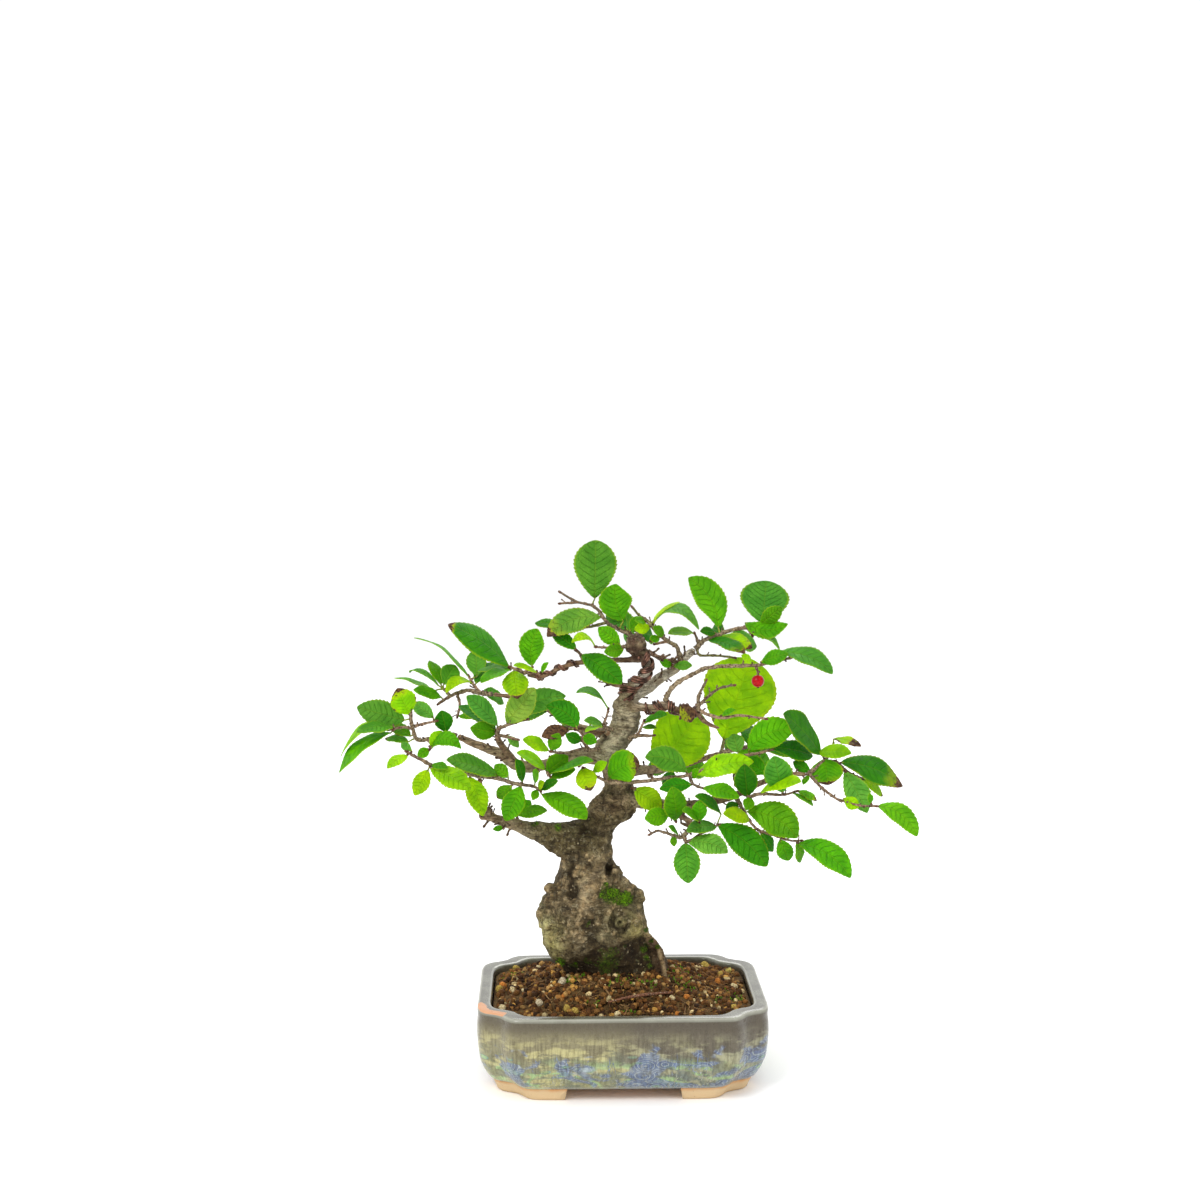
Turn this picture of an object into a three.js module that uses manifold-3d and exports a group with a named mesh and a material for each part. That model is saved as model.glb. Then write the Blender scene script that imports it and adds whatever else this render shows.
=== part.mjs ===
// A small winterberry bonsai in its pot. Millimetres, +Z up, the pot stands on Z = 0 and the front looks along -Y.
import * as THREE from "three";
import Module from "manifold-3d";

const wasm = await Module();
wasm.setup();

// The tree is laid out in a front view: u is across and v is up on the upright plane through the pot's middle,
// as seen from the eye below. Depth is chosen by hand, negative towards the eye.
const EYE = new THREE.Vector3(-30, -837, 291);

// Pot
const POT_LONG = 125;
const POT_DEEP = 98;
const POT_HIGH = 37.5;
const FOOT_HIGH = 5.2;
const FLOOR_TOP = 9.5;
const DRAIN_RADIUS = 5;
const DRAIN_AT = 27;
const FOOT_FROM_X = 24;
const FOOT_FROM_Y = 20;
const FOOT_INSET = 6.9;

// Fits
const GAP = 0.3;
const SCREEN_SIDE = 16;
const SCREEN_THICK = 0.9;
const SCREEN_PITCH = 4.6;
const SCREEN_OPENING = 3;

// Leaves
const BLADE_THICK = 0.7;
const SLENDER = 0.5;
const ARCH = 0.16;
const TOOTH = 0.12;
const STALK_RADIUS = 0.5;
const ROOT_RADIUS = 0.25;
const SUNK = 0.2;

// Colours
const BARK = "#6e6050";
const LEAF_COLOURS = {
  g: "#5fae1e",
  m: "#4f9a38",
  d: "#2f7424",
  t: "#3f7f4a",
  l: "#7cb860",
  y: "#a5cc2a",
  o: "#5f7a2a",
  x: "#5a4032",
};

// The three limbs that carry wire: u, v, depth and radius along each.
const WIRED_TWIG = [
  [11, 182.3, -3.3, 1.6],
  [6, 182.2, -1.5, 1.6],
  [-1, 182, 0, 1.5],
  [-15, 181.5, -1, 1.4],
  [-22, 180.2, -2, 1.4],
  [-28, 178, -2, 1.3],
  [-34, 175, -3, 1.2],
  [-40.5, 175.6, -4, 1.1],
];
const BRANCH_UP = [
  [1.5, 163, 2, 2.9],
  [3, 169, -1, 2.4],
  [7, 172.5, -3, 2.1],
  [10.7, 176, -4, 2],
  [11.8, 180, -4, 1.9],
  [10, 184, -3, 2],
  [7.5, 188, -1, 2.4],
];
const BRANCH_RIGHT = [
  [2, 162.5, 1, 2.8],
  [8, 161.5, -3, 2.2],
  [14, 161, -6, 2],
  [19, 162.3, -8, 1.8],
  [24, 160.3, -10, 1.7],
  [30, 160.3, -12, 1.6],
  [33.5, 158.5, -13, 1.5],
  [36, 155.5, -14, 1.3],
  [40, 153, -15, 1.1],
  [43, 152, -15, 0.9],
];

// Trunk sections: u, v, depth, half width and half depth of each level.
const TRUNK = [
  [-3, 26, 3, 18, 12],
  [-2, 36, 3, 23, 14],
  [-2.5, 46, 2, 23.5, 13.5],
  [-6, 51, 1, 24, 15],
  [-9.8, 55.5, 0, 23.8, 17],
  [-11.5, 62, 0, 23.3, 18.5],
  [-12, 68, 0, 23, 18.5],
  [-12, 75, 0, 21.8, 17.5],
  [-12.3, 81, 0, 19.3, 15.5],
  [-13.5, 86, 0, 15.5, 13.5],
  [-14.5, 91, 0, 12.5, 12],
  [-14.3, 97, 0, 10.8, 11],
  [-13.3, 103, 0, 9.8, 10],
  [-10.4, 109, 0, 9, 9.3],
  [-5, 114.5, 0, 11, 9.5],
  [-3.5, 119, 0, 10, 9],
  [-1.2, 124, 0, 7.2, 7.3],
  [-0.8, 129, 1, 6.2, 6.3],
  [-3, 135, 2, 6.8, 6.3],
  [-4.5, 141, 3, 7, 6.3],
  [-3.5, 147, 3, 6.1, 6],
  [0.3, 152.5, 3, 5.5, 5.5],
  [1.6, 158, 3, 5.3, 5],
  [2.2, 163, 3, 5, 4.8],
  [2.8, 167.5, 3, 3.4, 3.3],
];

// Wood that grows out of the trunk: u, v, depth and radius along each limb.
const LIMBS = [
  BRANCH_UP,
  BRANCH_RIGHT,
  WIRED_TWIG,
  [[-16, 103, 0, 9], [-24, 103.3, -1, 7.8], [-28.5, 104, -2, 7], [-33, 105.5, -3, 5.4],
    [-38, 107, -4, 4.1], [-44, 108.7, -5, 3], [-50, 110.7, -6, 2.4], [-56, 113, -6, 2.1],
    [-60, 117, -7, 1.9], [-61.5, 124, -10, 1.7], [-61.5, 130, -13, 1.4]],
  [[-54, 112.2, -6, 1.9], [-58, 113.2, -6, 1.9], [-61.5, 113.2, -6, 1.5]],
  [[-5, 137.5, 3, 3.6], [-12, 139.5, 2, 3.2], [-20, 139.3, 2, 2.9], [-30, 137, 3, 2.6],
    [-38, 135.2, 4, 2.5], [-46, 136.3, 5, 2.5], [-52, 141, 6, 2.3], [-58, 143.3, 7, 2.1],
    [-65, 146, 8, 1.9], [-70.5, 148.6, 8, 1.6]],
  [[-45.5, 136.5, 5, 1.9], [-49, 141, 3, 1.8], [-52.5, 145.5, 1, 1.7], [-54, 149, 0, 1.4]],
  [[3, 170.5, 0, 1.6], [-3, 171.5, -2, 1.4], [-7.5, 173, -3, 1.1]],
  [[6.5, 184.5, -1, 2.2], [6.3, 187, -1, 4.1], [6.6, 190, -1, 4.3], [7, 192.8, -1, 2.5]],
  [[10, 186, -2, 1.5], [14, 184.5, -1, 1.3], [17, 182.5, 1, 1.2], [22, 181.5, 5, 1.1], [26, 181, 8.5, 1.1]],
  [[3, 165, 3, 3.2], [12, 170, 6, 2.6], [17, 174, 8, 2.4], [22, 177, 9, 2.2], [25.5, 180, 9, 2.1],
    [28, 183, 9, 2], [31.5, 186, 10, 1.8]],
  [[0, 122.5, 0, 4.2], [8, 120, -3, 3.3], [15, 118.5, -6, 2.7], [28, 117.5, -10, 2.3], [40, 119.5, -12, 2],
    [50, 122, -12, 1.8], [60, 127, -12, 1.6], [68, 130, -11, 1.4], [76, 131.5, -10, 1.2], [81, 131.2, -9, 1]],
  [[17, 118.3, -7, 2.1], [24, 114.5, -12, 1.7], [29, 111.5, -17, 1.5],
    [31, 109, -21, 1.3], [29, 106, -23, 1.1]],
  [[0, 133, 4, 3.2], [8, 133.5, 13, 2.4], [16, 134, 21, 2.1], [26, 135.5, 28, 1.9], [36, 138.5, 33, 1.7],
    [43, 140.5, 36, 1.5]],
  [[-3, 149, 4, 3.2], [-10, 150.3, 12, 2.4], [-17, 152, 19, 2.1], [-24, 155, 25, 1.8], [-31, 160, 29, 1.6],
    [-42, 165, 32, 1.4], [-55, 167.2, 33, 1.2]],
  [[-4, 150.3, 1, 1.4], [-10, 150, 0, 1.2], [-17, 152, 1, 1], [-23, 151.5, 2, 0.8]],
  [[9, 61, -3, 1.8], [13, 58, -3.5, 1.6], [16.5, 54, -5, 1.5], [18.5, 46, -7, 1.5], [19.5, 38, -8, 1.4]],
];

// Leafy sprays. A twig lists u, v, depth and radius. A leaf lists u and v of its base, u and v of its tip, the
// width that shows, how far its tip lies behind its base, its tone, and for a bent leaf the point it bends through.
const SPRAYS = {
  "spray_far_left": {
    "twigs": [
      [[-71.5, 148.9, 8, 1.4], [-77, 149.5, 6, 1.3], [-84, 147.5, 3, 1.1], [-88.5, 147.5, 1, 1],
        [-90.3, 152, -1, 0.9], [-91.3, 157, -3, 0.9], [-91, 162, -4, 0.7], [-90.3, 166, -5, 0.5]],
      [[-90.3, 152, -1, 0.8], [-94, 153, -4, 0.7], [-99, 152, -8, 0.5]],
      [[-90.5, 153, -1, 0.7], [-86, 154.3, 0, 0.6], [-80.5, 155.5, 2, 0.5]],
      [[-84, 147.5, 3, 0.9], [-82, 145, 0, 0.8], [-83, 143.3, -2, 0.6]],
    ],
    "leaves": [
      [-94, 156, -114.5, 161.8, 11.4, -1, "m"],
      [-99, 153, -114.7, 150.7, 4.5, -10, "m"],
      [-101, 151.5, -121.9, 140, 3.4, 3, "y", [-112.8, 152.2]],
      [-100, 150.5, -122.6, 133, 4.4, -5, "g", [-113.2, 145]],
      [-91.8, 158.5, -97, 170, 11, -5, "y"],
      [-91.5, 149, -99.2, 153.5, 5.5, 8, "g"],
      [-92.5, 146.5, -102.5, 148, 3.5, 5, "g"],
      [-81.5, 157, -90.3, 163.5, 6, 6, "t"],
      [-83, 144, -78, 151.2, 6, 3, "y"],
      [-82.5, 143.5, -69.6, 143.4, 6, -6, "g", [-77, 148]],
      [-83.5, 143.3, -88.5, 140, 4.5, -4, "g"],
      [-76, 150.8, -78, 160.2, 8, -3, "d"],
    ],
  },
  "spray_low_left": {
    "twigs": [
      [[-61.5, 131.2, -13, 1.3], [-66, 132.3, -18, 1.2], [-74, 133, -24, 1.1], [-82, 136, -28, 0.9],
        [-89, 139.6, -31, 0.8], [-93, 142, -33, 0.6]],
      [[-62, 131.5, -13.5, 1.2], [-55, 130.4, -12, 1], [-50, 129, -12, 0.9], [-45, 127.5, -12, 0.9],
        [-38, 126.5, -11, 0.7], [-35.5, 124.8, -11, 0.6]],
    ],
    "leaves": [
      [-93, 140.5, -101.7, 134.8, 4.5, -8, "y"],
      [-91, 142.4, -95.5, 146, 3.5, 4, "t"],
      [-82.5, 136.3, -75.5, 134.7, 3.5, -5, "g"],
      [-84, 134, -90, 122.8, 7, -6, "y"],
      [-83, 134.8, -65.5, 125.2, 8.5, -9, "y"],
      [-66, 131, -60.2, 113.5, 8.5, -7, "y"],
      [-54, 131.5, -76, 138.4, 8, -6, "m", [-64.8, 136]],
      [-43.5, 126.5, -50.5, 111.3, 9.5, -7, "g"],
      [-47.5, 127, -54, 121.5, 6, 4, "g"],
      [-49, 130.5, -54.9, 136.2, 6, 3, "g"],
      [-43, 128.5, -45.8, 138.5, 4.5, -5, "d"],
      [-37.5, 128, -36, 134.5, 3, -5, "g"],
      [-35, 125, -27.5, 129, 4, -5, "d"],
      [-34.5, 123, -15, 111.9, 9.4, -12, "g", [-24, 118.8]],
      [-36, 126, -33.5, 128.5, 3, -6, "y"],
      [-36.5, 125, -38.5, 120.5, 3.5, -5, "g"],
    ],
  },
  "spray_low_stub": {
    "twigs": [
      [[-45, 110.5, -5, 1], [-45.5, 113.5, -4, 0.6]],
    ],
    "leaves": [
      [-45.3, 113.8, -32.2, 115.8, 5, -4, "g"],
      [-45.3, 114, -39.5, 120.3, 6, 5, "g"],
    ],
  },
  "leaf_low_left": {
    "twigs": [
      [[-50.8, 110, -6.5, 0.8], [-51.3, 108.3, -9, 0.6]],
    ],
    "leaves": [
      [-51.5, 108.3, -56, 107.6, 2.6, -2, "g"],
    ],
  },
  "spray_left_mid": {
    "twigs": [
      [[-54, 149.5, 0, 1.3], [-53.3, 152, -3, 1], [-51, 153, -5, 0.8],
        [-46, 154.8, -7, 0.7], [-41, 156, -8, 0.5]],
      [[-54, 149.5, 0, 1], [-49, 148.2, -5, 0.7], [-45, 147.3, -8, 0.6]],
    ],
    "leaves": [
      [-53.8, 153.5, -67, 166.5, 8, -3, "t"],
      [-54.5, 151.5, -70.5, 162, 6, 4, "d"],
      [-54.5, 150.3, -65.5, 152.5, 8, -8, "g"],
      [-49.5, 149, -44.5, 143.8, 3.5, -3, "t"],
      [-49.5, 154.5, -37.5, 170, 11, -8, "o"],
      [-44.5, 158, -24, 166.3, 10, 6, "t", [-35.2, 164.4]],
    ],
  },
  "spray_left_upper": {
    "twigs": [
      [[-56, 167.4, 33, 1.2], [-61, 167.8, 34, 1.1], [-66, 169, 34, 1],
        [-74, 166.5, 35, 0.9], [-79, 163.3, 35, 0.7]],
      [[-61, 167.8, 34, 0.9], [-64, 171.5, 36, 0.7], [-66, 175, 38, 0.6]],
      [[-74, 166.5, 35, 0.8], [-77.5, 170, 38, 0.6]],
      [[-71, 167.5, 34.5, 0.7], [-70, 162, 30, 0.6], [-71, 157.8, 28, 0.5]],
    ],
    "leaves": [
      [-66.5, 175.5, -89.5, 192, 2.4, 12, "g", [-77.5, 187.3]],
      [-62.5, 175, -63, 187, 9, 6, "m"],
      [-78, 171.5, -83, 182, 5, 8, "g"],
      [-77, 171.5, -72, 180, 9, 6, "m"],
      [-79, 171, -91.5, 176.8, 2.5, 4, "g", [-87, 177.5]],
      [-82, 168.5, -98.3, 174.5, 1.8, 6, "g"],
      [-78, 166, -90, 169.3, 5, -6, "g"],
      [-64.5, 172, -76, 168, 4, -8, "y", [-70.5, 173.8]],
      [-70.5, 157.8, -65, 156.5, 2.5, -4, "g"],
      [-60, 168.5, -51, 163.5, 5, 10, "m"],
      [-63, 172, -55.5, 181, 6, 12, "d"],
    ],
  },
  "spray_back_left": {
    "twigs": [
      [[-31, 160.5, 30, 1], [-30, 160.5, 34, 0.8], [-29, 160, 38, 0.5]],
    ],
    "leaves": [
      [-28.5, 159.5, -21.5, 153.5, 7, 12, "m"],
      [-30, 161, -40, 166.5, 9, 14, "d"],
      [-28.5, 160.5, -28.5, 165.5, 8, 16, "g"],
      [-31, 160.5, -44, 157.5, 7, 10, "m"],
    ],
  },
  "spray_wired_left": {
    "twigs": [
      [[-41.8, 176, -4.3, 1.1], [-44, 177.5, -5, 0.9], [-48, 179, -6, 0.6]],
      [[-42.5, 176.5, -4.5, 0.8], [-39, 178.6, -6, 0.6]],
      [[-42.5, 176.5, -4.5, 0.8], [-38, 176.6, -8, 0.6], [-35, 176.3, -9, 0.5]],
    ],
    "leaves": [
      [-48.5, 179.5, -74.8, 197.8, 10, -8, "d"],
      [-38.5, 179.5, -36, 195.7, 10, -3, "g", [-38.9, 188]],
      [-36.5, 176.8, -46.5, 179.8, 2.5, -7, "y"],
      [-46.5, 177.5, -45, 165.2, 11, -12, "y"],
      [-48.5, 178.6, -62, 177.5, 3, 8, "m"],
      [-48, 178, -60.8, 172.3, 4, -9, "g"],
      [-34.5, 176.8, -31.5, 181, 2, -3, "g"],
    ],
  },
  "spray_trunk_left": {
    "twigs": [
      [[-9.5, 143.3, -2, 1.2], [-13, 142.5, -7, 0.9], [-17, 143, -10, 0.8],
        [-24, 141.3, -13, 0.7], [-30, 141.8, -15, 0.6]],
      [[-13, 142.5, -7, 0.8], [-16.5, 146, -10, 0.6], [-16.8, 149.5, -11, 0.6], [-19.5, 151.5, -12, 0.5]],
    ],
    "leaves": [
      [-30.5, 142.5, -27, 150, 6, -3, "g"],
      [-31.5, 142.3, -42.7, 147.3, 5.5, -6, "y"],
      [-17.5, 146.5, -24, 149.5, 5, -6, "d"],
      [-16.5, 148.5, -10.5, 146, 5, -5, "g"],
      [-22, 151.8, -34.5, 148.5, 6, -5, "x"],
      [-19.3, 152.3, -32.5, 162, 10, 3, "d", [-24, 159]],
    ],
  },
  "spray_trunk_upper": {
    "twigs": [
      [[-3.5, 151.5, -2, 1], [-7.5, 152.8, -6, 0.8], [-6.5, 156.5, -8, 0.6], [-5.5, 160, -8, 0.5]],
    ],
    "leaves": [
      [-8, 153.8, -16, 155.5, 3.5, -5, "m"],
      [-8, 152.8, -15.5, 150.5, 2, -6, "y"],
      [-5.5, 160.8, -19.3, 167.7, 2.7, -4, "m", [-12, 168]],
    ],
  },
  "spray_under_left": {
    "twigs": [
      [[-31.5, 135.3, 0, 1], [-32, 132.5, -6, 0.8], [-31, 131, -9, 0.7]],
    ],
    "leaves": [
      [-33, 134, -45.4, 141.5, 5, -7, "y"],
      [-32.5, 132.8, -23, 140, 9, -2, "g"],
      [-31, 132, -12, 137.6, 3.8, -12, "g"],
      [-30.5, 130.5, -19.8, 134, 5, -4, "g"],
    ],
  },
  "spray_long_shoot": {
    "twigs": [
      [[-6.5, 128.3, -3, 1.1], [-4, 128.1, -9.5, 1], [0, 128, -10.5, 1], [10, 128.6, -12, 0.9],
        [20, 130, -13, 0.9], [30, 131.3, -14, 0.8], [38, 134.5, -13, 0.8], [43, 137.5, -12, 0.7],
        [52, 139.5, -11, 0.7], [60, 140.8, -10, 0.7], [66, 142.3, -9, 0.6]],
      [[-5, 128.2, -9, 0.8], [-11, 131, -11, 0.7], [-16, 134.5, -13, 0.6]],
      [[30, 131.3, -14, 0.8], [31.5, 127.5, -17, 0.7], [37, 125, -19, 0.6], [46, 122.8, -21, 0.5]],
      [[54, 140, -11, 0.7], [52, 136, -13, 0.6], [49.5, 131, -16, 0.5], [50, 127.5, -17, 0.4]],
    ],
    "leaves": [
      [-17, 134.5, -13, 124.5, 9, -5, "y"],
      [-12, 133, -6, 137, 4, -5, "y"],
      [-5, 130, 8.2, 136.5, 14, -5, "g", [0.8, 135]],
      [51.5, 141, 49, 149.3, 8, 3, "t"],
      [56, 142, 75.8, 151, 11.5, -2, "g", [64.4, 149.5]],
      [66.5, 143, 84, 139.5, 8, 7, "d"],
      [33, 131.5, 58, 137, 9, -3, "y"],
      [29, 132.5, 10.7, 139, 10, -7, "m", [20.8, 138.5]],
      [31, 127, 17, 125, 6, -2, "d"],
      [36, 125.5, 52, 121, 6, -6, "g"],
      [31.5, 130, 34, 134, 3, -5, "g"],
    ],
  },
  "spray_right_inner": {
    "twigs": [
      [[9.5, 121, -4, 1], [8, 123.5, -8, 0.7], [5.5, 125.2, -9, 0.6]],
    ],
    "leaves": [
      [6, 125.2, 18, 117, 9.5, -1, "y"],
    ],
  },
  "spray_right_inner_low": {
    "twigs": [
      [[20.5, 116.2, -9.7, 1], [22, 114, -14, 0.8], [23.8, 111, -17, 0.6]],
    ],
    "leaves": [
      [21, 113.8, 10.5, 112, 8, -5, "g"],
      [24.2, 111, 22.5, 126, 9.3, -10, "g"],
    ],
  },
  "spray_right_low": {
    "twigs": [
      [[28.8, 105.4, -23.3, 1.2], [26.5, 103.5, -25, 1], [20, 105.5, -27, 0.7],
        [16, 106.5, -28, 0.6], [13, 105, -29, 0.5]],
      [[27.5, 104, -24.5, 1], [28.8, 101.8, -25, 0.8], [37, 106, -22, 0.7], [43, 109, -20, 0.6]],
      [[37, 106, -22, 0.6], [34.5, 110, -24, 0.5]],
    ],
    "leaves": [
      [25, 105, 21, 108.5, 2, -4, "g"],
      [23, 104, 23.5, 99.5, 3, -4, "g"],
      [28.5, 101, 29.8, 83, 10.5, -8, "m"],
      [29.5, 101.5, 47, 96.5, 8.4, -11, "l", [38.7, 100.9]],
      [42.5, 109, 64.3, 90.3, 13, -5, "d", [55.2, 101]],
      [42, 108.5, 29, 106, 5.5, -9, "m"],
      [44, 113.8, 32.5, 121.8, 4.5, -4, "d", [39, 119.3]],
      [34.5, 110.8, 34.5, 120, 6.5, -1, "g"],
      [34, 110.8, 27, 115.5, 3, -9, "g"],
    ],
  },
  "spray_right_mid": {
    "twigs": [
      [[50.5, 121, -13.5, 1.2], [53, 117, -17, 0.9], [55.5, 112.5, -19, 0.8], [60, 107, -20, 0.7],
        [66, 104.7, -21, 0.7], [70, 103.2, -22, 0.6], [75, 101.8, -23, 0.5], [79, 101.8, -24, 0.5]],
    ],
    "leaves": [
      [51.5, 118.5, 46, 115.8, 4, -6, "d"],
      [56.5, 111.5, 45, 114, 6, -8, "y"],
      [55.5, 114.8, 77.6, 103, 14, -14, "g", [68, 111.9]],
      [61.5, 105.5, 67, 97, 5, 4, "d"],
      [70, 102.3, 74, 93, 7, 4, "g"],
      [77.5, 101.3, 79, 92, 4, 4, "g"],
      [78, 100.5, 101.3, 85, 10, -9, "g", [91.2, 95.6]],
    ],
  },
  "spray_right_knee": {
    "twigs": [
      [[56, 124.5, -13, 1.1], [56, 121.5, -17, 0.9], [61, 122.8, -21, 0.8], [67, 122.5, -23, 0.7],
        [71.5, 122.3, -24, 0.6], [77, 123.8, -25, 0.5]],
    ],
    "leaves": [
      [55.5, 121.8, 54, 136, 10, -6, "d"],
      [71, 123.3, 67, 139.5, 12, -5, "t"],
      [57, 121, 55, 115.5, 5, -7, "g"],
      [61.5, 123.5, 79, 128, 5, -14, "y"],
      [77.5, 124, 86, 119.5, 3, -3, "g"],
      [75.5, 123, 84.3, 117.3, 2.2, -6, "g"],
    ],
  },
  "leaf_right_knee": {
    "twigs": [
      [[64.5, 129, -10.5, 1], [64.5, 131.5, -7, 0.6]],
    ],
    "leaves": [
      [64, 131.7, 54, 138.5, 8, 8, "g"],
    ],
  },
  "spray_far_right": {
    "twigs": [
      [[81.8, 131.2, -9, 1.1], [86, 134.5, -6, 0.9], [90, 138.3, -3, 0.8],
        [91.5, 140, -2, 0.7], [93, 144.5, 0, 0.5]],
      [[82.5, 131.7, -8.5, 0.9], [86, 127.5, -13, 0.7], [90, 123.8, -17, 0.7], [95, 120.3, -20, 0.6],
        [99, 119, -22, 0.6], [105, 117.3, -25, 0.5], [112, 117, -28, 0.5]],
      [[89.2, 137.6, -3.2, 0.75], [95, 136.5, -4, 0.6], [98, 133, -6, 0.5]],
      [[94.3, 136.7, -3.9, 0.6], [101, 131.5, 0, 0.5], [106, 129.2, 3, 0.5]],
    ],
    "leaves": [
      [86.5, 141, 101, 140.5, 6, -9, "y"],
      [93.3, 147, 105.2, 143.6, 3.6, -6, "y"],
      [96.5, 136.5, 123.8, 125.8, 10.6, 4, "d", [111, 133.6]],
      [89.2, 138.2, 91, 126.5, 14.5, -7, "g"],
      [98, 132.5, 108.3, 114, 10, -10, "t"],
      [106.3, 128.8, 115, 121.5, 4, 3, "y"],
      [113, 117, 130.3, 103.4, 8.6, -7, "g", [123.6, 113]],
      [110, 118.5, 109, 122.5, 2.5, -3, "g"],
      [98, 120.6, 104.5, 116.4, 5.5, -3, "y"],
      [87.6, 140, 71, 158, 8.8, -12, "d", [80.4, 149.8]],
      [83, 132.5, 75.5, 137, 5, 3, "d"],
      [82.5, 130.8, 80, 126.8, 2.5, -4, "g"],
    ],
  },
  "spray_back_right": {
    "twigs": [
      [[43.5, 140.8, 36.5, 1.4], [50, 142.5, 39, 1.1], [56, 144, 41, 0.8], [62, 146, 43, 0.6]],
      [[44, 141, 36.7, 0.9], [45, 146.5, 38, 0.7]],
    ],
    "leaves": [
      [44.7, 147.2, 56.3, 182.5, 29.5, 8, "y"],
      [60, 146, 73, 152, 9, 10, "m"],
      [57, 143.5, 80, 141.5, 8, 14, "d"],
      [51, 142, 66, 133.5, 10, 12, "g"],
      [46, 141.5, 52, 148, 8, 15, "m"],
      [56, 144.5, 57, 153, 9, 14, "d"],
    ],
  },
  "spray_back_inner": {
    "twigs": [
      [[12, 134.5, 18, 1], [12.5, 130.5, 21, 0.8], [14.3, 132.5, 25, 0.7]],
    ],
    "leaves": [
      [14.3, 133.3, 35, 158.4, 24, 7, "y"],
    ],
  },
  "spray_back_middle": {
    "twigs": [
      [[26, 135.8, 29.5, 1], [25, 135, 34, 0.8], [22, 134, 39, 0.6]],
    ],
    "leaves": [
      [25.5, 135.5, 38, 133, 9, 12, "g"],
      [21.5, 134, 12, 135.5, 8, 12, "m"],
      [22.5, 133.5, 22, 123.5, 8, 12, "d"],
      [24, 136, 30, 146, 10, 16, "g"],
    ],
  },
  "spray_crown_top": {
    "twigs": [
      [[6, 189, -1, 1.5], [3.5, 193, -1, 1], [0, 195, 0, 0.9], [-6, 198.5, 1, 0.8], [-9.5, 203.5, 2, 0.8],
        [-13, 206, 3, 0.7], [-19, 207.5, 4, 0.6], [-26, 211.5, 6, 0.5]],
      [[-18.5, 207.3, 4, 0.6], [-26, 206.8, 2, 0.5]],
      [[-6, 198.5, 1, 0.7], [-14, 196.5, 6, 0.6], [-24, 196, 9, 0.5]],
    ],
    "leaves": [
      [-11.3, 209, -11, 234.2, 18, 3, "m"],
      [1, 199, -2, 215.2, 14.3, -2, "g", [-2.3, 207]],
      [3, 195.3, -6, 203, 9, 8, "t"],
      [4, 194.8, 8, 201, 5, 4, "g"],
      [-8.5, 200.8, -32, 192.4, 10.4, -7, "y", [-21.3, 199.5]],
      [-24.5, 196, -37.2, 198.3, 4.5, 5, "d"],
    ],
  },
  "spray_crown_back": {
    "twigs": [
      [[6.8, 190.5, 2.5, 1.3], [7.5, 191.5, 8, 1], [8, 192.5, 14, 0.8], [7, 194, 22, 0.6]],
    ],
    "leaves": [
      [6.5, 194.5, -3, 202, 9, 12, "m"],
      [8, 193.5, 14, 192, 7, 14, "d"],
      [7, 193.5, 2, 190.5, 7, 12, "g"],
    ],
  },
  "spray_crown_front": {
    "twigs": [
      [[-16.5, 182.6, -2.5, 1], [-17.5, 184.5, -4, 0.7], [-19, 186.2, -5, 0.6]],
    ],
    "leaves": [
      [-17, 184.5, 0.3, 171.6, 10.5, -12, "d"],
      [-19.5, 186.8, -30, 194, 5.5, 4, "d"],
    ],
  },
  "spray_knob": {
    "twigs": [
      [[2.5, 188, -2.5, 1.1], [-1, 187.8, -5, 0.7], [-6, 187.5, -8, 0.6], [-10.5, 187.7, -10, 0.5]],
    ],
    "leaves": [
      [-11.3, 188.3, -21.3, 189.8, 3, -5, "y", [-15.5, 192.5]],
      [-0.5, 189, -9.8, 196.3, 7, -3, "g"],
      [1, 186.8, -7.2, 185.6, 6, -7, "g"],
    ],
  },
  "spray_crown_right": {
    "twigs": [
      [[26, 182, 8, 1.3], [24, 188, 5, 1], [20, 190.5, 3, 1], [17, 193, 1, 0.9], [14, 196, 0, 0.8],
        [11, 199.5, -1, 0.8], [8, 201.5, -1, 0.7], [5, 205, -4, 0.5]],
      [[20, 190.3, 3, 0.8], [15, 189, -1, 0.5]],
    ],
    "leaves": [
      [15, 199.6, 33.8, 195.3, 3.8, -6, "m", [25, 204.5]],
      [14, 198, 25.5, 207.3, 1.8, 4, "y", [18.5, 204]],
      [18.5, 192.5, 14, 196.5, 4, -6, "g"],
      [12.5, 196.5, 5.8, 195.5, 5, -5, "y"],
      [10.5, 198.5, 6, 199.3, 3, -6, "g"],
      [16.5, 191.8, 12.5, 190, 3.5, -6, "g"],
    ],
  },
  "spray_upper_right": {
    "twigs": [
      [[32.3, 186.8, 10, 1.5], [36, 190.5, 10, 1.1], [42, 193, 11, 1],
        [50, 195.5, 12, 0.9], [54, 196, 12, 0.8],
        [59, 196.5, 13, 0.6]],
      [[55, 196, 12, 0.7], [57, 192.8, 10, 0.5]],
      [[34, 188.7, 10, 0.9], [32.2, 193.2, 8, 0.5]],
      [[42, 193, 11, 0.8], [44, 192, 20, 0.7], [46, 192, 28, 0.5]],
      [[32.9, 187.2, 10, 0.8], [34, 184.3, 9, 0.6], [41, 183.9, 8, 0.6], [49.2, 182.9, 7, 0.5]],
    ],
    "leaves": [
      [31.5, 193.7, 20.5, 193.5, 3.5, -5, "l"],
      [42.3, 196, 29.2, 217.8, 11.5, 6, "g", [38.7, 208.7]],
      [61.5, 198, 63, 216.4, 20.5, 9, "m"],
      [60.5, 197.5, 70, 205, 7, -6, "g"],
      [54, 198.2, 72.5, 197.6, 7.4, -8, "g", [63.2, 195]],
      [57.5, 192.8, 69, 186.5, 1.6, -6, "g", [64, 192]],
      [43, 192.5, 57, 187, 6, -9, "y"],
      [38, 190.8, 54, 184.5, 5, -12, "d"],
      [41, 193.8, 34.5, 194.5, 4, -6, "d"],
      [46, 192, 59, 188, 8, 12, "m"],
      [45, 192.5, 40, 196, 8, 14, "d"],
    ],
  },
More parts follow.
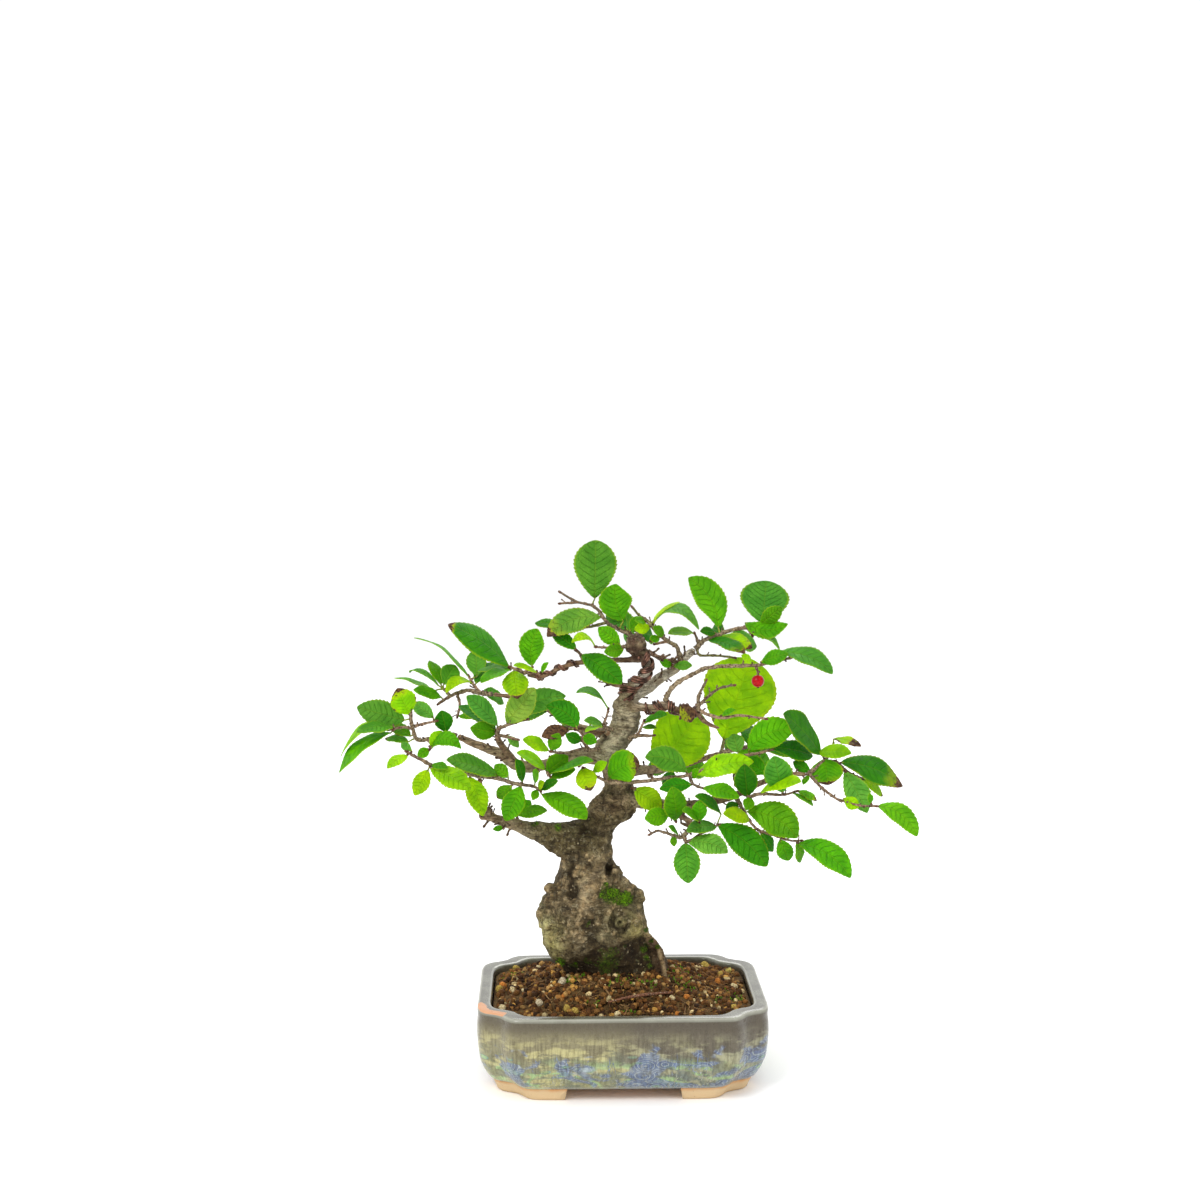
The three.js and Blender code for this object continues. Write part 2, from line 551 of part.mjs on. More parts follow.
  "spray_berry": {
    "twigs": [
      [[19.3, 164.3, -9, 1.2], [21, 168, -11, 1.1], [24, 171.5, -12, 1.1],
        [30, 175, -13, 1], [36, 178, -14, 1],
        [42, 179, -15, 0.9], [50, 179.3, -16, 0.9], [58, 179.5, -17, 0.8],
        [65, 180.5, -18, 0.7], [75, 183, -19, 0.5]],
      [[58.3, 179.5, -17, 0.6], [59.4, 177.6, -18, 0.5], [59.7, 176, -18, 0.5]],
      [[68.3, 181.2, -18, 0.6], [68.5, 183.8, -18, 0.5]],
    ],
    "leaves": [
      [61, 181, 73, 184.5, 6, -6, "g"],
      [69, 184.8, 92.2, 175.6, 7.5, -8, "m", [81.8, 183.2]],
      [57, 180.5, 52.5, 184, 3, -4, "y"],
    ],
  },
  "twigs_right": {
    "twigs": [
      [[33.8, 159.6, -14.5, 1.1], [34, 166, -16, 0.8], [37, 172.5, -18, 0.5]],
      [[34, 161.5, -15, 0.8], [36, 164, -17, 0.7], [43, 169.5, -20, 0.6], [49, 170.8, -22, 0.5]],
      [[34, 160.3, -14.8, 0.9], [37, 158.3, -17, 0.8], [44, 156.5, -19, 0.7],
        [52, 157.5, -21, 0.6], [63, 156, -23, 0.5]],
    ],
    "leaves": [
      [44, 157.5, 50, 160, 2.5, -3, "g"],
    ],
  },
  "leaf_branch_right": {
    "twigs": [
      [[26.5, 159, -11.8, 0.9], [26, 156.8, -14, 0.6]],
    ],
    "leaves": [
      [26, 157, 32, 160, 6, -5, "y"],
    ],
  },
  "spray_trunk_right": {
    "twigs": [
      [[4, 147.5, -1, 1.2], [7, 148.6, -4, 0.9], [14, 148.8, -6, 0.6]],
      [[7, 148.6, -4, 0.8], [8.5, 151.5, -8, 0.6], [10, 155, -11, 0.5]],
    ],
    "leaves": [
      [9.5, 152.5, 15.5, 152, 2, -4, "m"],
      [10.8, 156, 16, 157, 2, -2, "m"],
      [10.5, 154.5, 20, 157.8, 3, -10, "d"],
    ],
  },
  "leaves_branch_back": {
    "twigs": [
      [[22.5, 178.3, 6.8, 0.9], [22.5, 179.5, 4, 0.6]],
    ],
    "leaves": [
      [22, 179.5, 17, 181.5, 3.5, -4, "g"],
      [23, 179.3, 31, 179.5, 4, -4, "m"],
    ],
  },
};

// A copper wire wound on a limb: from and to as shares of its length, turns, and the angle it starts at.
const WIRES = {
  "wire_up_a": { limb: BRANCH_UP, from: 0.3, to: 0.64, turns: 2.25, start: 0 },
  "wire_up_b": { limb: BRANCH_UP, from: 0.3, to: 0.64, turns: 2.25, start: Math.PI },
  "wire_right": { limb: BRANCH_RIGHT, from: 0.2, to: 0.44, turns: 4, start: 0.8 },
  "wire_left": { limb: WIRED_TWIG, from: 0.5, to: 0.95, turns: 6, start: 2.1 },
};
const WIRE_RADIUS = 0.55;
const WIRE_LIFT = 0.45;

// The one berry's middle and radius, and a dry twig that lies on the soil.
const BERRY_AT = [59.7, 172.6, -18];
const BERRY_RADIUS = 2.7;
const FALLEN_TWIG = [[2, 31.5, -35, 0.8], [9, 32.6, -31.5, 0.9], [17, 33.4, -27.5, 0.8], [23, 33.8, -25, 0.6]];

// The point at front-view (u, v) and the given depth.
function seen(u, v, depth) {
  const k = (depth - EYE.y) / -EYE.y;
  return new THREE.Vector3(EYE.x + (u - EYE.x) * k, depth, EYE.z + (v - EYE.z) * k);
}

// A closed body through rings of equal count, each turning left as seen from the end of the body.
function loft(rings, flipped = () => false) {
  const count = rings[0].length;
  const positions = rings.flat().flatMap((p) => [p.x, p.y, p.z]);
  const index = [];
  for (let row = 0; row < rings.length - 1; row++) {
    for (let j = 0; j < count; j++) {
      const a = row * count + j;
      const b = row * count + ((j + 1) % count);
      const c = b + count;
      const d = a + count;
      if (flipped(j)) {
        index.push(a, b, d, b, c, d);
      } else {
        index.push(a, b, c, a, c, d);
      }
    }
  }
  const last = (rings.length - 1) * count;
  for (let j = 1; j < count - 1; j++) {
    index.push(0, j + 1, j, last, last + j, last + j + 1);
  }
  const geometry = new THREE.BufferGeometry();
  geometry.setAttribute("position", new THREE.Float32BufferAttribute(positions, 3));
  geometry.setIndex(index);
  return geometry;
}

function toSolid(geometry) {
  const vertProperties = new Float32Array(geometry.attributes.position.array);
  const triVerts = new Uint32Array(geometry.index.array);
  return new wasm.Manifold(new wasm.Mesh({ numProp: 3, vertProperties, triVerts }));
}

function toMesh(name, solid, colour, roughness, metalness = 0) {
  const { numProp, numVert, vertProperties, triVerts } = solid.getMesh();
  const positions = [];
  for (let i = 0; i < numVert; i++) {
    positions.push(...vertProperties.subarray(i * numProp, i * numProp + 3));
  }
  const geometry = new THREE.BufferGeometry();
  geometry.setAttribute("position", new THREE.Float32BufferAttribute(positions, 3));
  geometry.setIndex([...triVerts]);
  geometry.computeVertexNormals();
  const mesh = new THREE.Mesh(geometry, new THREE.MeshStandardMaterial({ color: colour, roughness, metalness }));
  mesh.name = name;
  return mesh;
}

const fuse = (solids) => wasm.Manifold.union(solids);

// The largest body of a solid, so that a crumb cut off by a neighbour's gap is dropped.
function largest(solid) {
  const bodies = solid.decompose();
  bodies.sort((a, b) => b.volume() - a.volume());
  return bodies[0];
}

// Smooth curves through the points and radii of a limb.
function limbCurve(limb, grow = 0) {
  const curve = new THREE.CatmullRomCurve3(limb.map(([u, v, depth]) => seen(u, v, depth)));
  const radius = (t) => {
    const at = t * (limb.length - 1);
    const i = Math.min(Math.floor(at), limb.length - 2);
    return THREE.MathUtils.lerp(limb[i][3], limb[i + 1][3], at - i) + grow;
  };
  return { curve, radius };
}

// Two directions square to a limb, carried along it without twist.
function carriedFrames(curve, steps) {
  const frames = [];
  let side = new THREE.Vector3(0.31, 0.2, 0.93);
  for (let i = 0; i <= steps; i++) {
    const tangent = curve.getTangent(i / steps);
    side = side.clone().addScaledVector(tangent, -side.dot(tangent)).normalize();
    frames.push([side, tangent.clone().cross(side)]);
  }
  return frames;
}

function limbSolid(limb, sides, steps, grow = 0) {
  const { curve, radius } = limbCurve(limb, grow);
  const frames = carriedFrames(curve, steps);
  const rings = frames.map(([side, across], i) => {
    const centre = curve.getPoint(i / steps);
    return Array.from({ length: sides }, (_, j) => {
      const angle = (2 * Math.PI * j) / sides;
      return centre
        .clone()
        .addScaledVector(side, radius(i / steps) * Math.cos(angle))
        .addScaledVector(across, radius(i / steps) * Math.sin(angle));
    });
  });
  return toSolid(loft(rings));
}

// The plan outline of the pot, its corners cut back in a soft notch, moved in by inset.
function potOutline(inset) {
  const x = POT_LONG / 2;
  const y = POT_DEEP / 2;
  const quarter = [
    [x, y - 20],
    [x - 1, y - 14.5],
    [x - 3.4, y - 11.2],
    [x - 7.2, y - 9.2],
    [x - 10.4, y - 6.8],
    [x - 12.6, y - 3.4],
    [x - 15.5, y - 0.8],
    [x - 20, y],
  ].map(([px, py]) => [px - inset, py - inset]);
  const mirrored = (sx, sy) => quarter.map(([px, py]) => [sx * px, sy * py]);
  return [
    ...mirrored(1, 1),
    ...mirrored(-1, 1).reverse(),
    ...mirrored(-1, -1),
    ...mirrored(1, -1).reverse(),
  ];
}

const potRing = (inset, z, share = 1) =>
  potOutline(inset).map(([x, y]) => new THREE.Vector3(x * share, y * share, z));

function box(x0, x1, y0, y1, z0, z1) {
  const ring = (z) => [[x0, y0], [x1, y0], [x1, y1], [x0, y1]].map(([x, y]) => new THREE.Vector3(x, y, z));
  return toSolid(loft([ring(z0), ring(z1)]));
}

function rod(x, y, z0, z1, radius, sides = 14) {
  const ring = (z) =>
    Array.from({ length: sides }, (_, j) => {
      const angle = (2 * Math.PI * j) / sides;
      return new THREE.Vector3(x + radius * Math.cos(angle), y + radius * Math.sin(angle), z);
    });
  return toSolid(loft([ring(z0), ring(z1)]));
}

// The pot: wall, lip and floor turned out of one outline, on four corner feet, with two drain holes.
function makePot() {
  const outside = [
    [6.6, FOOT_HIGH],
    [4.8, 7.2],
    [2.8, 10.6],
    [1.1, 15.6],
    [0, 26],
    [0.5, 34.4],
    [0.3, 36.2],
    [1.8, POT_HIGH],
  ];
  const inside = [
    [5.7, POT_HIGH],
    [6.2, POT_HIGH - 0.5],
    [7, 15],
    [9.5, FLOOR_TOP + 0.8],
    [12, FLOOR_TOP],
  ];
  const body = toSolid(loft([...outside, ...inside].map(([inset, z]) => potRing(inset, z))));
  const base = toSolid(loft([potRing(FOOT_INSET + 1.2, 0), potRing(FOOT_INSET - 1, FOOT_HIGH + 1)]));
  const feet = [];
  for (const sx of [-1, 1]) {
    for (const sy of [-1, 1]) {
      const x = [sx * FOOT_FROM_X, sx * POT_LONG].sort((a, b) => a - b);
      const y = [sy * FOOT_FROM_Y, sy * POT_DEEP].sort((a, b) => a - b);
      feet.push(base.intersect(box(x[0], x[1], y[0], y[1], -1, FOOT_HIGH + 2)));
    }
  }
  const drains = [-1, 1].map((s) => rod(s * DRAIN_AT, 0, 0, FLOOR_TOP + 2, DRAIN_RADIUS));
  return fuse([body, ...feet]).subtract(fuse(drains));
}

// A square of screen over a drain hole, with nine openings.
function makeScreen(x) {
  const half = SCREEN_SIDE / 2;
  const reach = SCREEN_OPENING / 2;
  const bottom = FLOOR_TOP + GAP;
  const plate = box(x - half, x + half, -half, half, bottom, bottom + SCREEN_THICK);
  const openings = [];
  for (let i = -1; i <= 1; i++) {
    for (let j = -1; j <= 1; j++) {
      const px = x + i * SCREEN_PITCH;
      const py = j * SCREEN_PITCH;
      openings.push(box(px - reach, px + reach, py - reach, py + reach, bottom - 1, bottom + 2));
    }
  }
  return plate.subtract(fuse(openings));
}

// The soil fills the pot and is heaped up round the foot of the trunk.
function makeSoil(wood) {
  const sides = [
    [12 + GAP, FLOOR_TOP + GAP],
    [9.5 + GAP, FLOOR_TOP + 0.8 + GAP],
    [7 + GAP, 15],
    [6.35 + GAP, 34.4],
  ].map(([inset, z]) => potRing(inset, z));
  const heap = [
    [0.96, 35],
    [0.78, 36.8],
    [0.58, 40.2],
    [0.4, 43.4],
    [0.15, 45.4],
  ].map(([share, z]) => potRing(7, z, share));
  const pockets = [-1, 1].map((s) => {
    const half = SCREEN_SIDE / 2 + GAP;
    const x = s * DRAIN_AT;
    return box(x - half, x + half, -half, half, 0, FLOOR_TOP + SCREEN_THICK + 2 * GAP);
  });
  return largest(toSolid(loft([...sides, ...heap])).subtract(fuse([...pockets, wood])));
}

// The trunk with its burr, as level sections whose edge is lumpy.
function trunkSolid(grow = 0) {
  const sides = 12;
  const rings = TRUNK.map(([u, v, depth, wide, deep]) => {
    const centre = seen(u, v, depth);
    return Array.from({ length: sides }, (_, j) => {
      const angle = (2 * Math.PI * j) / sides;
      const swell = 0.045 * Math.sin(3 * angle + 0.11 * v) * Math.sin(angle) ** 2;
      const ripple = 0.03 * Math.sin(5 * angle - 0.2 * v);
      const lump = 1 + swell + ripple;
      return new THREE.Vector3(
        centre.x + (wide * lump + grow) * Math.cos(angle),
        centre.y + (deep * lump + grow) * Math.sin(angle),
        centre.z,
      );
    });
  });
  return toSolid(loft(rings));
}

// How many flat sides a limb has, by the radius that it starts with.
function sidesOf(radius) {
  if (radius > 5) {
    return 9;
  }
  return radius > 2 ? 6 : 5;
}

function makeWood(grow = 0) {
  const limbs = LIMBS.map((limb) => limbSolid(limb, sidesOf(limb[0][3]), limb.length - 1, grow));
  return fuse([trunkSolid(grow), ...limbs]);
}

function makeWire({ limb, from, to, turns, start }) {
  const { curve, radius } = limbCurve(limb);
  const steps = Math.round(turns * 8);
  const fine = 200;
  const frames = carriedFrames(curve, fine);
  const path = [];
  for (let i = 0; i <= steps; i++) {
    const t = THREE.MathUtils.lerp(from, to, i / steps);
    const angle = start + (2 * Math.PI * turns * i) / steps;
    const [side, across] = frames[Math.round(t * fine)];
    const out = radius(t) + WIRE_LIFT + WIRE_RADIUS;
    path.push(
      curve
        .getPoint(t)
        .addScaledVector(side, out * Math.cos(angle))
        .addScaledVector(across, out * Math.sin(angle)),
    );
  }
  const wire = new THREE.CatmullRomCurve3(path);
  const rings = carriedFrames(wire, steps).map(([side, across], i) => {
    const centre = wire.getPoint(i / steps);
    return Array.from({ length: 4 }, (_, j) => {
      const angle = (Math.PI * j) / 2;
      return centre
        .clone()
        .addScaledVector(side, WIRE_RADIUS * Math.cos(angle))
        .addScaledVector(across, WIRE_RADIUS * Math.sin(angle));
    });
  });
  return toSolid(loft(rings));
}

// Half width of a blade as a share of its greatest, at the share t of its length.
function bladeShape(t, row) {
  const outline = Math.sin(Math.PI * t ** 1.06) ** 0.74;
  return outline * (row % 2 ? 1 : 1 - TOOTH);
}

// One leaf: a thin arched blade, toothed at the edge, whose stalk starts at root.
function leafSolid(root, [u0, v0, u1, v1, shown, lean, , via]) {
  const base = seen(u0, v0, root.y);
  const tip = seen(u1, v1, root.y + lean);
  const axis = tip.clone().sub(base);
  const length = axis.length();
  const view = base.clone().sub(EYE).normalize();
  const flat = axis.clone().cross(view).normalize();
  const facing = flat.clone().cross(axis).normalize();
  if (facing.dot(view) > 0) {
    facing.negate();
  }
  const width = Math.max(shown, SLENDER * length);
  const roll = Math.acos(shown / width) * (flat.z > 0 ? -1 : 1);
  const side = flat.clone().multiplyScalar(Math.cos(roll)).addScaledVector(facing, Math.sin(roll));
  const up = facing.clone().multiplyScalar(Math.cos(roll)).addScaledVector(flat, -Math.sin(roll));
  const middle = base.clone().add(tip).multiplyScalar(0.5);
  const bend = via
    ? seen(via[0], via[1], root.y + lean / 2).multiplyScalar(2).sub(middle)
    : middle.clone().addScaledVector(up, ARCH * length);
  const spine = new THREE.QuadraticBezierCurve3(base, bend, tip);
  const section = (centre, tangent, half, thick) => {
    const across = side.clone().addScaledVector(tangent, -side.dot(tangent)).normalize();
    const out = across.clone().cross(tangent).normalize();
    if (out.dot(up) < 0) {
      out.negate();
    }
    const corner = (share, height) =>
      centre.clone().addScaledVector(across, share * half).addScaledVector(out, height * thick);
    return [corner(1, 0.5), corner(-1, 0.5), corner(-1, -0.5), corner(1, -0.5)];
  };
  const stalk = base.distanceTo(root) > 1 ? base.clone().sub(root).normalize() : axis.clone().normalize();
  const sunk = root.clone().addScaledVector(stalk, -SUNK);
  const rings = [section(sunk, stalk, ROOT_RADIUS, 2 * ROOT_RADIUS)];
  const rows = length > 15 ? 6 : length > 8 ? 4 : 3;
  for (let row = base.distanceTo(root) > 1.5 ? 0 : 1; row <= rows; row++) {
    const t = row / rows;
    const half = row % rows ? (width / 2) * bladeShape(t, row) : STALK_RADIUS;
    rings.push(section(spine.getPoint(t), spine.getTangent(t), half, BLADE_THICK));
  }
  if (side.clone().cross(up).dot(axis) < 0) {
    rings.forEach((ring) => ring.reverse());
  }
  return toSolid(loft(rings, (j) => j === 2));
}

// The point inside a spray's twigs that shows nearest to a leaf's base.
function nearestOnTwigs(twigs, u, v) {
  let best = { distance: Infinity };
  for (const twig of twigs) {
    for (let i = 0; i < twig.length - 1; i++) {
      for (let k = 1; k <= 7; k++) {
        const [pu, pv, depth] = twig[i].map((value, n) => THREE.MathUtils.lerp(value, twig[i + 1][n], k / 8));
        const distance = Math.hypot(pu - u, pv - v);
        if (distance < best.distance) {
          best = { distance, point: seen(pu, pv, depth) };
        }
      }
    }
  }
  return best.point;
}

function makeSpray({ twigs, leaves }) {
  const wood = twigs.map((twig) => limbSolid(twig, 4, twig.length - 1));
  const blades = leaves.map((leaf) => leafSolid(nearestOnTwigs(twigs, leaf[0], leaf[1]), leaf));
  return fuse([...wood, ...blades]);
}

// The mean of a spray's leaf tones.
function sprayColour({ leaves }) {
  const colour = new THREE.Color(0, 0, 0);
  leaves.forEach((leaf) => colour.add(new THREE.Color(LEAF_COLOURS[leaf[6]])));
  return leaves.length ? colour.multiplyScalar(1 / leaves.length) : new THREE.Color(BARK);
}

// The berry hangs from its stalk, with the dry remains of the flower below.
function makeBerry() {
  const centre = seen(...BERRY_AT);
  const profile = [
    [0.24, -1.16],
    [0.28, -0.98],
    [0.6, -0.82],
    [0.9, -0.45],
    [1, 0],
    [0.9, 0.42],
    [0.62, 0.8],
    [0.3, 1],
  ];
  const rings = profile.map(([share, height]) =>
    Array.from({ length: 12 }, (_, j) => {
      const angle = (2 * Math.PI * j) / 12;
      return new THREE.Vector3(
        centre.x + share * BERRY_RADIUS * Math.cos(angle),
        centre.y + share * BERRY_RADIUS * Math.sin(angle),
        centre.z + height * BERRY_RADIUS,
      );
    }),
  );
  return toSolid(loft(rings));
}

const wood = makeWood();
const woodWithGap = makeWood(GAP);
const wires = Object.entries(WIRES).map(([name, wire]) => [name, makeWire(wire)]);

const tree = new THREE.Group();
tree.add(toMesh("pot", makePot(), "#6f7568", 0.35));
tree.add(toMesh("soil", makeSoil(woodWithGap), "#5a3d22", 0.95));
tree.add(toMesh("drain_screen_left", makeScreen(-DRAIN_AT), "#2b2b2b", 0.6));
tree.add(toMesh("drain_screen_right", makeScreen(DRAIN_AT), "#2b2b2b", 0.6));
tree.add(toMesh("trunk", wood, BARK, 0.9));
for (const [name, wire] of wires) {
  tree.add(toMesh(name, wire, "#6e4433", 0.4, 0.8));
}
for (const [name, spray] of Object.entries(SPRAYS)) {
  tree.add(toMesh(name, largest(makeSpray(spray).subtract(woodWithGap)), sprayColour(spray), 0.5));
}
tree.add(toMesh("berry", makeBerry(), "#c8001e", 0.2));
tree.add(toMesh("fallen_twig", limbSolid(FALLEN_TWIG, 5, 5), "#6b3f2c", 0.8));

// The origin is under the middle of the whole piece, on the surface that it stands on.
const bounds = new THREE.Box3().setFromObject(tree);
tree.position.set(-(bounds.min.x + bounds.max.x) / 2, -(bounds.min.y + bounds.max.y) / 2, 0);

export default tree;
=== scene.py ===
"""A small winterberry bonsai in its glazed pot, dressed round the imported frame.

Lengths are millimetres until a mesh is made; +Z is up and the pot's front looks along -Y.
"""

import math
import random

import bpy
import numpy as np
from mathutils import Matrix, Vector


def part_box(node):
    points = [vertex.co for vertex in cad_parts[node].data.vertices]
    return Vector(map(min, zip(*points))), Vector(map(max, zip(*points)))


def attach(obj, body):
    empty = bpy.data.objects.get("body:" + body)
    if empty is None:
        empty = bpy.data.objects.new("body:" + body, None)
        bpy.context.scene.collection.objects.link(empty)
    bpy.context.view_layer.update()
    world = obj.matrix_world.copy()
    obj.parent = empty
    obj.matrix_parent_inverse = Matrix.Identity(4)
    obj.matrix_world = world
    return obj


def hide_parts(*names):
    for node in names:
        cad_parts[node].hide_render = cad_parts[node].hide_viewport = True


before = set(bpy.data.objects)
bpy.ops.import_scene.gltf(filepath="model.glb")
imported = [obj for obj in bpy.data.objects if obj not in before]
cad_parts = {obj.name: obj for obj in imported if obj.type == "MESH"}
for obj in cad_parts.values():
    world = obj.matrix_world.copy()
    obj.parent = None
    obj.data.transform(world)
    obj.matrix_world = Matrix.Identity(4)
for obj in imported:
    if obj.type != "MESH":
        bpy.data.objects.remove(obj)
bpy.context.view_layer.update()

SEED = 20
MM = 0.001

# The tree is laid out in the front view: u across and v up, on the upright plane through the pot's middle.
EYE = np.array([-30.0, -837.0, 291.0])
CAMERA_TILT = 5.644
CAMERA_TURN = -1.432
pot_low, pot_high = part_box("pot")
SHIFT = np.array([(pot_low.x + pot_high.x) / 2 / MM, (pot_low.y + pot_high.y) / 2 / MM, 0.0])

# Pot
POT_LONG = 125
POT_DEEP = 98
POT_HIGH = 37.5
FOOT_HIGH = 5.2
FLOOR_TOP = 9.5
DRAIN_RADIUS = 5
DRAIN_AT = 27
FOOT_FROM_X = 24
FOOT_FROM_Y = 20
FOOT_INSET = 6.9
GAP = 0.3

# Leaves
SLENDER = 0.5
ARCH = 0.16
BLADE_THICK = 0.26
TONES = {
    "g": (100, 176, 2), "m": (94, 162, 44), "d": (62, 144, 6), "t": (100, 168, 56), "l": (116, 178, 60),
    "y": (162, 212, 0), "o": (138, 182, 62), "b": (186, 184, 56), "x": (88, 62, 46),
}

# The three limbs that carry wire: u, v, depth and radius along each.
WIRED_TWIG = [
    [11, 182.3, -3.3, 1.6], [6, 182.2, -1.5, 1.6], [-1, 182, 0, 1.5], [-15, 181.5, -1, 1.4],
    [-22, 180.2, -2, 1.4], [-28, 178, -2, 1.3], [-34, 175, -3, 1.2], [-40.5, 175.6, -4, 1.1],
]
BRANCH_UP = [
    [1.5, 163, 2, 2.9], [3, 169, -1, 2.4], [7, 172.5, -3, 2.1], [10.7, 176, -4, 2], [11.8, 180, -4, 1.9],
    [10, 184, -3, 2], [7.5, 188, -1, 2.4],
]
BRANCH_RIGHT = [
    [2, 162.5, 1, 2.8], [8, 161.5, -3, 2.2], [14, 161, -6, 2], [19, 162.3, -8, 1.8],
    [24, 160.3, -10, 1.7], [30, 160.3, -12, 1.6], [33.5, 158.5, -13, 1.5], [36, 155.5, -14, 1.3],
    [40, 153, -15, 1.1], [43, 152, -15, 0.9],
]

# Trunk sections: u, v, depth, half width and half depth of each level.
TRUNK = [
    [-3, 26, 3, 18, 12], [-2, 36, 3, 23, 14], [-2.5, 46, 2, 23.5, 13.5], [-6, 51, 1, 24, 15],
    [-9.8, 55.5, 0, 23.8, 17], [-11.5, 62, 0, 23.3, 18.5], [-12, 68, 0, 23, 18.5],
    [-12, 75, 0, 21.8, 17.5], [-12.3, 81, 0, 19.3, 15.5], [-13.5, 86, 0, 15.5, 13.5],
    [-14.5, 91, 0, 12.5, 12], [-14.3, 97, 0, 10.8, 11], [-13.3, 103, 0, 9.8, 10], [-10.4, 109, 0, 9, 9.3],
    [-5, 114.5, 0, 11, 9.5], [-3.5, 119, 0, 10, 9], [-1.2, 124, 0, 7.2, 7.3], [-0.8, 129, 1, 6.2, 6.3],
    [-3, 135, 2, 6.8, 6.3], [-5.6, 141, 3, 7.3, 6.3], [-2.6, 147, 3, 7.2, 6], [1.4, 152.5, 3, 6.6, 5.5],
    [2.3, 158, 3, 6.2, 5], [2.5, 163, 3, 5.5, 4.8], [2.8, 167.5, 3, 3.4, 3.3],
]

# Wood that grows out of the trunk: u, v, depth and radius along each limb.
LIMBS = [
    BRANCH_UP, BRANCH_RIGHT, WIRED_TWIG,
    [[-16, 103, 0, 9], [-24, 103.3, -1, 7.8], [-28.5, 104, -2, 7], [-33, 105.5, -3, 5.4],
     [-38, 107, -4, 4.1], [-44, 108.7, -5, 3], [-50, 110.7, -6, 2.4], [-56, 113, -6, 2.1],
     [-60, 117, -7, 1.9], [-61.5, 124, -10, 1.7], [-61.5, 130, -13, 1.4]],
    [[-54, 112.2, -6, 1.9], [-58, 113.2, -6, 1.9], [-61.5, 113.2, -6, 1.5]],
    [[-5, 137.5, 3, 3.6], [-12, 139.5, 2, 3.2], [-20, 139.3, 2, 2.9], [-30, 137, 3, 2.6],
     [-38, 135.2, 4, 2.5], [-46, 136.3, 5, 2.5], [-52, 141, 6, 2.3], [-58, 143.3, 7, 2.1],
     [-65, 146, 8, 1.9], [-70.5, 148.6, 8, 1.6]],
    [[-45.5, 136.5, 5, 1.9], [-49, 141, 3, 1.8], [-52.5, 145.5, 1, 1.7], [-54, 149, 0, 1.4]],
    [[3, 170.5, 0, 1.6], [-3, 171.5, -2, 1.4], [-7.5, 173, -3, 1.1]],
    [[6.5, 184.5, -1, 2.2], [6.3, 187, -1, 4.1], [6.6, 190, -1, 4.3], [7, 192.8, -1, 2.5]],
    [[10, 186, -2, 1.5], [14, 184.5, -1, 1.3], [17, 182.5, 1, 1.2], [22, 181.5, 5, 1.1],
     [26, 181, 8.5, 1.1]],
    [[3, 165, 3, 3.2], [12, 170, 6, 2.6], [17, 174, 8, 2.4], [22, 177, 9, 2.2], [25.5, 180, 9, 2.1],
     [28, 183, 9, 2], [31.5, 186, 10, 1.8]],
    [[0, 122.5, 0, 4.2], [8, 120, -3, 3.3], [15, 118.5, -6, 2.7], [28, 117.5, -10, 2.3],
     [40, 119.5, -12, 2], [50, 122, -12, 1.8], [60, 127, -12, 1.6], [68, 130, -11, 1.4],
     [76, 131.5, -10, 1.2], [81, 131.2, -9, 1]],
    [[17, 118.3, -7, 2.1], [24, 114.5, -12, 1.7], [29, 111.5, -17, 1.5], [31, 109, -21, 1.3],
     [29, 106, -23, 1.1]],
    [[0, 133, 4, 3.2], [8, 133.5, 13, 2.4], [16, 134, 21, 2.1], [26, 135.5, 28, 1.9],
     [36, 138.5, 33, 1.7], [43, 140.5, 36, 1.5]],
    [[-3, 149, 4, 3.2], [-10, 150.3, 12, 2.4], [-17, 152, 19, 2.1], [-24, 155, 25, 1.8],
     [-31, 160, 29, 1.6], [-42, 165, 32, 1.4], [-55, 167.2, 33, 1.2]],
    [[-4, 150.3, 1, 1.4], [-10, 150, 0, 1.2], [-17, 152, 1, 1], [-23, 151.5, 2, 0.8]],
    [[9, 61, -3, 1.8], [13, 58, -3.5, 1.6], [16.5, 54, -5, 1.5], [18.5, 46, -7, 1.5], [19.5, 38, -8, 1.4]],
]

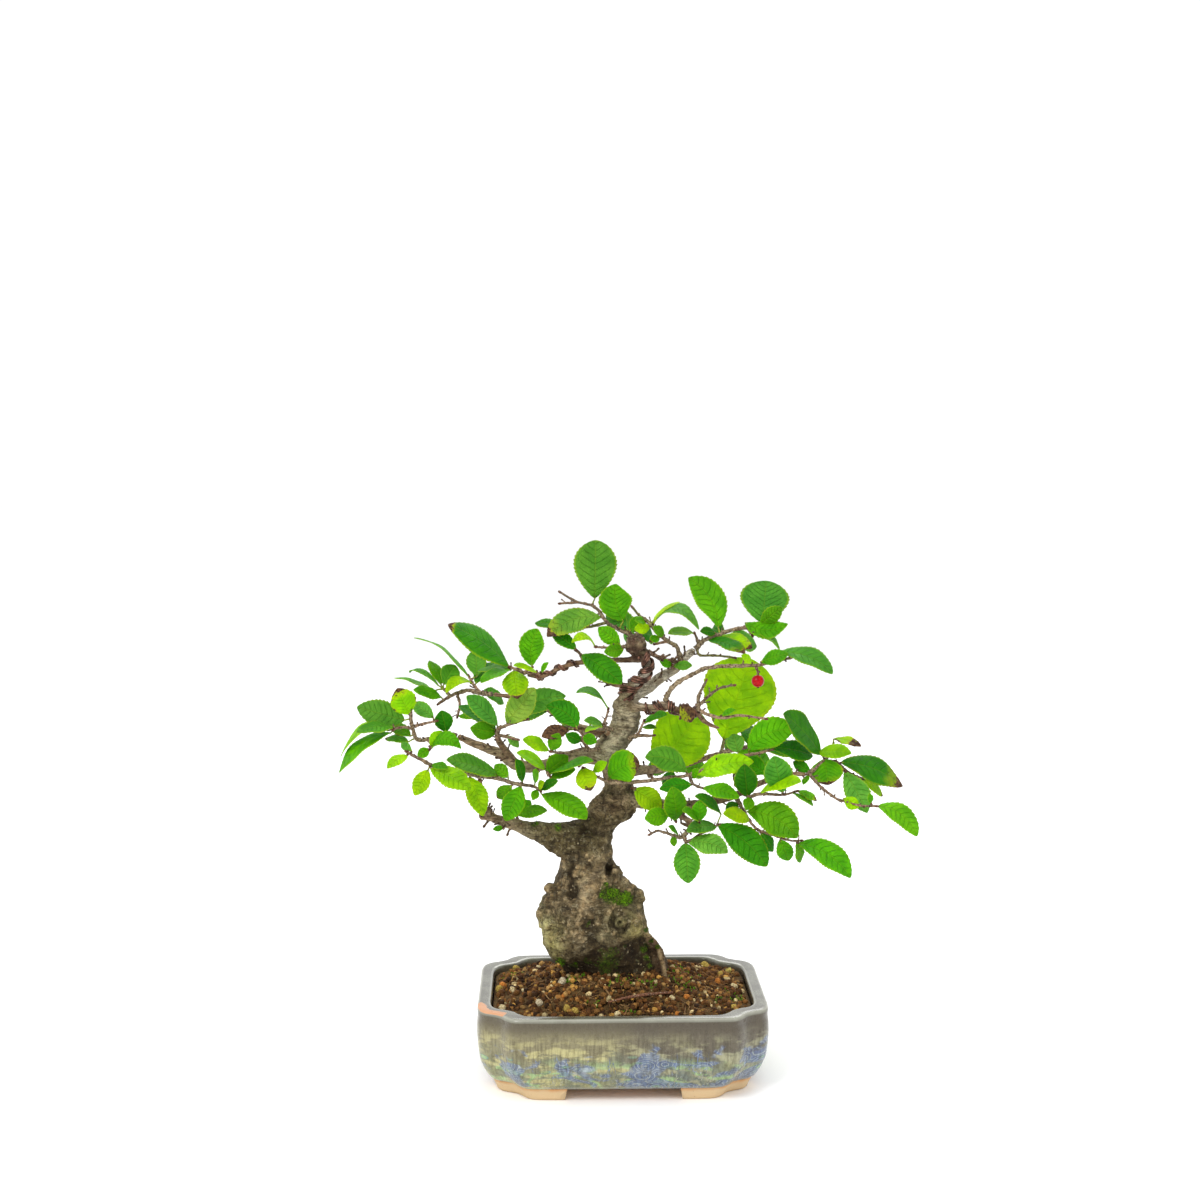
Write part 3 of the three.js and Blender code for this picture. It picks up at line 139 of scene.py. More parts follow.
# Leafy sprays. A twig lists u, v, depth and radius. A leaf lists u and v of its base, u and v of its
# tip, the
# width that shows, how far its tip lies behind its base, its tone, and for a bent leaf the point it
# bends through.
SPRAYS = {
    "spray_far_left": {"twigs": [
        [[-71.5, 148.9, 8, 1.4], [-77, 149.5, 6, 1.3], [-84, 147.5, 3, 1.1], [-88.5, 147.5, 1, 1],
         [-90.3, 152, -1, 0.9], [-91.3, 157, -3, 0.9], [-91, 162, -4, 0.7], [-90.3, 166, -5, 0.5]],
        [[-90.3, 152, -1, 0.8], [-94, 153, -4, 0.7], [-99, 152, -8, 0.5]],
        [[-90.5, 153, -1, 0.7], [-86, 154.3, 0, 0.6], [-80.5, 155.5, 2, 0.5]],
        [[-84, 147.5, 3, 0.9], [-82, 145, 0, 0.8], [-83, 143.3, -2, 0.6]],
    ], "leaves": [
        [-94, 156, -114.5, 161.8, 11.4, -1, "m"], [-99, 153, -114.7, 150.7, 4.5, -10, "m"],
        [-101, 151.5, -121.9, 140, 3.4, 3, "y", [-112.8, 152.2]],
        [-100, 150.5, -122.6, 133, 4.4, -5, "g", [-113.2, 145]], [-91.8, 158.5, -97, 170, 11, -5, "y"],
        [-91.5, 149, -99.2, 153.5, 5.5, 8, "g"], [-92.5, 146.5, -102.5, 148, 3.5, 5, "g"],
        [-81.5, 157, -90.3, 163.5, 6, 6, "t"], [-83, 144, -78, 151.2, 6, 3, "y"],
        [-82.5, 143.5, -69.6, 143.4, 6, -6, "g", [-77, 148]], [-83.5, 143.3, -88.5, 140, 4.5, -4, "g"],
        [-76, 150.8, -78, 160.2, 8, -3, "d"],
    ]},
    "spray_low_left": {"twigs": [
        [[-61.5, 131.2, -13, 1.3], [-66, 132.3, -18, 1.2], [-74, 133, -24, 1.1], [-82, 136, -28, 0.9],
         [-89, 139.6, -31, 0.8], [-93, 142, -33, 0.6]],
        [[-62, 131.5, -13.5, 1.2], [-55, 130.4, -12, 1], [-50, 129, -12, 0.9], [-45, 127.5, -12, 0.9],
         [-38, 126.5, -11, 0.7], [-35.5, 124.8, -11, 0.6]],
    ], "leaves": [
        [-93, 140.5, -101.7, 134.8, 4.5, -8, "y"], [-91, 142.4, -95.5, 146, 3.5, 4, "t"],
        [-82.5, 136.3, -75.5, 134.7, 3.5, -5, "g"], [-84, 134, -90, 122.8, 7, -6, "y"],
        [-83, 134.8, -65.5, 125.2, 8.5, -9, "y"], [-66, 131, -60.2, 113.5, 8.5, -7, "y"],
        [-54, 131.5, -76, 138.4, 8, -6, "m", [-64.8, 136]], [-43.5, 126.5, -50.5, 111.3, 9.5, -7, "g"],
        [-47.5, 127, -54, 121.5, 6, 4, "g"], [-49, 130.5, -54.9, 136.2, 6, 3, "g"],
        [-43, 128.5, -45.8, 138.5, 4.5, -5, "d"], [-37.5, 128, -36, 134.5, 3, -5, "g"],
        [-35, 125, -27.5, 129, 4, -5, "d"], [-34.5, 123, -15, 111.9, 9.4, -12, "g", [-24, 118.8]],
        [-36, 126, -33.5, 128.5, 3, -6, "y"], [-36.5, 125, -38.5, 120.5, 3.5, -5, "g"],
    ]},
    "spray_low_stub": {"twigs": [
        [[-45, 110.5, -5, 1], [-45.5, 113.5, -4, 0.6]],
    ], "leaves": [
        [-45.3, 113.8, -32.2, 115.8, 5, -4, "g"], [-45.3, 114, -39.5, 120.3, 6, 5, "g"],
    ]},
    "leaf_low_left": {"twigs": [
        [[-50.8, 110, -6.5, 0.8], [-51.3, 108.3, -9, 0.6]],
    ], "leaves": [
        [-51.5, 108.3, -56, 107.6, 2.6, -2, "g"],
    ]},
    "spray_left_mid": {"twigs": [
        [[-54, 149.5, 0, 1.3], [-53.3, 152, -3, 1], [-51, 153, -5, 0.8], [-46, 154.8, -7, 0.7],
         [-41, 156, -8, 0.5]],
        [[-54, 149.5, 0, 1], [-49, 148.2, -5, 0.7], [-45, 147.3, -8, 0.6]],
    ], "leaves": [
        [-53.8, 153.5, -67, 166.5, 8, -3, "t"], [-54.5, 151.5, -70.5, 162, 6, 4, "d"],
        [-54.5, 150.3, -65.5, 152.5, 8, -8, "g"], [-49.5, 149, -44.5, 143.8, 3.5, -3, "t"],
        [-49.5, 154.5, -37.5, 170, 11, -8, "o"], [-44.5, 158, -24, 166.3, 10, 6, "t", [-35.2, 164.4]],
    ]},
    "spray_left_upper": {"twigs": [
        [[-56, 167.4, 33, 1.2], [-61, 167.8, 34, 1.1], [-66, 169, 34, 1], [-74, 166.5, 35, 0.9],
         [-79, 163.3, 35, 0.7]],
        [[-61, 167.8, 34, 0.9], [-64, 171.5, 36, 0.7], [-66, 175, 38, 0.6]],
        [[-74, 166.5, 35, 0.8], [-77.5, 170, 38, 0.6]],
        [[-71, 167.5, 34.5, 0.7], [-70, 162, 30, 0.6], [-71, 157.8, 28, 0.5]],
    ], "leaves": [
        [-66.5, 175.5, -89.5, 192, 2.4, 12, "g", [-77.5, 187.3]], [-62.5, 175, -63, 187, 9, 6, "m"],
        [-78, 171.5, -83, 182, 5, 8, "g"], [-77, 171.5, -72, 180, 9, 6, "m"],
        [-79, 171, -91.5, 176.8, 2.5, 4, "g", [-87, 177.5]], [-82, 168.5, -98.3, 174.5, 1.8, 6, "g"],
        [-78, 166, -90, 169.3, 5, -6, "g"], [-64.5, 172, -76, 168, 4, -8, "y", [-70.5, 173.8]],
        [-70.5, 157.8, -65, 156.5, 2.5, -4, "g"], [-60, 168.5, -51, 163.5, 5, 10, "m"],
        [-63, 172, -55.5, 181, 6, 12, "d"],
    ]},
    "spray_back_left": {"twigs": [
        [[-31, 160.5, 30, 1], [-30, 160.5, 34, 0.8], [-29, 160, 38, 0.5]],
    ], "leaves": [
        [-28.5, 159.5, -21.5, 153.5, 7, 12, "m"], [-30, 161, -40, 166.5, 9, 14, "d"],
        [-28.5, 160.5, -28.5, 165.5, 8, 16, "g"], [-31, 160.5, -44, 157.5, 7, 10, "m"],
    ]},
    "spray_wired_left": {"twigs": [
        [[-41.8, 176, -4.3, 1.1], [-44, 177.5, -5, 0.9], [-48, 179, -6, 0.6]],
        [[-42.5, 176.5, -4.5, 0.8], [-39, 178.6, -6, 0.6]],
        [[-42.5, 176.5, -4.5, 0.8], [-38, 176.6, -8, 0.6], [-35, 176.3, -9, 0.5]],
    ], "leaves": [
        [-48.5, 179.5, -74.8, 197.8, 10, -8, "d"], [-38.5, 179.5, -36, 195.7, 10, -3, "g", [-38.9, 188]],
        [-36.5, 176.8, -46.5, 179.8, 2.5, -7, "y"], [-46.5, 177.5, -45, 165.2, 11, -12, "y"],
        [-48.5, 178.6, -62, 177.5, 3, 8, "m"], [-48, 178, -60.8, 172.3, 4, -9, "g"],
        [-34.5, 176.8, -31.5, 181, 2, -3, "g"],
    ]},
    "spray_trunk_left": {"twigs": [
        [[-9.5, 143.3, -2, 1.2], [-13, 142.5, -7, 0.9], [-17, 143, -10, 0.8], [-24, 141.3, -13, 0.7],
         [-30, 141.8, -15, 0.6]],
        [[-13, 142.5, -7, 0.8], [-16.5, 146, -10, 0.6], [-16.8, 149.5, -11, 0.6],
         [-19.5, 151.5, -12, 0.5]],
    ], "leaves": [
        [-30.5, 142.5, -27, 150, 6, -3, "g"], [-31.5, 142.3, -42.7, 147.3, 5.5, -6, "y"],
        [-17.5, 146.5, -24, 149.5, 5, -6, "d"], [-16.5, 148.5, -10.5, 146, 5, -5, "g"],
        [-22, 151.8, -34.5, 148.5, 6, -5, "x"], [-19.3, 152.3, -32.5, 162, 10, 3, "d", [-24, 159]],
    ]},
    "spray_trunk_upper": {"twigs": [
        [[-3.5, 151.5, -2, 1], [-7.5, 152.8, -6, 0.8], [-6.5, 156.5, -8, 0.6], [-5.5, 160, -8, 0.5]],
    ], "leaves": [
        [-8, 153.8, -16, 155.5, 3.5, -5, "m"], [-8, 152.8, -15.5, 150.5, 2, -6, "y"],
        [-5.5, 160.8, -19.3, 167.7, 2.7, -4, "m", [-12, 168]],
    ]},
    "spray_under_left": {"twigs": [
        [[-31.5, 135.3, 0, 1], [-32, 132.5, -6, 0.8], [-31, 131, -9, 0.7]],
    ], "leaves": [
        [-33, 134, -45.4, 141.5, 5, -7, "y"], [-32.5, 132.8, -23, 140, 9, -2, "g"],
        [-31, 132, -12, 137.6, 3.8, -12, "g"], [-30.5, 130.5, -19.8, 134, 5, -4, "g"],
    ]},
    "spray_long_shoot": {"twigs": [
        [[-6.5, 128.3, -3, 1.1], [-4, 128.1, -9.5, 1], [0, 128, -10.5, 1], [10, 128.6, -12, 0.9],
         [20, 130, -13, 0.9], [30, 131.3, -14, 0.8], [38, 134.5, -13, 0.8], [43, 137.5, -12, 0.7],
         [52, 139.5, -11, 0.7], [60, 140.8, -10, 0.7], [66, 142.3, -9, 0.6]],
        [[-5, 128.2, -9, 0.8], [-11, 131, -11, 0.7], [-16, 134.5, -13, 0.6]],
        [[30, 131.3, -14, 0.8], [31.5, 127.5, -17, 0.7], [37, 125, -19, 0.6], [46, 122.8, -21, 0.5]],
        [[54, 140, -11, 0.7], [52, 136, -13, 0.6], [49.5, 131, -16, 0.5], [50, 127.5, -17, 0.4]],
    ], "leaves": [
        [-17, 134.5, -13, 124.5, 9, -5, "y"], [-12, 133, -6, 137, 4, -5, "y"],
        [-5, 130, 8.2, 136.5, 14, -5, "g", [0.8, 135]], [51.5, 141, 49, 149.3, 8, 3, "t"],
        [56, 142, 75.8, 151, 11.5, -2, "g", [64.4, 149.5]], [66.5, 143, 84, 139.5, 8, 7, "d"],
        [33, 131.5, 58, 137, 9, -3, "y"], [29, 132.5, 10.7, 139, 10, -7, "m", [20.8, 138.5]],
        [31, 127, 17, 125, 6, -2, "d"], [36, 125.5, 52, 121, 6, -6, "g"],
        [31.5, 130, 34, 134, 3, -5, "g"],
    ]},
    "spray_right_inner": {"twigs": [
        [[9.5, 121, -4, 1], [8, 123.5, -8, 0.7], [5.5, 125.2, -9, 0.6]],
    ], "leaves": [
        [6, 125.2, 18, 117, 9.5, -1, "y"],
    ]},
    "spray_right_inner_low": {"twigs": [
        [[20.5, 116.2, -9.7, 1], [22, 114, -14, 0.8], [23.8, 111, -17, 0.6]],
    ], "leaves": [
        [21, 113.8, 10.5, 112, 8, -5, "g"], [24.2, 111, 22.5, 126, 9.3, -10, "g"],
    ]},
    "spray_right_low": {"twigs": [
        [[28.8, 105.4, -23.3, 1.2], [26.5, 103.5, -25, 1], [20, 105.5, -27, 0.7], [16, 106.5, -28, 0.6],
         [13, 105, -29, 0.5]],
        [[27.5, 104, -24.5, 1], [28.8, 101.8, -25, 0.8], [37, 106, -22, 0.7], [43, 109, -20, 0.6]],
        [[37, 106, -22, 0.6], [34.5, 110, -24, 0.5]],
    ], "leaves": [
        [25, 105, 21, 108.5, 2, -4, "g"], [23, 104, 23.5, 99.5, 3, -4, "g"],
        [28.5, 101, 29.8, 83, 10.5, -8, "m"], [29.5, 101.5, 47, 96.5, 8.4, -11, "l", [38.7, 100.9]],
        [42.5, 109, 64.3, 90.3, 13, -5, "d", [55.2, 101]], [42, 108.5, 29, 106, 5.5, -9, "m"],
        [44, 113.8, 32.5, 121.8, 4.5, -4, "d", [39, 119.3]], [34.5, 110.8, 34.5, 120, 6.5, -1, "g"],
        [34, 110.8, 27, 115.5, 3, -9, "g"],
    ]},
    "spray_right_mid": {"twigs": [
        [[50.5, 121, -13.5, 1.2], [53, 117, -17, 0.9], [55.5, 112.5, -19, 0.8], [60, 107, -20, 0.7],
         [66, 104.7, -21, 0.7], [70, 103.2, -22, 0.6], [75, 101.8, -23, 0.5], [79, 101.8, -24, 0.5]],
    ], "leaves": [
        [51.5, 118.5, 46, 115.8, 4, -6, "d"], [56.5, 111.5, 45, 114, 6, -8, "y"],
        [55.5, 114.8, 77.6, 103, 14, -14, "g", [68, 111.9]], [61.5, 105.5, 67, 97, 5, 4, "d"],
        [70, 102.3, 74, 93, 7, 4, "g"], [77.5, 101.3, 79, 92, 4, 4, "g"],
        [78, 100.5, 101.3, 85, 10, -9, "g", [91.2, 95.6]],
    ]},
    "spray_right_knee": {"twigs": [
        [[56, 124.5, -13, 1.1], [56, 121.5, -17, 0.9], [61, 122.8, -21, 0.8], [67, 122.5, -23, 0.7],
         [71.5, 122.3, -24, 0.6], [77, 123.8, -25, 0.5]],
    ], "leaves": [
        [55.5, 121.8, 54, 136, 10, -6, "d"], [71, 123.3, 67, 139.5, 12, -5, "t"],
        [57, 121, 55, 115.5, 5, -7, "g"], [61.5, 123.5, 79, 128, 5, -14, "y"],
        [77.5, 124, 86, 119.5, 3, -3, "g"], [75.5, 123, 84.3, 117.3, 2.2, -6, "g"],
    ]},
    "leaf_right_knee": {"twigs": [
        [[64.5, 129, -10.5, 1], [64.5, 131.5, -7, 0.6]],
    ], "leaves": [
        [64, 131.7, 54, 138.5, 8, 8, "g"],
    ]},
    "spray_far_right": {"twigs": [
        [[81.8, 131.2, -9, 1.1], [86, 134.5, -6, 0.9], [90, 138.3, -3, 0.8], [91.5, 140, -2, 0.7],
         [93, 144.5, 0, 0.5]],
        [[82.5, 131.7, -8.5, 0.9], [86, 127.5, -13, 0.7], [90, 123.8, -17, 0.7], [95, 120.3, -20, 0.6],
         [99, 119, -22, 0.6], [105, 117.3, -25, 0.5], [112, 117, -28, 0.5]],
        [[89.2, 137.6, -3.2, 0.75], [95, 136.5, -4, 0.6], [98, 133, -6, 0.5]],
        [[94.3, 136.7, -3.9, 0.6], [101, 131.5, 0, 0.5], [106, 129.2, 3, 0.5]],
    ], "leaves": [
        [86.5, 141, 101, 140.5, 6, -9, "y"], [93.3, 147, 105.2, 143.6, 3.6, -6, "y"],
        [96.5, 136.5, 123.8, 125.8, 10.6, 4, "d", [111, 133.6]], [89.2, 138.2, 91, 126.5, 14.5, -7, "g"],
        [98, 132.5, 108.3, 114, 10, -10, "t"], [106.3, 128.8, 115, 121.5, 4, 3, "y"],
        [113, 117, 130.3, 103.4, 8.6, -7, "g", [123.6, 113]], [110, 118.5, 109, 122.5, 2.5, -3, "g"],
        [98, 120.6, 104.5, 116.4, 5.5, -3, "y"], [87.6, 140, 71, 158, 8.8, -12, "d", [80.4, 149.8]],
        [83, 132.5, 75.5, 137, 5, 3, "d"], [82.5, 130.8, 80, 126.8, 2.5, -4, "g"],
    ]},
    "spray_back_right": {"twigs": [
        [[43.5, 140.8, 36.5, 1.4], [50, 142.5, 39, 1.1], [56, 144, 41, 0.8], [62, 146, 43, 0.6]],
        [[44, 141, 36.7, 0.9], [45, 146.5, 38, 0.7]],
    ], "leaves": [
        [44.7, 147.2, 56.3, 182.5, 29.5, 8, "y"], [60, 146, 73, 152, 9, 10, "m"],
        [57, 143.5, 80, 141.5, 8, 14, "d"], [51, 142, 66, 133.5, 10, 12, "g"],
        [46, 141.5, 52, 148, 8, 15, "m"], [56, 144.5, 57, 153, 9, 14, "d"],
    ]},
    "spray_back_inner": {"twigs": [
        [[12, 134.5, 18, 1], [12.5, 130.5, 21, 0.8], [14.3, 132.5, 25, 0.7]],
    ], "leaves": [
        [14.3, 133.3, 35, 158.4, 24, 7, "y"],
    ]},
    "spray_back_middle": {"twigs": [
        [[26, 135.8, 29.5, 1], [25, 135, 34, 0.8], [22, 134, 39, 0.6]],
    ], "leaves": [
        [25.5, 135.5, 38, 133, 9, 12, "g"], [21.5, 134, 12, 135.5, 8, 12, "m"],
        [22.5, 133.5, 22, 123.5, 8, 12, "d"], [24, 136, 30, 146, 10, 16, "g"],
    ]},
    "spray_crown_top": {"twigs": [
        [[6, 189, -1, 1.5], [3.5, 193, -1, 1], [0, 195, 0, 0.9], [-6, 198.5, 1, 0.8],
         [-9.5, 203.5, 2, 0.8], [-13, 206, 3, 0.7], [-19, 207.5, 4, 0.6], [-26, 211.5, 6, 0.5]],
        [[-18.5, 207.3, 4, 0.6], [-26, 206.8, 2, 0.5]],
        [[-6, 198.5, 1, 0.7], [-14, 196.5, 6, 0.6], [-24, 196, 9, 0.5]],
    ], "leaves": [
        [-11.3, 209, -11, 234.2, 18, 3, "m"], [1, 199, -2, 215.2, 14.3, -2, "g", [-2.3, 207]],
        [3, 195.3, -6, 203, 9, 8, "t"], [4, 194.8, 8, 201, 5, 4, "g"],
        [-8.5, 200.8, -32, 192.4, 10.4, -7, "l", [-21.3, 199.5]], [-24.5, 196, -37.2, 198.3, 4.5, 5, "d"],
    ]},
    "spray_crown_back": {"twigs": [
        [[6.8, 190.5, 2.5, 1.3], [7.5, 191.5, 8, 1], [8, 192.5, 14, 0.8], [7, 194, 22, 0.6]],
    ], "leaves": [
        [6.5, 194.5, -3, 202, 9, 12, "m"], [8, 193.5, 14, 192, 7, 14, "d"],
        [7, 193.5, 2, 190.5, 7, 12, "g"],
    ]},
    "spray_crown_front": {"twigs": [
        [[-16.5, 182.6, -2.5, 1], [-17.5, 184.5, -4, 0.7], [-19, 186.2, -5, 0.6]],
    ], "leaves": [
        [-17, 184.5, 0.3, 171.6, 10.5, -12, "d"], [-19.5, 186.8, -30, 194, 5.5, 4, "d"],
    ]},
    "spray_knob": {"twigs": [
        [[2.5, 188, -2.5, 1.1], [-1, 187.8, -5, 0.7], [-6, 187.5, -8, 0.6], [-10.5, 187.7, -10, 0.5]],
    ], "leaves": [
        [-11.3, 188.3, -21.3, 189.8, 3, -5, "y", [-15.5, 192.5]], [-0.5, 189, -9.8, 196.3, 7, -3, "g"],
        [1, 186.8, -7.2, 185.6, 6, -7, "g"],
    ]},
    "spray_crown_right": {"twigs": [
        [[26, 182, 8, 1.3], [24, 188, 5, 1], [20, 190.5, 3, 1], [17, 193, 1, 0.9], [14, 196, 0, 0.8],
         [11, 199.5, -1, 0.8], [8, 201.5, -1, 0.7], [5, 205, -4, 0.5]],
        [[20, 190.3, 3, 0.8], [15, 189, -1, 0.5]],
    ], "leaves": [
        [15, 199.6, 33.8, 195.3, 3.8, -6, "m", [25, 204.5]],
        [14, 198, 25.5, 207.3, 1.8, 4, "y", [18.5, 204]], [18.5, 192.5, 14, 196.5, 4, -6, "g"],
        [12.5, 196.5, 5.8, 195.5, 5, -5, "y"], [10.5, 198.5, 6, 199.3, 3, -6, "g"],
        [16.5, 191.8, 12.5, 190, 3.5, -6, "g"],
    ]},
    "spray_upper_right": {"twigs": [
        [[32.3, 186.8, 10, 1.5], [36, 190.5, 10, 1.1], [42, 193, 11, 1], [50, 195.5, 12, 0.9],
         [54, 196, 12, 0.8], [59, 196.5, 13, 0.6]],
        [[55, 196, 12, 0.7], [57, 192.8, 10, 0.5]], [[34, 188.7, 10, 0.9], [32.2, 193.2, 8, 0.5]],
        [[42, 193, 11, 0.8], [44, 192, 20, 0.7], [46, 192, 28, 0.5]],
        [[32.9, 187.2, 10, 0.8], [34, 184.3, 9, 0.6], [41, 183.9, 8, 0.6], [49.2, 182.9, 7, 0.5]],
    ], "leaves": [
        [31.5, 193.7, 20.5, 193.5, 3.5, -5, "l"], [42.3, 196, 29.2, 217.8, 11.5, 6, "g", [38.7, 208.7]],
        [61.5, 198, 63, 216.4, 20.5, 9, "m"], [60.5, 197.5, 70, 205, 7, -6, "g"],
        [54, 198.2, 72.5, 197.6, 7.4, -8, "g", [63.2, 195]],
        [57.5, 192.8, 69, 186.5, 1.6, -6, "g", [64, 192]], [43, 192.5, 57, 187, 6, -9, "y"],
        [38, 190.8, 54, 184.5, 5, -12, "d"], [41, 193.8, 34.5, 194.5, 4, -6, "d"],
        [46, 192, 59, 188, 8, 12, "m"], [45, 192.5, 40, 196, 8, 14, "d"],
    ]},
    "spray_berry": {"twigs": [
        [[19.3, 164.3, -9, 1.2], [21, 168, -11, 1.1], [24, 171.5, -12, 1.1], [30, 175, -13, 1],
         [36, 178, -14, 1], [42, 179, -15, 0.9], [50, 179.3, -16, 0.9], [58, 179.5, -17, 0.8],
         [65, 180.5, -18, 0.7], [75, 183, -19, 0.5]],
        [[58.3, 179.5, -17, 0.6], [59.4, 177.6, -18, 0.5], [59.7, 176, -18, 0.5]],
        [[68.3, 181.2, -18, 0.6], [68.5, 183.8, -18, 0.5]],
    ], "leaves": [
        [61, 181, 73, 184.5, 6, -6, "g"], [69, 184.8, 92.2, 175.6, 7.5, -8, "m", [81.8, 183.2]],
        [57, 180.5, 52.5, 184, 3, -4, "y"],
    ]},
    "twigs_right": {"twigs": [
        [[33.8, 159.6, -14.5, 1.1], [34, 166, -16, 0.8], [37, 172.5, -18, 0.5]],
        [[34, 161.5, -15, 0.8], [36, 164, -17, 0.7], [43, 169.5, -20, 0.6], [49, 170.8, -22, 0.5]],
        [[34, 160.3, -14.8, 0.9], [37, 158.3, -17, 0.8], [44, 156.5, -19, 0.7], [52, 157.5, -21, 0.6],
         [63, 156, -23, 0.5]],
    ], "leaves": [
        [44, 157.5, 50, 160, 2.5, -3, "g"],
    ]},
    "leaf_branch_right": {"twigs": [
        [[26.5, 159, -11.8, 0.9], [26, 156.8, -14, 0.6]],
    ], "leaves": [
        [26, 157, 32, 160, 6, -5, "b"],
    ]},
    "spray_trunk_right": {"twigs": [
        [[4, 147.5, -1, 1.2], [7, 148.6, -4, 0.9], [14, 148.8, -6, 0.6]],
        [[7, 148.6, -4, 0.8], [8.5, 151.5, -8, 0.6], [10, 155, -11, 0.5]],
    ], "leaves": [
        [9.5, 152.5, 15.5, 152, 2, -4, "m"], [10.8, 156, 16, 157, 2, -2, "m"],
        [10.5, 154.5, 20, 157.8, 3, -10, "d"],
    ]},
    "leaves_branch_back": {"twigs": [
        [[22.5, 178.3, 6.8, 0.9], [22.5, 179.5, 4, 0.6]],
    ], "leaves": [
        [22, 179.5, 17, 181.5, 3.5, -4, "g"], [23, 179.3, 31, 179.5, 4, -4, "m"],
    ]},
}

# The wires in the model: limb, from and to as shares of its length, turns, and the angle each starts at.
WIRES = {
    "wire_up_a": {"limb": BRANCH_UP, "from": 0.3, "to": 0.64, "turns": 2.25, "start": 0},
    "wire_up_b": {"limb": BRANCH_UP, "from": 0.3, "to": 0.64, "turns": 2.25, "start": math.pi},
    "wire_right": {"limb": BRANCH_RIGHT, "from": 0.2, "to": 0.44, "turns": 4, "start": 0.8},
    "wire_left": {"limb": WIRED_TWIG, "from": 0.5, "to": 0.95, "turns": 6, "start": 2.1},
}
WIRE_RADIUS = 0.55

BERRY_AT = (59.7, 172.6, -18)
BERRY_RADIUS = 2.7
FALLEN_TWIG = [[2, 31.5, -35, 0.8], [9, 32.6, -31.5, 0.9], [17, 33.4, -27.5, 0.8], [23, 33.8, -25, 0.6]]

# Leaves that are burnt brown at the tip or edge, by where their tip shows, and how far gone each is.
BLEMISHED = {
    (-97, 170): 1, (-99.2, 153.5): 1, (-102.5, 148): 0.8, (-90.3, 163.5): 0.7, (-54, 121.5): 0.5,
    (-36, 134.5): 0.6, (12.5, 190): 0.7, (54, 184.5): 1, (123.8, 125.8): 1, (115, 121.5): 0.7,
    (86, 119.5): 0.8, (-30, 194): 0.5, (57, 187): 0.9, (32, 160): 1.4, (-32, 192.4): 1.0,
    (-45, 165.2): 0.8, (8.2, 136.5): 1.0, (-13, 124.5): 1.0, (91, 126.5): 0.9, (105.2, 143.6): 1.3,
    (-74.8, 197.8): 0.5,
}

# Forms of the burr in the front view. Lumps: u, v, depth and radius of swellings that jut out of it.
BURR_LUMPS = [
    (-25.5, 56, -11, 8.5), (-17, 56, -13, 6.5), (1, 66, -11.5, 9.5), (-30, 81, -4, 3.4),
    (-22, 86, -7, 5.2), (4, 77, -3, 6.5), (-30, 68, -6, 7.5), (-4, 88, -5, 5.0), (-10, 118, -6, 4.2),
    (2.5, 114, -3, 3.4), (-14, 70, -13, 7.0), (-29, 57, -8, 5.5), (6.7, 188.6, -1.5, 4.1),
]
# Marks: u, v, size and rise of round bumps, or of pits where the rise is negative.
BURR_MARKS = [
    (-21, 78.8, 3.0, -2.6), (-24, 66, 2.8, -1.2), (-13.8, 64.5, 2.4, -2.0), (-12, 57, 2.2, -2.0),
    (-3.7, 78.5, 3.6, -1.8), (-0.4, 65.6, 0.9, -2.8), (1.7, 60.7, 0.8, -2.8), (-19.4, 90.2, 1.3, 1.3),
    (-25.4, 84.8, 1.6, 1.3), (-31.7, 81, 1.5, 1.2), (-24.1, 81.3, 1.2, 1.1), (-31.4, 75.9, 1.3, 1.2),
    (-31.1, 70.4, 1.2, 1.1), (-23.5, 80.3, 1.1, 0.9), (-30.5, 64.9, 1.0, 0.9), (-17.4, 70.9, 1.0, 0.9),
    (-11.4, 81.8, 1.6, 1.2), (-17, 53, 1.8, -1.2), (-6, 91, 1.8, -1.6), (-27, 96, 2.0, 0.8),
    (-9, 105, 3.0, -1.0), (-5, 100, 2.0, -1.4), (2.2, 84.6, 1.3, 1.1), (5.4, 82, 1.3, 1.1),
    (9.2, 76.2, 1.5, 1.1), (7.9, 67.9, 1.6, 1.0), (7, 62, 2.6, 1.0), (-7, 60, 2.2, -1.4),
    (-26.3, 83.1, 2.0, -1.3), (-4.5, 127, 2.6, -1.2), (1, 140, 2.4, -0.9), (-6, 143, 2.2, 0.8),
    (3, 152, 2.0, -0.9), (-2, 157, 2.0, 0.8),
]
PALE_RIB = [(-9, 101), (-8.6, 94), (-11.5, 88), (-15.5, 82), (-16.6, 76.4), (-13.5, 72.5)]
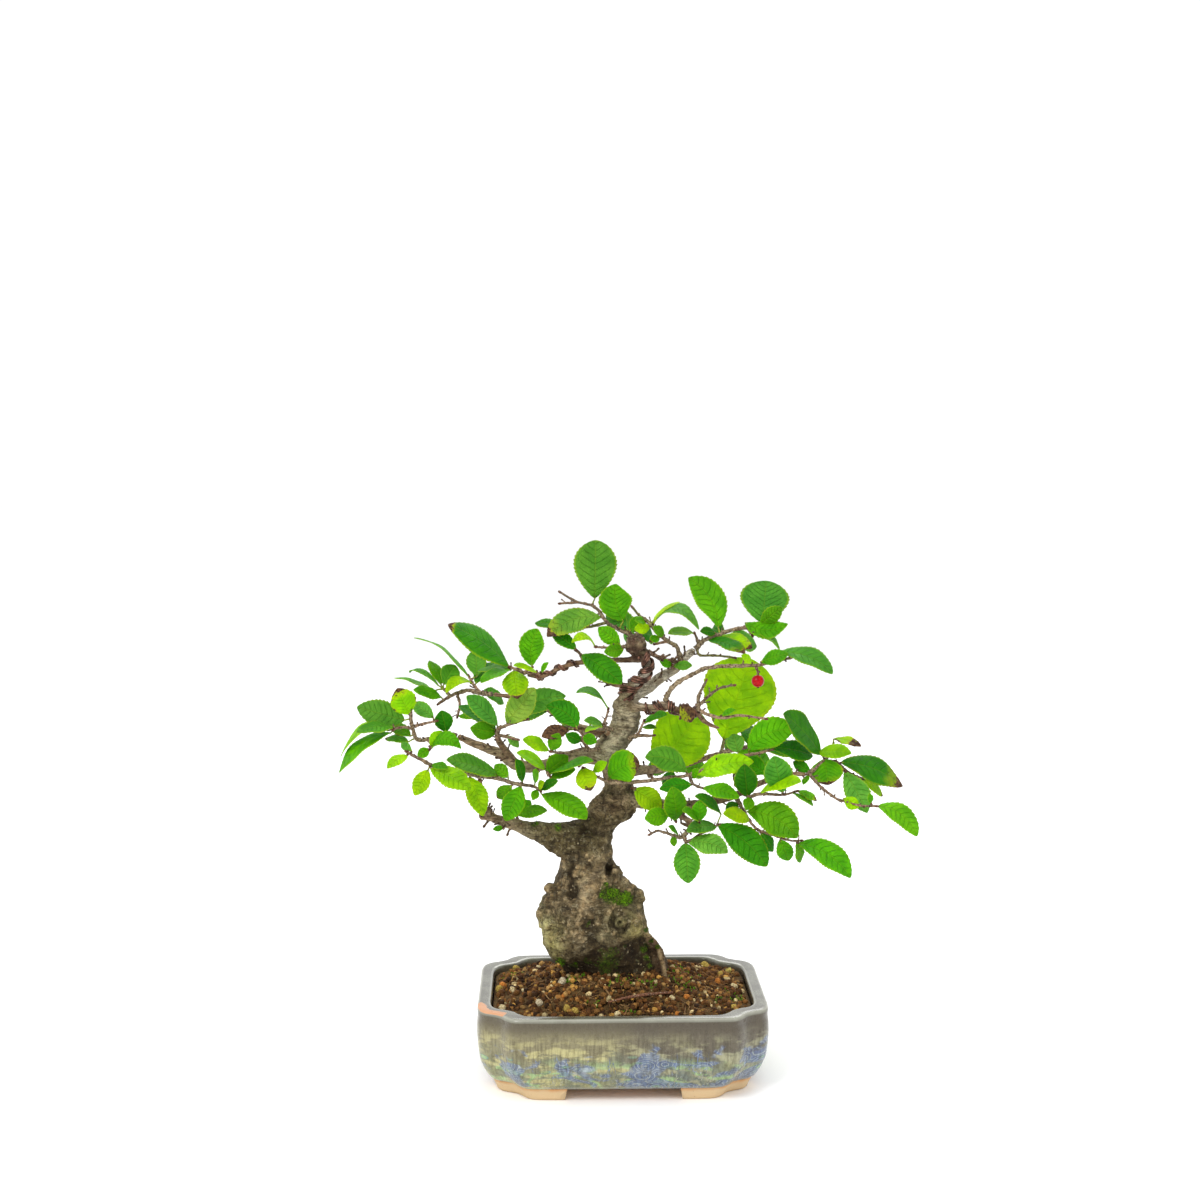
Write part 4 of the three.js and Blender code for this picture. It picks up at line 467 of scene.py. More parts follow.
# Lines: ribs, or grooves where the rise is negative.
BURR_LINES = [
    (PALE_RIB, 3.0, 2.1), ([(-9.1, 96.8), (-6.6, 91.7)], 1.6, 0.9), ([(-4.7, 96), (-5, 87.9)], 1.1, -1.9),
    ([(-2.8, 86.5), (-6.6, 82.0)], 1.6, 1.2), ([(-20, 96), (-22, 88), (-23, 80)], 2.0, -2.2),
    ([(-14, 91), (-18, 85), (-20, 80)], 1.0, -1.2),
    ([(-30, 62), (-20, 60), (-10, 61), (-7, 66)], 1.3, -0.9),
    ([(-9.1, 64.8), (-5.3, 60.9), (-9.1, 58.4)], 1.1, 0.9),
    ([(-36, 86), (-28, 87), (-20, 85)], 1.3, -1.2), ([(-16, 108), (-8, 104), (-1, 106)], 1.5, -1.4),
    ([(-12, 126), (-2, 123), (6, 126)], 1.5, -1.3),
    ([(14.2, 58.2), (17.4, 53), (19.3, 42.1), (19.3, 36.2)], 1.1, 0.7),
    ([(-8, 120), (1, 117)], 1.2, -1.0), ([(18, 53.7), (21.2, 48.5), (23.7, 45.9)], 0.9, 0.6),
    ([(-12, 134), (0, 131)], 1.0, -0.8), ([(-12.2, 143.4), (-7.8, 148.4)], 1.2, -1.3),
    ([(-6.5, 152.4), (4, 152.8)], 0.8, -0.7), ([(-5.5, 156.8), (2.5, 155.6)], 0.8, -0.7),
    ([(-9, 148), (1.5, 146.4)], 0.8, -0.6), ([(-5, 161), (1, 163)], 0.9, 0.8),
]
# The burr's lower edge in the front view; below it the wood is a mossy mound, painted dark as damp wood and
# as painted shade under the burr.
BURR_FOOT = [
    (-60, 56), (-36.8, 54.7), (-31.7, 48.9), (-25.5, 47.2), (-16.6, 49.4), (-11.6, 55.2), (-4, 55.8),
    (3.5, 57), (11.1, 60.8), (13.2, 58), (15, 46), (60, 44),
]
# Bark tones. The hollow tone is painted shade for crevices and recesses; the damp tone is partly damp wood
# and partly painted shade under the burr.
BARK_TONES = {
    "twig": (158, 124, 96), "limb": (188, 172, 138), "grey": (232, 224, 204), "burr": (111, 97, 69),
    "neck": (108, 96, 64), "rough": (172, 152, 116), "upper": (208, 198, 166), "knob": (98, 74, 60),
    "rib": (182, 162, 126), "pale": (200, 186, 144), "dark": (84, 70, 44), "bump": (212, 186, 140),
    "damp_and_under_shade": (66, 50, 26), "painted_hollow_shade": (46, 36, 20),
}
KNOT_AT = (-0.1, 65.5)
# Stains: u, v, size, tone and strength. The darkest of them, laid in the burr's pits and grooves, are
# painted shade.
STAINS_AND_PIT_SHADE = [
    (-33, 62, 7.0, (220, 214, 148), 1.0), (-31, 54, 6.0, (166, 160, 96), 0.7),
    (1, 66, 6.5, (116, 118, 74), 0.75), (7.5, 61.5, 4.0, (190, 178, 112), 0.9),
    (9, 76, 6.0, (84, 84, 48), 0.7), (-9, 71, 4.0, (64, 54, 26), 0.6), (-8, 59, 4.5, (128, 128, 98), 0.5),
    (-20, 58, 5.0, (150, 136, 108), 0.5), (-26, 76.5, 6.5, (84, 72, 50), 0.8),
    (-20.5, 80, 3.6, (46, 38, 26), 0.85), (-15, 108, 9.0, (92, 80, 52), 0.6),
    (-36, 107, 7.0, (128, 122, 76), 0.45), (-5, 118, 6.0, (112, 90, 66), 0.5),
    (-17, 102, 4.5, (66, 56, 34), 0.8), (-9.1, 95, 2.4, (176, 158, 120), 0.7),
    (-4.8, 92, 2.0, (50, 40, 24), 0.8), (-13.6, 66, 4.4, (74, 60, 32), 0.85),
    (-7, 104, 3.2, (176, 158, 118), 0.6), (-19, 63, 2.2, (74, 56, 30), 0.6),
    (17.5, 53, 4.0, (84, 66, 40), 0.9), (21.5, 43, 5.0, (78, 60, 38), 0.9),
    (23.5, 48, 3.4, (88, 68, 44), 0.8), (-22, 72, 4.0, (70, 58, 38), 0.5),
    (-31, 71, 5.0, (88, 79, 60), 0.7), (-28, 89, 5.5, (88, 77, 56), 0.6),
    (-24, 69, 3.6, (82, 72, 52), 0.6),
]
# Moss on the wood: u, v, size and thickness.
MOSS_SPOTS = [
    (-4.2, 78.5, 5.2, 1.15), (1.2, 75.5, 4.4, 1.1), (-6.3, 82, 2.6, 0.8), (-14, 65, 2.6, 0.66),
    (-20, 60, 2.0, 0.56), (-26, 48, 3.0, 0.85), (-20, 46, 2.4, 0.75), (11, 54, 2.6, 0.85),
    (8, 50, 3.0, 0.7), (-2, 50, 4.0, 0.6), (3, 55, 2.2, 0.66), (13.5, 46, 2.0, 0.8),
    (-37.8, 110.3, 2.4, 0.8), (-32.8, 112.2, 2.6, 0.8), (-27.2, 108.4, 2.8, 0.8), (13, 49, 3.6, 0.66),
    (13.6, 57.5, 1.8, 0.9), (16.4, 54.5, 1.4, 0.8), (11, 62, 1.6, 0.7), (-4, 41, 8.0, 0.5),
    (-30, 44, 4.0, 0.5),
]
# Pale roots that run down in front of the mound: line, width and strength.
PALE_ROOTS = [
    ([(16.6, 53), (18.6, 47), (19.6, 42.1), (19.6, 36.2)], 0.68, 0.85),
    ([(19.5, 52), (22.5, 46.5)], 0.6, 0.4),
]
LIP_CHIP = [(-60.5, -26.5), (-58.0, -36.8), (-52.0, -40.2)]

# Things on the soil, by where they lie in plan: single stones, pale roots and moss.
STONE_TONES = {
    "cream": (222, 206, 160), "white": (216, 204, 172), "tan": (196, 170, 84), "orange": (200, 128, 56),
    "yellow": (206, 190, 104),
}
NOTED_STONES = [
    ("cream", -47.4, -4.9, 1.7), ("cream", -42.5, -9.4, 1.5), ("white", -25.9, -13.1, 2.2),
    ("white", -35.7, -26.9, 2.3), ("tan", -24.0, -33.5, 2.2), ("tan", -20.7, -35.8, 2.2),
    ("cream", -51.5, -27.0, 2.2), ("cream", -43.8, -38.5, 1.8), ("cream", -2.7, -40.5, 1.7),
    ("cream", 21.0, -27.3, 1.6), ("orange", 22.7, -37.4, 1.5), ("orange", 43.1, 2.0, 2.2),
    ("tan", 39.9, 32.3, 2.2), ("yellow", 50.0, 24.7, 2.0), ("yellow", 48.4, -34.3, 2.0),
    ("cream", 50.4, 0.1, 2.0), ("orange", -51.9, 2.7, 2.2), ("tan", -53.5, -0.6, 2.2),
    ("tan", -46.7, 33.4, 2.4), ("orange", 27.5, -25.2, 1.5), ("tan", 47.4, -28.0, 1.6),
    ("cream", -36.5, 21.5, 1.6), ("tan", 45.4, 15.9, 2.0), ("orange", -25.4, -24.5, 1.3),
]
ROOT_LINES = [
    ([(-28.3, 5.5), (-24.3, 2.0), (-21.3, -5.6)], 0.3),
    ([(-21.2, 1.9), (-18.3, -8.3), (-16.3, -18.3)], 0.35),
    ([(-11.1, -12.8), (-8.6, -18.5), (-5.0, -28.3)], 0.75),
    ([(7.4, -36.5), (10.5, -31.8), (15.4, -31.3)], 0.3),
    ([(25.8, -38.4), (26.4, -33.4), (28.9, -25.9)], 0.3),
    ([(0.3, -41.0), (2.6, -34.8), (6.5, -33.3)], 0.3),
    ([(-30.3, -27.6), (-35.3, -17.8), (-38.2, -21.0)], 0.28),
    ([(-38.4, 5.8), (-33.4, 12.6), (-30.3, 34.1)], 0.3),
]
SOIL_MOSS = [
    (52.0, -17.0, 2.4, 46), (27.3, 0.8, 3.6, 46), (27.4, -12.7, 3.0, 28), (-48.9, 20.3, 2.2, 20),
    (-19.3, -9.5, 1.8, 16), (-22.4, -12.8, 2.0, 16), (-11.9, -31.3, 1.4, 8), (1.9, -38.5, 1.4, 8),
    (-23.0, 28.6, 3.2, 24), (1.0, -15.0, 3.2, 22), (-4.0, -18.0, 2.5, 14), (25.1, 6.1, 2.5, 20),
    (47.6, -9.9, 1.8, 10), (13.6, 36.7, 3.0, 22), (12.3, -16.0, 2.6, 18), (42.0, -22.0, 1.6, 8),
]
TRUNK_VOXEL = 0.555
# How each wire is drawn: from and to along its limb, turns per length as a share of the model's,
# strands side by
# side, how slim each is, and its lift.
WIRE_LOOKS = {
    "wire_up_a": (0.08, 0.84, 0.42, 3, 0.92, 0.2), "wire_up_b": (0.08, 0.84, 0.42, 3, 0.92, 0.2),
    "wire_right": (0.17, 0.68, 0.48, 3, 0.85, 0.2), "wire_left": (0.5, 0.95, 0.6, 2, 0.75, 0.0),
}
# Leaves that are widest nearer the tip, by where the tip shows: where, how round, and how much wider.
LEAF_FORMS = {
    (56.3, 182.5): (1.42, 0.58, 1.13), (35, 158.4): (1.32, 0.60, 1.08), (-11, 234.2): (1.34, 0.60, 1.02),
    (63, 216.4): (1.25, 0.58, 1.04), (29.2, 217.8): (1.12, 0.70, 1.10), (71, 158): (1.16, 0.66, 1.10),
    (-36, 195.7): (1.20, 0.66, 1.05), (75.8, 151): (1.16, 0.64, 1.12), (29.8, 83): (1.05, 0.66, 1.05),
    (32, 160): (1.1, 0.6, 1.35),
}


# Numbers to geometry


def unit(vector):
    return vector / max(np.linalg.norm(vector), 1e-9)


def seen(u, v, depth):
    """The point at front-view (u, v) and the given depth."""
    k = (depth - EYE[1]) / -EYE[1]
    return np.array([EYE[0] + (u - EYE[0]) * k, depth, EYE[2] + (v - EYE[2]) * k])


def shown_at(points):
    """The front-view u and v of many points."""
    k = (points[:, 1] - EYE[1]) / -EYE[1]
    return EYE[0] + (points[:, 0] - EYE[0]) / k, EYE[2] + (points[:, 2] - EYE[2]) / k


def smooth_step(value, low, high):
    t = np.clip((value - low) / (high - low), 0, 1)
    return t * t * (3 - 2 * t)


def colour(red, green, blue):
    """A colour given in screen numbers, 0 to 255, as linear light."""
    return np.array([((c / 255 + 0.055) / 1.055) ** 2.4 if c > 10 else c / 255 / 12.92 for c in (red,
        green, blue)])


def curve_through(points, count):
    """A centripetal Catmull-Rom curve through the points, with count points spread evenly by number."""
    points = np.asarray(points, float)
    last = len(points) - 1
    made = []
    for t in np.linspace(0, last, count):
        i = min(int(t), last - 1)
        w = t - i
        p1, p2 = points[i], points[i + 1]
        p0 = points[i - 1] if i > 0 else 2 * p1 - p2
        p3 = points[i + 2] if i + 2 <= last else 2 * p2 - p1
        d0, d1, d2 = (max(np.linalg.norm(b[:3] - a[:3]) ** 0.5, 1e-4) for a, b in ((p0, p1), (p1, p2),
            (p2, p3)))
        m1 = ((p1 - p0) / d0 - (p2 - p0) / (d0 + d1) + (p2 - p1) / d1) * d1
        m2 = ((p2 - p1) / d1 - (p3 - p1) / (d1 + d2) + (p3 - p2) / d2) * d1
        made.append(p1 + m1 * w + (3 * (p2 - p1) - 2 * m1 - m2) * w**2 + (m1 + m2 - 2 * (p2 - p1)) * w**3)
    return np.array(made)


def value_noise(points, size, seed=0):
    """Smooth noise from -1 to 1 at many points, with lumps about size across."""
    p = points / size + 37.7
    cell = np.floor(p).astype(np.int64)
    f = p - cell
    f = f * f * (3 - 2 * f)

    def corner(dx, dy, dz):
        n = (cell[:, 0] + dx) * 374761393 + (cell[:, 1] + dy) * 668265263 + (cell[:, 2] + dz) * 1274126177
        n = (n + seed * 977) & 0xFFFFFFFF
        n = ((n ^ (n >> 13)) * 1103515245) & 0xFFFFFFFF
        n = ((n ^ (n >> 15)) * 2246822519) & 0xFFFFFFFF
        return ((n ^ (n >> 16)) & 0xFFFF) / 32767.5 - 1

    total = 0
    for dx in (0, 1):
        for dy in (0, 1):
            for dz in (0, 1):
                weight = (
                    (f[:, 0] if dx else 1 - f[:, 0])
                    * (f[:, 1] if dy else 1 - f[:, 1])
                    * (f[:, 2] if dz else 1 - f[:, 2])
                )
                total = total + weight * corner(dx, dy, dz)
    return total


def layered_noise(points, size, layers, seed=0):
    total = 0
    for layer in range(layers):
        total = total + value_noise(points, size / 2**layer, seed + layer) / 2**layer
    return total / (2 - 0.5 ** (layers - 1))


def carried_frames(path):
    """Two directions square to a path at each of its points, carried along it without twist."""
    tangents = np.gradient(path, axis=0)
    tangents /= np.maximum(np.linalg.norm(tangents, axis=1, keepdims=True), 1e-9)
    side = np.array([0.31, 0.2, 0.93])
    sides = []
    for tangent in tangents:
        side = unit(side - tangent * (side @ tangent))
        sides.append(side)
    sides = np.array(sides)
    return sides, np.cross(tangents, sides)


class Shape:
    """A mesh under construction, with a colour, leaf coordinates and a blemish at each of its points."""

    def __init__(self):
        self.points = []
        self.faces = []
        self.slots = []
        self.flat = []
        self.tints = []
        self.leaves = []
        self.marks = []
        self.count = 0

    def add(self, points, faces, slot=0, flat=False, tint=(1, 1, 1), leaf=(0, 0, 0), mark=0.0):
        points = np.asarray(points, float)
        n = len(points)
        self.points.append(points)
        self.faces.extend(tuple(i + self.count for i in face) for face in faces)
        self.slots.extend([slot] * len(faces))
        self.flat.extend(list(flat) if isinstance(flat, (list, tuple)) else [flat] * len(faces))
        self.tints.append(np.broadcast_to(np.asarray(tint, float), (n, 3)))
        self.leaves.append(np.broadcast_to(np.asarray(leaf, float), (n, 3)))
        self.marks.append(np.broadcast_to(np.asarray(mark, float), (n,)))
        self.count += n

    def finish(self, name, materials):
        points = (np.concatenate(self.points) + SHIFT) * MM
        mesh = bpy.data.meshes.new(name)
        mesh.from_pydata(points.tolist(), [], self.faces)
        for material in materials:
            mesh.materials.append(material)
        mesh.polygons.foreach_set("material_index", self.slots)
        flat = np.array(self.flat, bool)
        mesh.polygons.foreach_set("use_smooth", ~flat)
        tints = np.concatenate(self.tints)
        paint(mesh, "tint", np.hstack([tints, np.ones((len(tints), 1))]))
        leaf = mesh.attributes.new("leaf", "FLOAT_VECTOR", "POINT")
        leaf.data.foreach_set("vector", np.concatenate(self.leaves).ravel())
        mark = mesh.attributes.new("mark", "FLOAT", "POINT")
        mark.data.foreach_set("value", np.concatenate(self.marks))
        mesh.update()
        piece = bpy.data.objects.new(name, mesh)
        bpy.context.scene.collection.objects.link(piece)
        return piece


def paint(mesh, name, values):
    layer = mesh.attributes.new(name, "FLOAT_COLOR", "POINT")
    layer.data.foreach_set("color", np.asarray(values, float).ravel())


def tube(path, radii, sides, lumps=0.0, seed=0):
    """Points and faces of a closed round tube along a path, its ends drawn in to a point."""
    path = np.asarray(path, float)
    radii = np.broadcast_to(np.asarray(radii, float), (len(path),))
    side, across = carried_frames(path)
    angles = np.linspace(0, 2 * math.pi, sides, endpoint=False)
    rings = (
        path[:, None]
        + radii[:, None, None] * (side[:, None] * np.cos(angles)[:, None] + across[:,
            None] * np.sin(angles)[:, None])
    ).reshape(-1, 3)
    if lumps:
        wobble = 1 + lumps * layered_noise(rings, 2.2, 2, seed)
        centres = np.repeat(path, sides, axis=0)
        rings = centres + (rings - centres) * wobble[:, None]
    steps = len(path)
    ends = np.array([path[0] - (path[1] - path[0]) * 0.15,
        path[-1] + unit(path[-1] - path[-2]) * radii[-1] * 0.7])
    faces = [
        (a * sides + j, a * sides + (j + 1) % sides, (a + 1) * sides + (j + 1) % sides, (a + 1) * sides + j)
        for a in range(steps - 1)
        for j in range(sides)
    ]
    first, last = steps * sides, steps * sides + 1
    faces += [(first, (j + 1) % sides, j) for j in range(sides)]
    end = (steps - 1) * sides
    faces += [(last, end + j, end + (j + 1) % sides) for j in range(sides)]
    return np.vstack([rings, ends]), faces


def limb_path(limb, per_part):
    points = np.array([[*seen(u, v, depth), radius] for u, v, depth, radius in limb])
    made = curve_through(points, (len(limb) - 1) * per_part + 1)
    return made[:, :3], np.maximum(made[:, 3], 0.2)


def ball(centre, radii, rings=6, sides=8, axis=(0, 0, 1)):
    """Points and faces of a rounded lump."""
    axis = unit(np.asarray(axis, float))
    side = unit(np.cross(axis, [0.36, 0.8, 0.48]))
    across = np.cross(axis, side)
    points = []
    for i in range(1, rings):
        polar = math.pi * i / rings
        for j in range(sides):
            angle = 2 * math.pi * j / sides
            points.append(
                side * radii[0] * math.sin(polar) * math.cos(angle)
                + across * radii[1] * math.sin(polar) * math.sin(angle)
                - axis * radii[2] * math.cos(polar)
            )
    points += [-axis * radii[2], axis * radii[2]]
    faces = [
        (i * sides + j, i * sides + (j + 1) % sides, (i + 1) * sides + (j + 1) % sides, (i + 1) * sides + j)
        for i in range(rings - 2)
        for j in range(sides)
    ]
    low, high = (rings - 1) * sides, (rings - 1) * sides + 1
    end = (rings - 2) * sides
    faces += [(low, (j + 1) % sides, j) for j in range(sides)]
    faces += [(high, end + j, end + (j + 1) % sides) for j in range(sides)]
    return np.array(points) + np.asarray(centre, float), faces


def placed(piece, slot, *nodes):
    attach(piece, "root")
    if nodes:
        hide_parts(*nodes)
    return piece


# Materials


class Graph:
    """A material under construction, with its Principled shader."""

    def __init__(self, name, **values):
        self.material = bpy.data.materials.new(name)
        self.material.use_nodes = True
        self.tree = self.material.node_tree
        self.shader = self.tree.nodes["Principled BSDF"]
        self.out = self.tree.nodes["Material Output"]
        for key, value in values.items():
            self.shader.inputs[key.replace("_", " ")].default_value = value

    def put(self, socket, value):
        if isinstance(value, bpy.types.NodeSocket):
            self.tree.links.new(value, socket)
        elif isinstance(value, (tuple, list, np.ndarray)) and socket.type == "RGBA":
            socket.default_value = (*value, 1)
        else:
            socket.default_value = value

    def node(self, kind, inputs, **settings):
        made = self.tree.nodes.new(kind)
        for key, value in settings.items():
            setattr(made, key, value)
        for key, value in inputs.items():
            self.put(made.inputs[key], value)
        return made

    def place(self, stretch=(1, 1, 1)):
        """Where the point is on the piece, in millimetres."""
        coordinates = self.node("ShaderNodeTexCoord", {}).outputs["Object"]
        scale = tuple(share / MM for share in stretch)
        return self.node("ShaderNodeVectorMath", {0: coordinates, 1: scale},
            operation="MULTIPLY").outputs[0]

    def attribute(self, name, output="Color"):
        return self.node("ShaderNodeAttribute", {}, attribute_name=name).outputs[output]

    def math(self, operation, a, b=0.0, clamp=False):
        return self.node("ShaderNodeMath", {0: a, 1: b}, operation=operation, use_clamp=clamp).outputs[0]

    def ramp(self, value, low, high, start=0.0, end=1.0):
        inputs = {"Value": value, "From Min": low, "From Max": high, "To Min": start, "To Max": end}
        return self.node("ShaderNodeMapRange", inputs, interpolation_type="SMOOTHSTEP").outputs[0]

    def mix(self, share, a, b, blend="MIX"):
        return self.node("ShaderNodeMix", {0: share, 6: a, 7: b}, data_type="RGBA",
            blend_type=blend).outputs[2]

    def noise(self, place, size, detail=3.0, roughness=0.55, distortion=0.0):
        inputs = {"Vector": place, "Scale": 1 / size, "Detail": detail, "Roughness": roughness,
            "Distortion": distortion}
        return self.node("ShaderNodeTexNoise", inputs).outputs["Fac"]

    def cells(self, place, size, feature="F1", output="Distance"):
        return self.node("ShaderNodeTexVoronoi", {"Vector": place, "Scale": 1 / size},
            feature=feature).outputs[output]

    def parts(self, vector):
        return self.node("ShaderNodeSeparateXYZ", {0: vector}).outputs

    def bump(self, height, depth, strength=1.0, normal=None):
        inputs = {"Height": height, "Distance": depth * MM, "Strength": strength}
        if normal is not None:
            inputs["Normal"] = normal
        return self.node("ShaderNodeBump", inputs).outputs[0]

    def finish(self, base, roughness=None, normal=None):
        self.put(self.shader.inputs["Base Color"], base)
        if roughness is not None:
            self.put(self.shader.inputs["Roughness"], roughness)
        if normal is not None:
            self.put(self.shader.inputs["Normal"], normal)
        return self.material


def leaf_material():
    g = Graph("leaf_blade", Specular_IOR_Level=0.15)
    place = g.place()
    tint = g.attribute("tint")
    across, vein_at, outward = g.parts(g.attribute("leaf", "Vector"))
    edge = g.math("ABSOLUTE", across)
    blotch = g.noise(place, 6.0, 4.0)
    sway = g.math("MULTIPLY", g.math("SUBTRACT", g.noise(place, 4.5, 2.0), 0.5), 0.5)
    midrib = g.ramp(edge, 0.06, 0.26, 1.0, 0.0)
    side_vein = g.ramp(g.math("PINGPONG", g.math("ADD", vein_at, sway), 0.5), 0.0, 0.10, 1.0, 0.0)
    side_vein = g.math("MULTIPLY", side_vein, g.ramp(outward, 0.55, 0.98, 1.0, 0.0))
    net = g.ramp(g.cells(place, 1.2, "DISTANCE_TO_EDGE"), 0.0, 0.16, 1.0, 0.0)
    speckle = g.noise(place, 1.1, 3.0, 0.6)
    shade = g.mix(g.ramp(blotch, 0.36, 0.64), g.mix(1.0, tint, (0.60, 0.76, 0.60), "MULTIPLY"), tint)
    shade = g.mix(g.ramp(speckle, 0.40, 0.60, 0.28, 0.0), shade, g.mix(1.0, tint, (0.62, 0.78, 0.7),
        "MULTIPLY"))
    shade = g.mix(g.math("MULTIPLY", net, 0.16), shade, g.mix(1.0, tint, (0.68, 0.80, 0.7), "MULTIPLY"))
    pale = g.mix(0.30, tint, (0.50, 0.68, 0.05))
    shade = g.mix(g.math("MULTIPLY", midrib, 0.45), shade, pale)
    # Painted shade: the side veins are painted darker, as shade lying in their impressed creases, most
    # strongly on leaves with least red in their tint.
    vein_shade_strength = g.ramp(g.parts(tint)[0], 0.17, 0.32, 0.55, 0.2)
    shade = g.mix(g.math("MULTIPLY", side_vein, vein_shade_strength), shade, g.mix(1.0, tint, (0.50, 0.66, 0.5),
        "MULTIPLY"))
    rim = g.ramp(outward, 0.88, 0.99, 0.0, 0.75)
    shade = g.mix(rim, shade, g.mix(0.5, tint, (0.52, 0.62, 0.02)))
    mark = g.attribute("mark", "Fac")
    blemish = g.ramp(g.math("ADD", mark, g.noise(place, 1.3, 4.0)), 0.92, 1.04)
    yellowed = g.ramp(g.math("ADD", mark, g.math("MULTIPLY", blotch, 0.4)), 0.42, 0.75)
    shade = g.mix(g.math("MULTIPLY", yellowed, 0.75), shade, (0.48, 0.54, 0.01))
    shade = g.mix(blemish, shade, g.mix(g.ramp(speckle, 0.38, 0.62), (0.060, 0.030, 0.020), (0.20, 0.11,
        0.05)))
    veins = g.math("MAXIMUM", midrib, side_vein)
    height = g.math("ADD", g.math("MULTIPLY", veins, -1.0), g.math("MULTIPLY", net, -0.35))
    normal = g.bump(height, 0.34, 1.0)
    roughness = g.ramp(g.noise(place, 2.5), 0.3, 0.7, 0.42, 0.58)
    g.finish(shade, roughness, normal)
    bright = g.mix(1.0, shade, (1.9, 1.45, 0.4), "MULTIPLY")
    through = g.node("ShaderNodeBsdfTranslucent", {"Color": bright})
    both = g.node("ShaderNodeMixShader", {0: 0.40, 1: g.shader.outputs[0], 2: through.outputs[0]})
    g.put(g.out.inputs["Surface"], both.outputs[0])
    return g.material


def stem_material():
    g = Graph("young_stem", Specular_IOR_Level=0.2)
    place = g.place()
    tint = g.attribute("tint")
    fleck = g.ramp(g.cells(place, 1.0), 0.14, 0.30, 1.0, 0.0)
    grain = g.noise(place, 0.8, 5.0, 0.72)
    shade = g.mix(g.ramp(grain, 0.40, 0.58), g.mix(1.0, tint, (0.26, 0.22, 0.20), "MULTIPLY"), tint)
    shade = g.mix(g.math("MULTIPLY", fleck, 0.5), shade, (0.56, 0.48, 0.34))
    height = g.math("ADD", grain, g.math("MULTIPLY", fleck, 0.5))
    return g.finish(shade, g.ramp(grain, 0.3, 0.7, 0.55, 0.8), g.bump(height, 0.45, 1.0))


def bark_material():
    g = Graph("old_bark", Specular_IOR_Level=0.2)
    place = g.place()
    tint = g.attribute("tint")
    smoothness = g.attribute("leaf", "Vector")
    smooth_share = g.parts(smoothness)[0]
    rough_share = g.math("SUBTRACT", 1.0, smooth_share)
    coarse = g.noise(place, 5.0, 6.0, 0.66)
    middling = g.noise(place, 1.9, 5.0, 0.72, 0.6)
    fine = g.noise(place, 0.7, 4.0, 0.7)
    shade = g.mix(g.ramp(coarse, 0.34, 0.60), g.mix(1.0, tint, (0.60, 0.55, 0.48), "MULTIPLY"), tint)
    dark = g.mix(1.0, shade, (0.24, 0.20, 0.14), "MULTIPLY")
    shade = g.mix(g.math("MULTIPLY", g.ramp(middling, 0.50, 0.34), g.ramp(smooth_share, 0.0, 1.0, 0.68,
        0.2)), shade, dark)
    light = g.mix(0.6, shade, (0.56, 0.50, 0.33))
    shade = g.mix(g.math("MULTIPLY", g.ramp(middling, 0.54, 0.66), 0.5), shade, light)
    shade = g.mix(g.ramp(fine, 0.36, 0.62, 0.45, 0.0), shade, g.mix(1.0, shade, (0.5, 0.45, 0.38),
        "MULTIPLY"))
    furrow_noise = g.noise(g.place((0.42, 0.42, 1.5)), 4.2, 3.0, 0.6, 1.2)
    furrow = g.ramp(g.math("ABSOLUTE", g.math("SUBTRACT", furrow_noise, 0.5)), 0.0, 0.018, 1.0, 0.0)
    line_noise = g.noise(g.place((0.3, 0.3, 2.4)), 3.2, 3.0, 0.6, 0.8)
    line = g.ramp(g.math("ABSOLUTE", g.math("SUBTRACT", line_noise, 0.5)), 0.0, 0.03, 0.55, 0.0)
    split_noise = g.noise(g.place((1.2, 1.2, 0.5)), 5.0, 3.0, 0.6, 1.0)
    split = g.ramp(g.math("ABSOLUTE", g.math("SUBTRACT", split_noise, 0.5)), 0.0, 0.016, 1.0, 0.0)
    crack = g.math("MAXIMUM", furrow, g.math("MULTIPLY", split, rough_share))
    crack = g.math("MAXIMUM", crack, g.math("MULTIPLY", line, smooth_share))
    shade = g.mix(g.math("MULTIPLY", crack, 0.72), shade, (0.030, 0.021, 0.013))
    pore = g.cells(place, 2.3)
    chance = g.ramp(g.noise(place, 4.2, 2.0), 0.50, 0.58)
    lenticel = g.math("MULTIPLY", g.math("MULTIPLY", g.ramp(pore, 0.14, 0.24, 1.0, 0.0), chance),
        rough_share)
    shade = g.mix(g.math("MULTIPLY", lenticel, 0.7), shade, (0.52, 0.42, 0.25))
    moss = g.attribute("mark", "Fac")
    moss_tone = g.mix(g.ramp(fine, 0.35, 0.65), (0.012, 0.026, 0.002), (0.10, 0.155, 0.008))
    covered = g.ramp(g.math("ADD", moss, g.math("MULTIPLY", middling, 0.7)), 0.74, 1.0)
    shade = g.mix(covered, shade, moss_tone)
    height = g.math("ADD", g.math("MULTIPLY", middling, 0.9), g.math("MULTIPLY", fine, 0.8))
    height = g.math("ADD", height, g.math("SUBTRACT", g.math("MULTIPLY", lenticel, 0.7),
        g.math("MULTIPLY", crack, 0.8)))
    return g.finish(shade, g.ramp(fine, 0.3, 0.7, 0.75, 0.95), g.bump(height, 0.75, 1.0))


def soil_material():
    g = Graph("potting_soil", Specular_IOR_Level=0.15)
    place = g.place()
    fine = g.noise(place, 0.9, 5.0, 0.7)
    crumbs = g.cells(place, 1.3, "F1", "Color")
    shade = g.mix(g.ramp(fine, 0.3, 0.7), (0.014, 0.008, 0.003), (0.12, 0.068, 0.024))
    shade = g.mix(g.math("MULTIPLY", g.parts(crumbs)[0], 0.35), shade, (0.26, 0.15, 0.05))
    return g.finish(shade, 0.95, g.bump(g.math("ADD", fine, g.cells(place, 1.3)), 0.8))


def grain_material():
    g = Graph("soil_grains", Specular_IOR_Level=0.18)
    place = g.place()
    fine = g.noise(place, 0.5, 4.0, 0.7)
    tint = g.attribute("tint")
    shade = g.mix(g.ramp(fine, 0.36, 0.64), g.mix(1.0, tint, (0.32, 0.26, 0.20), "MULTIPLY"), tint)
    return g.finish(shade, g.ramp(fine, 0.3, 0.7, 0.75, 0.98), g.bump(fine, 0.4))


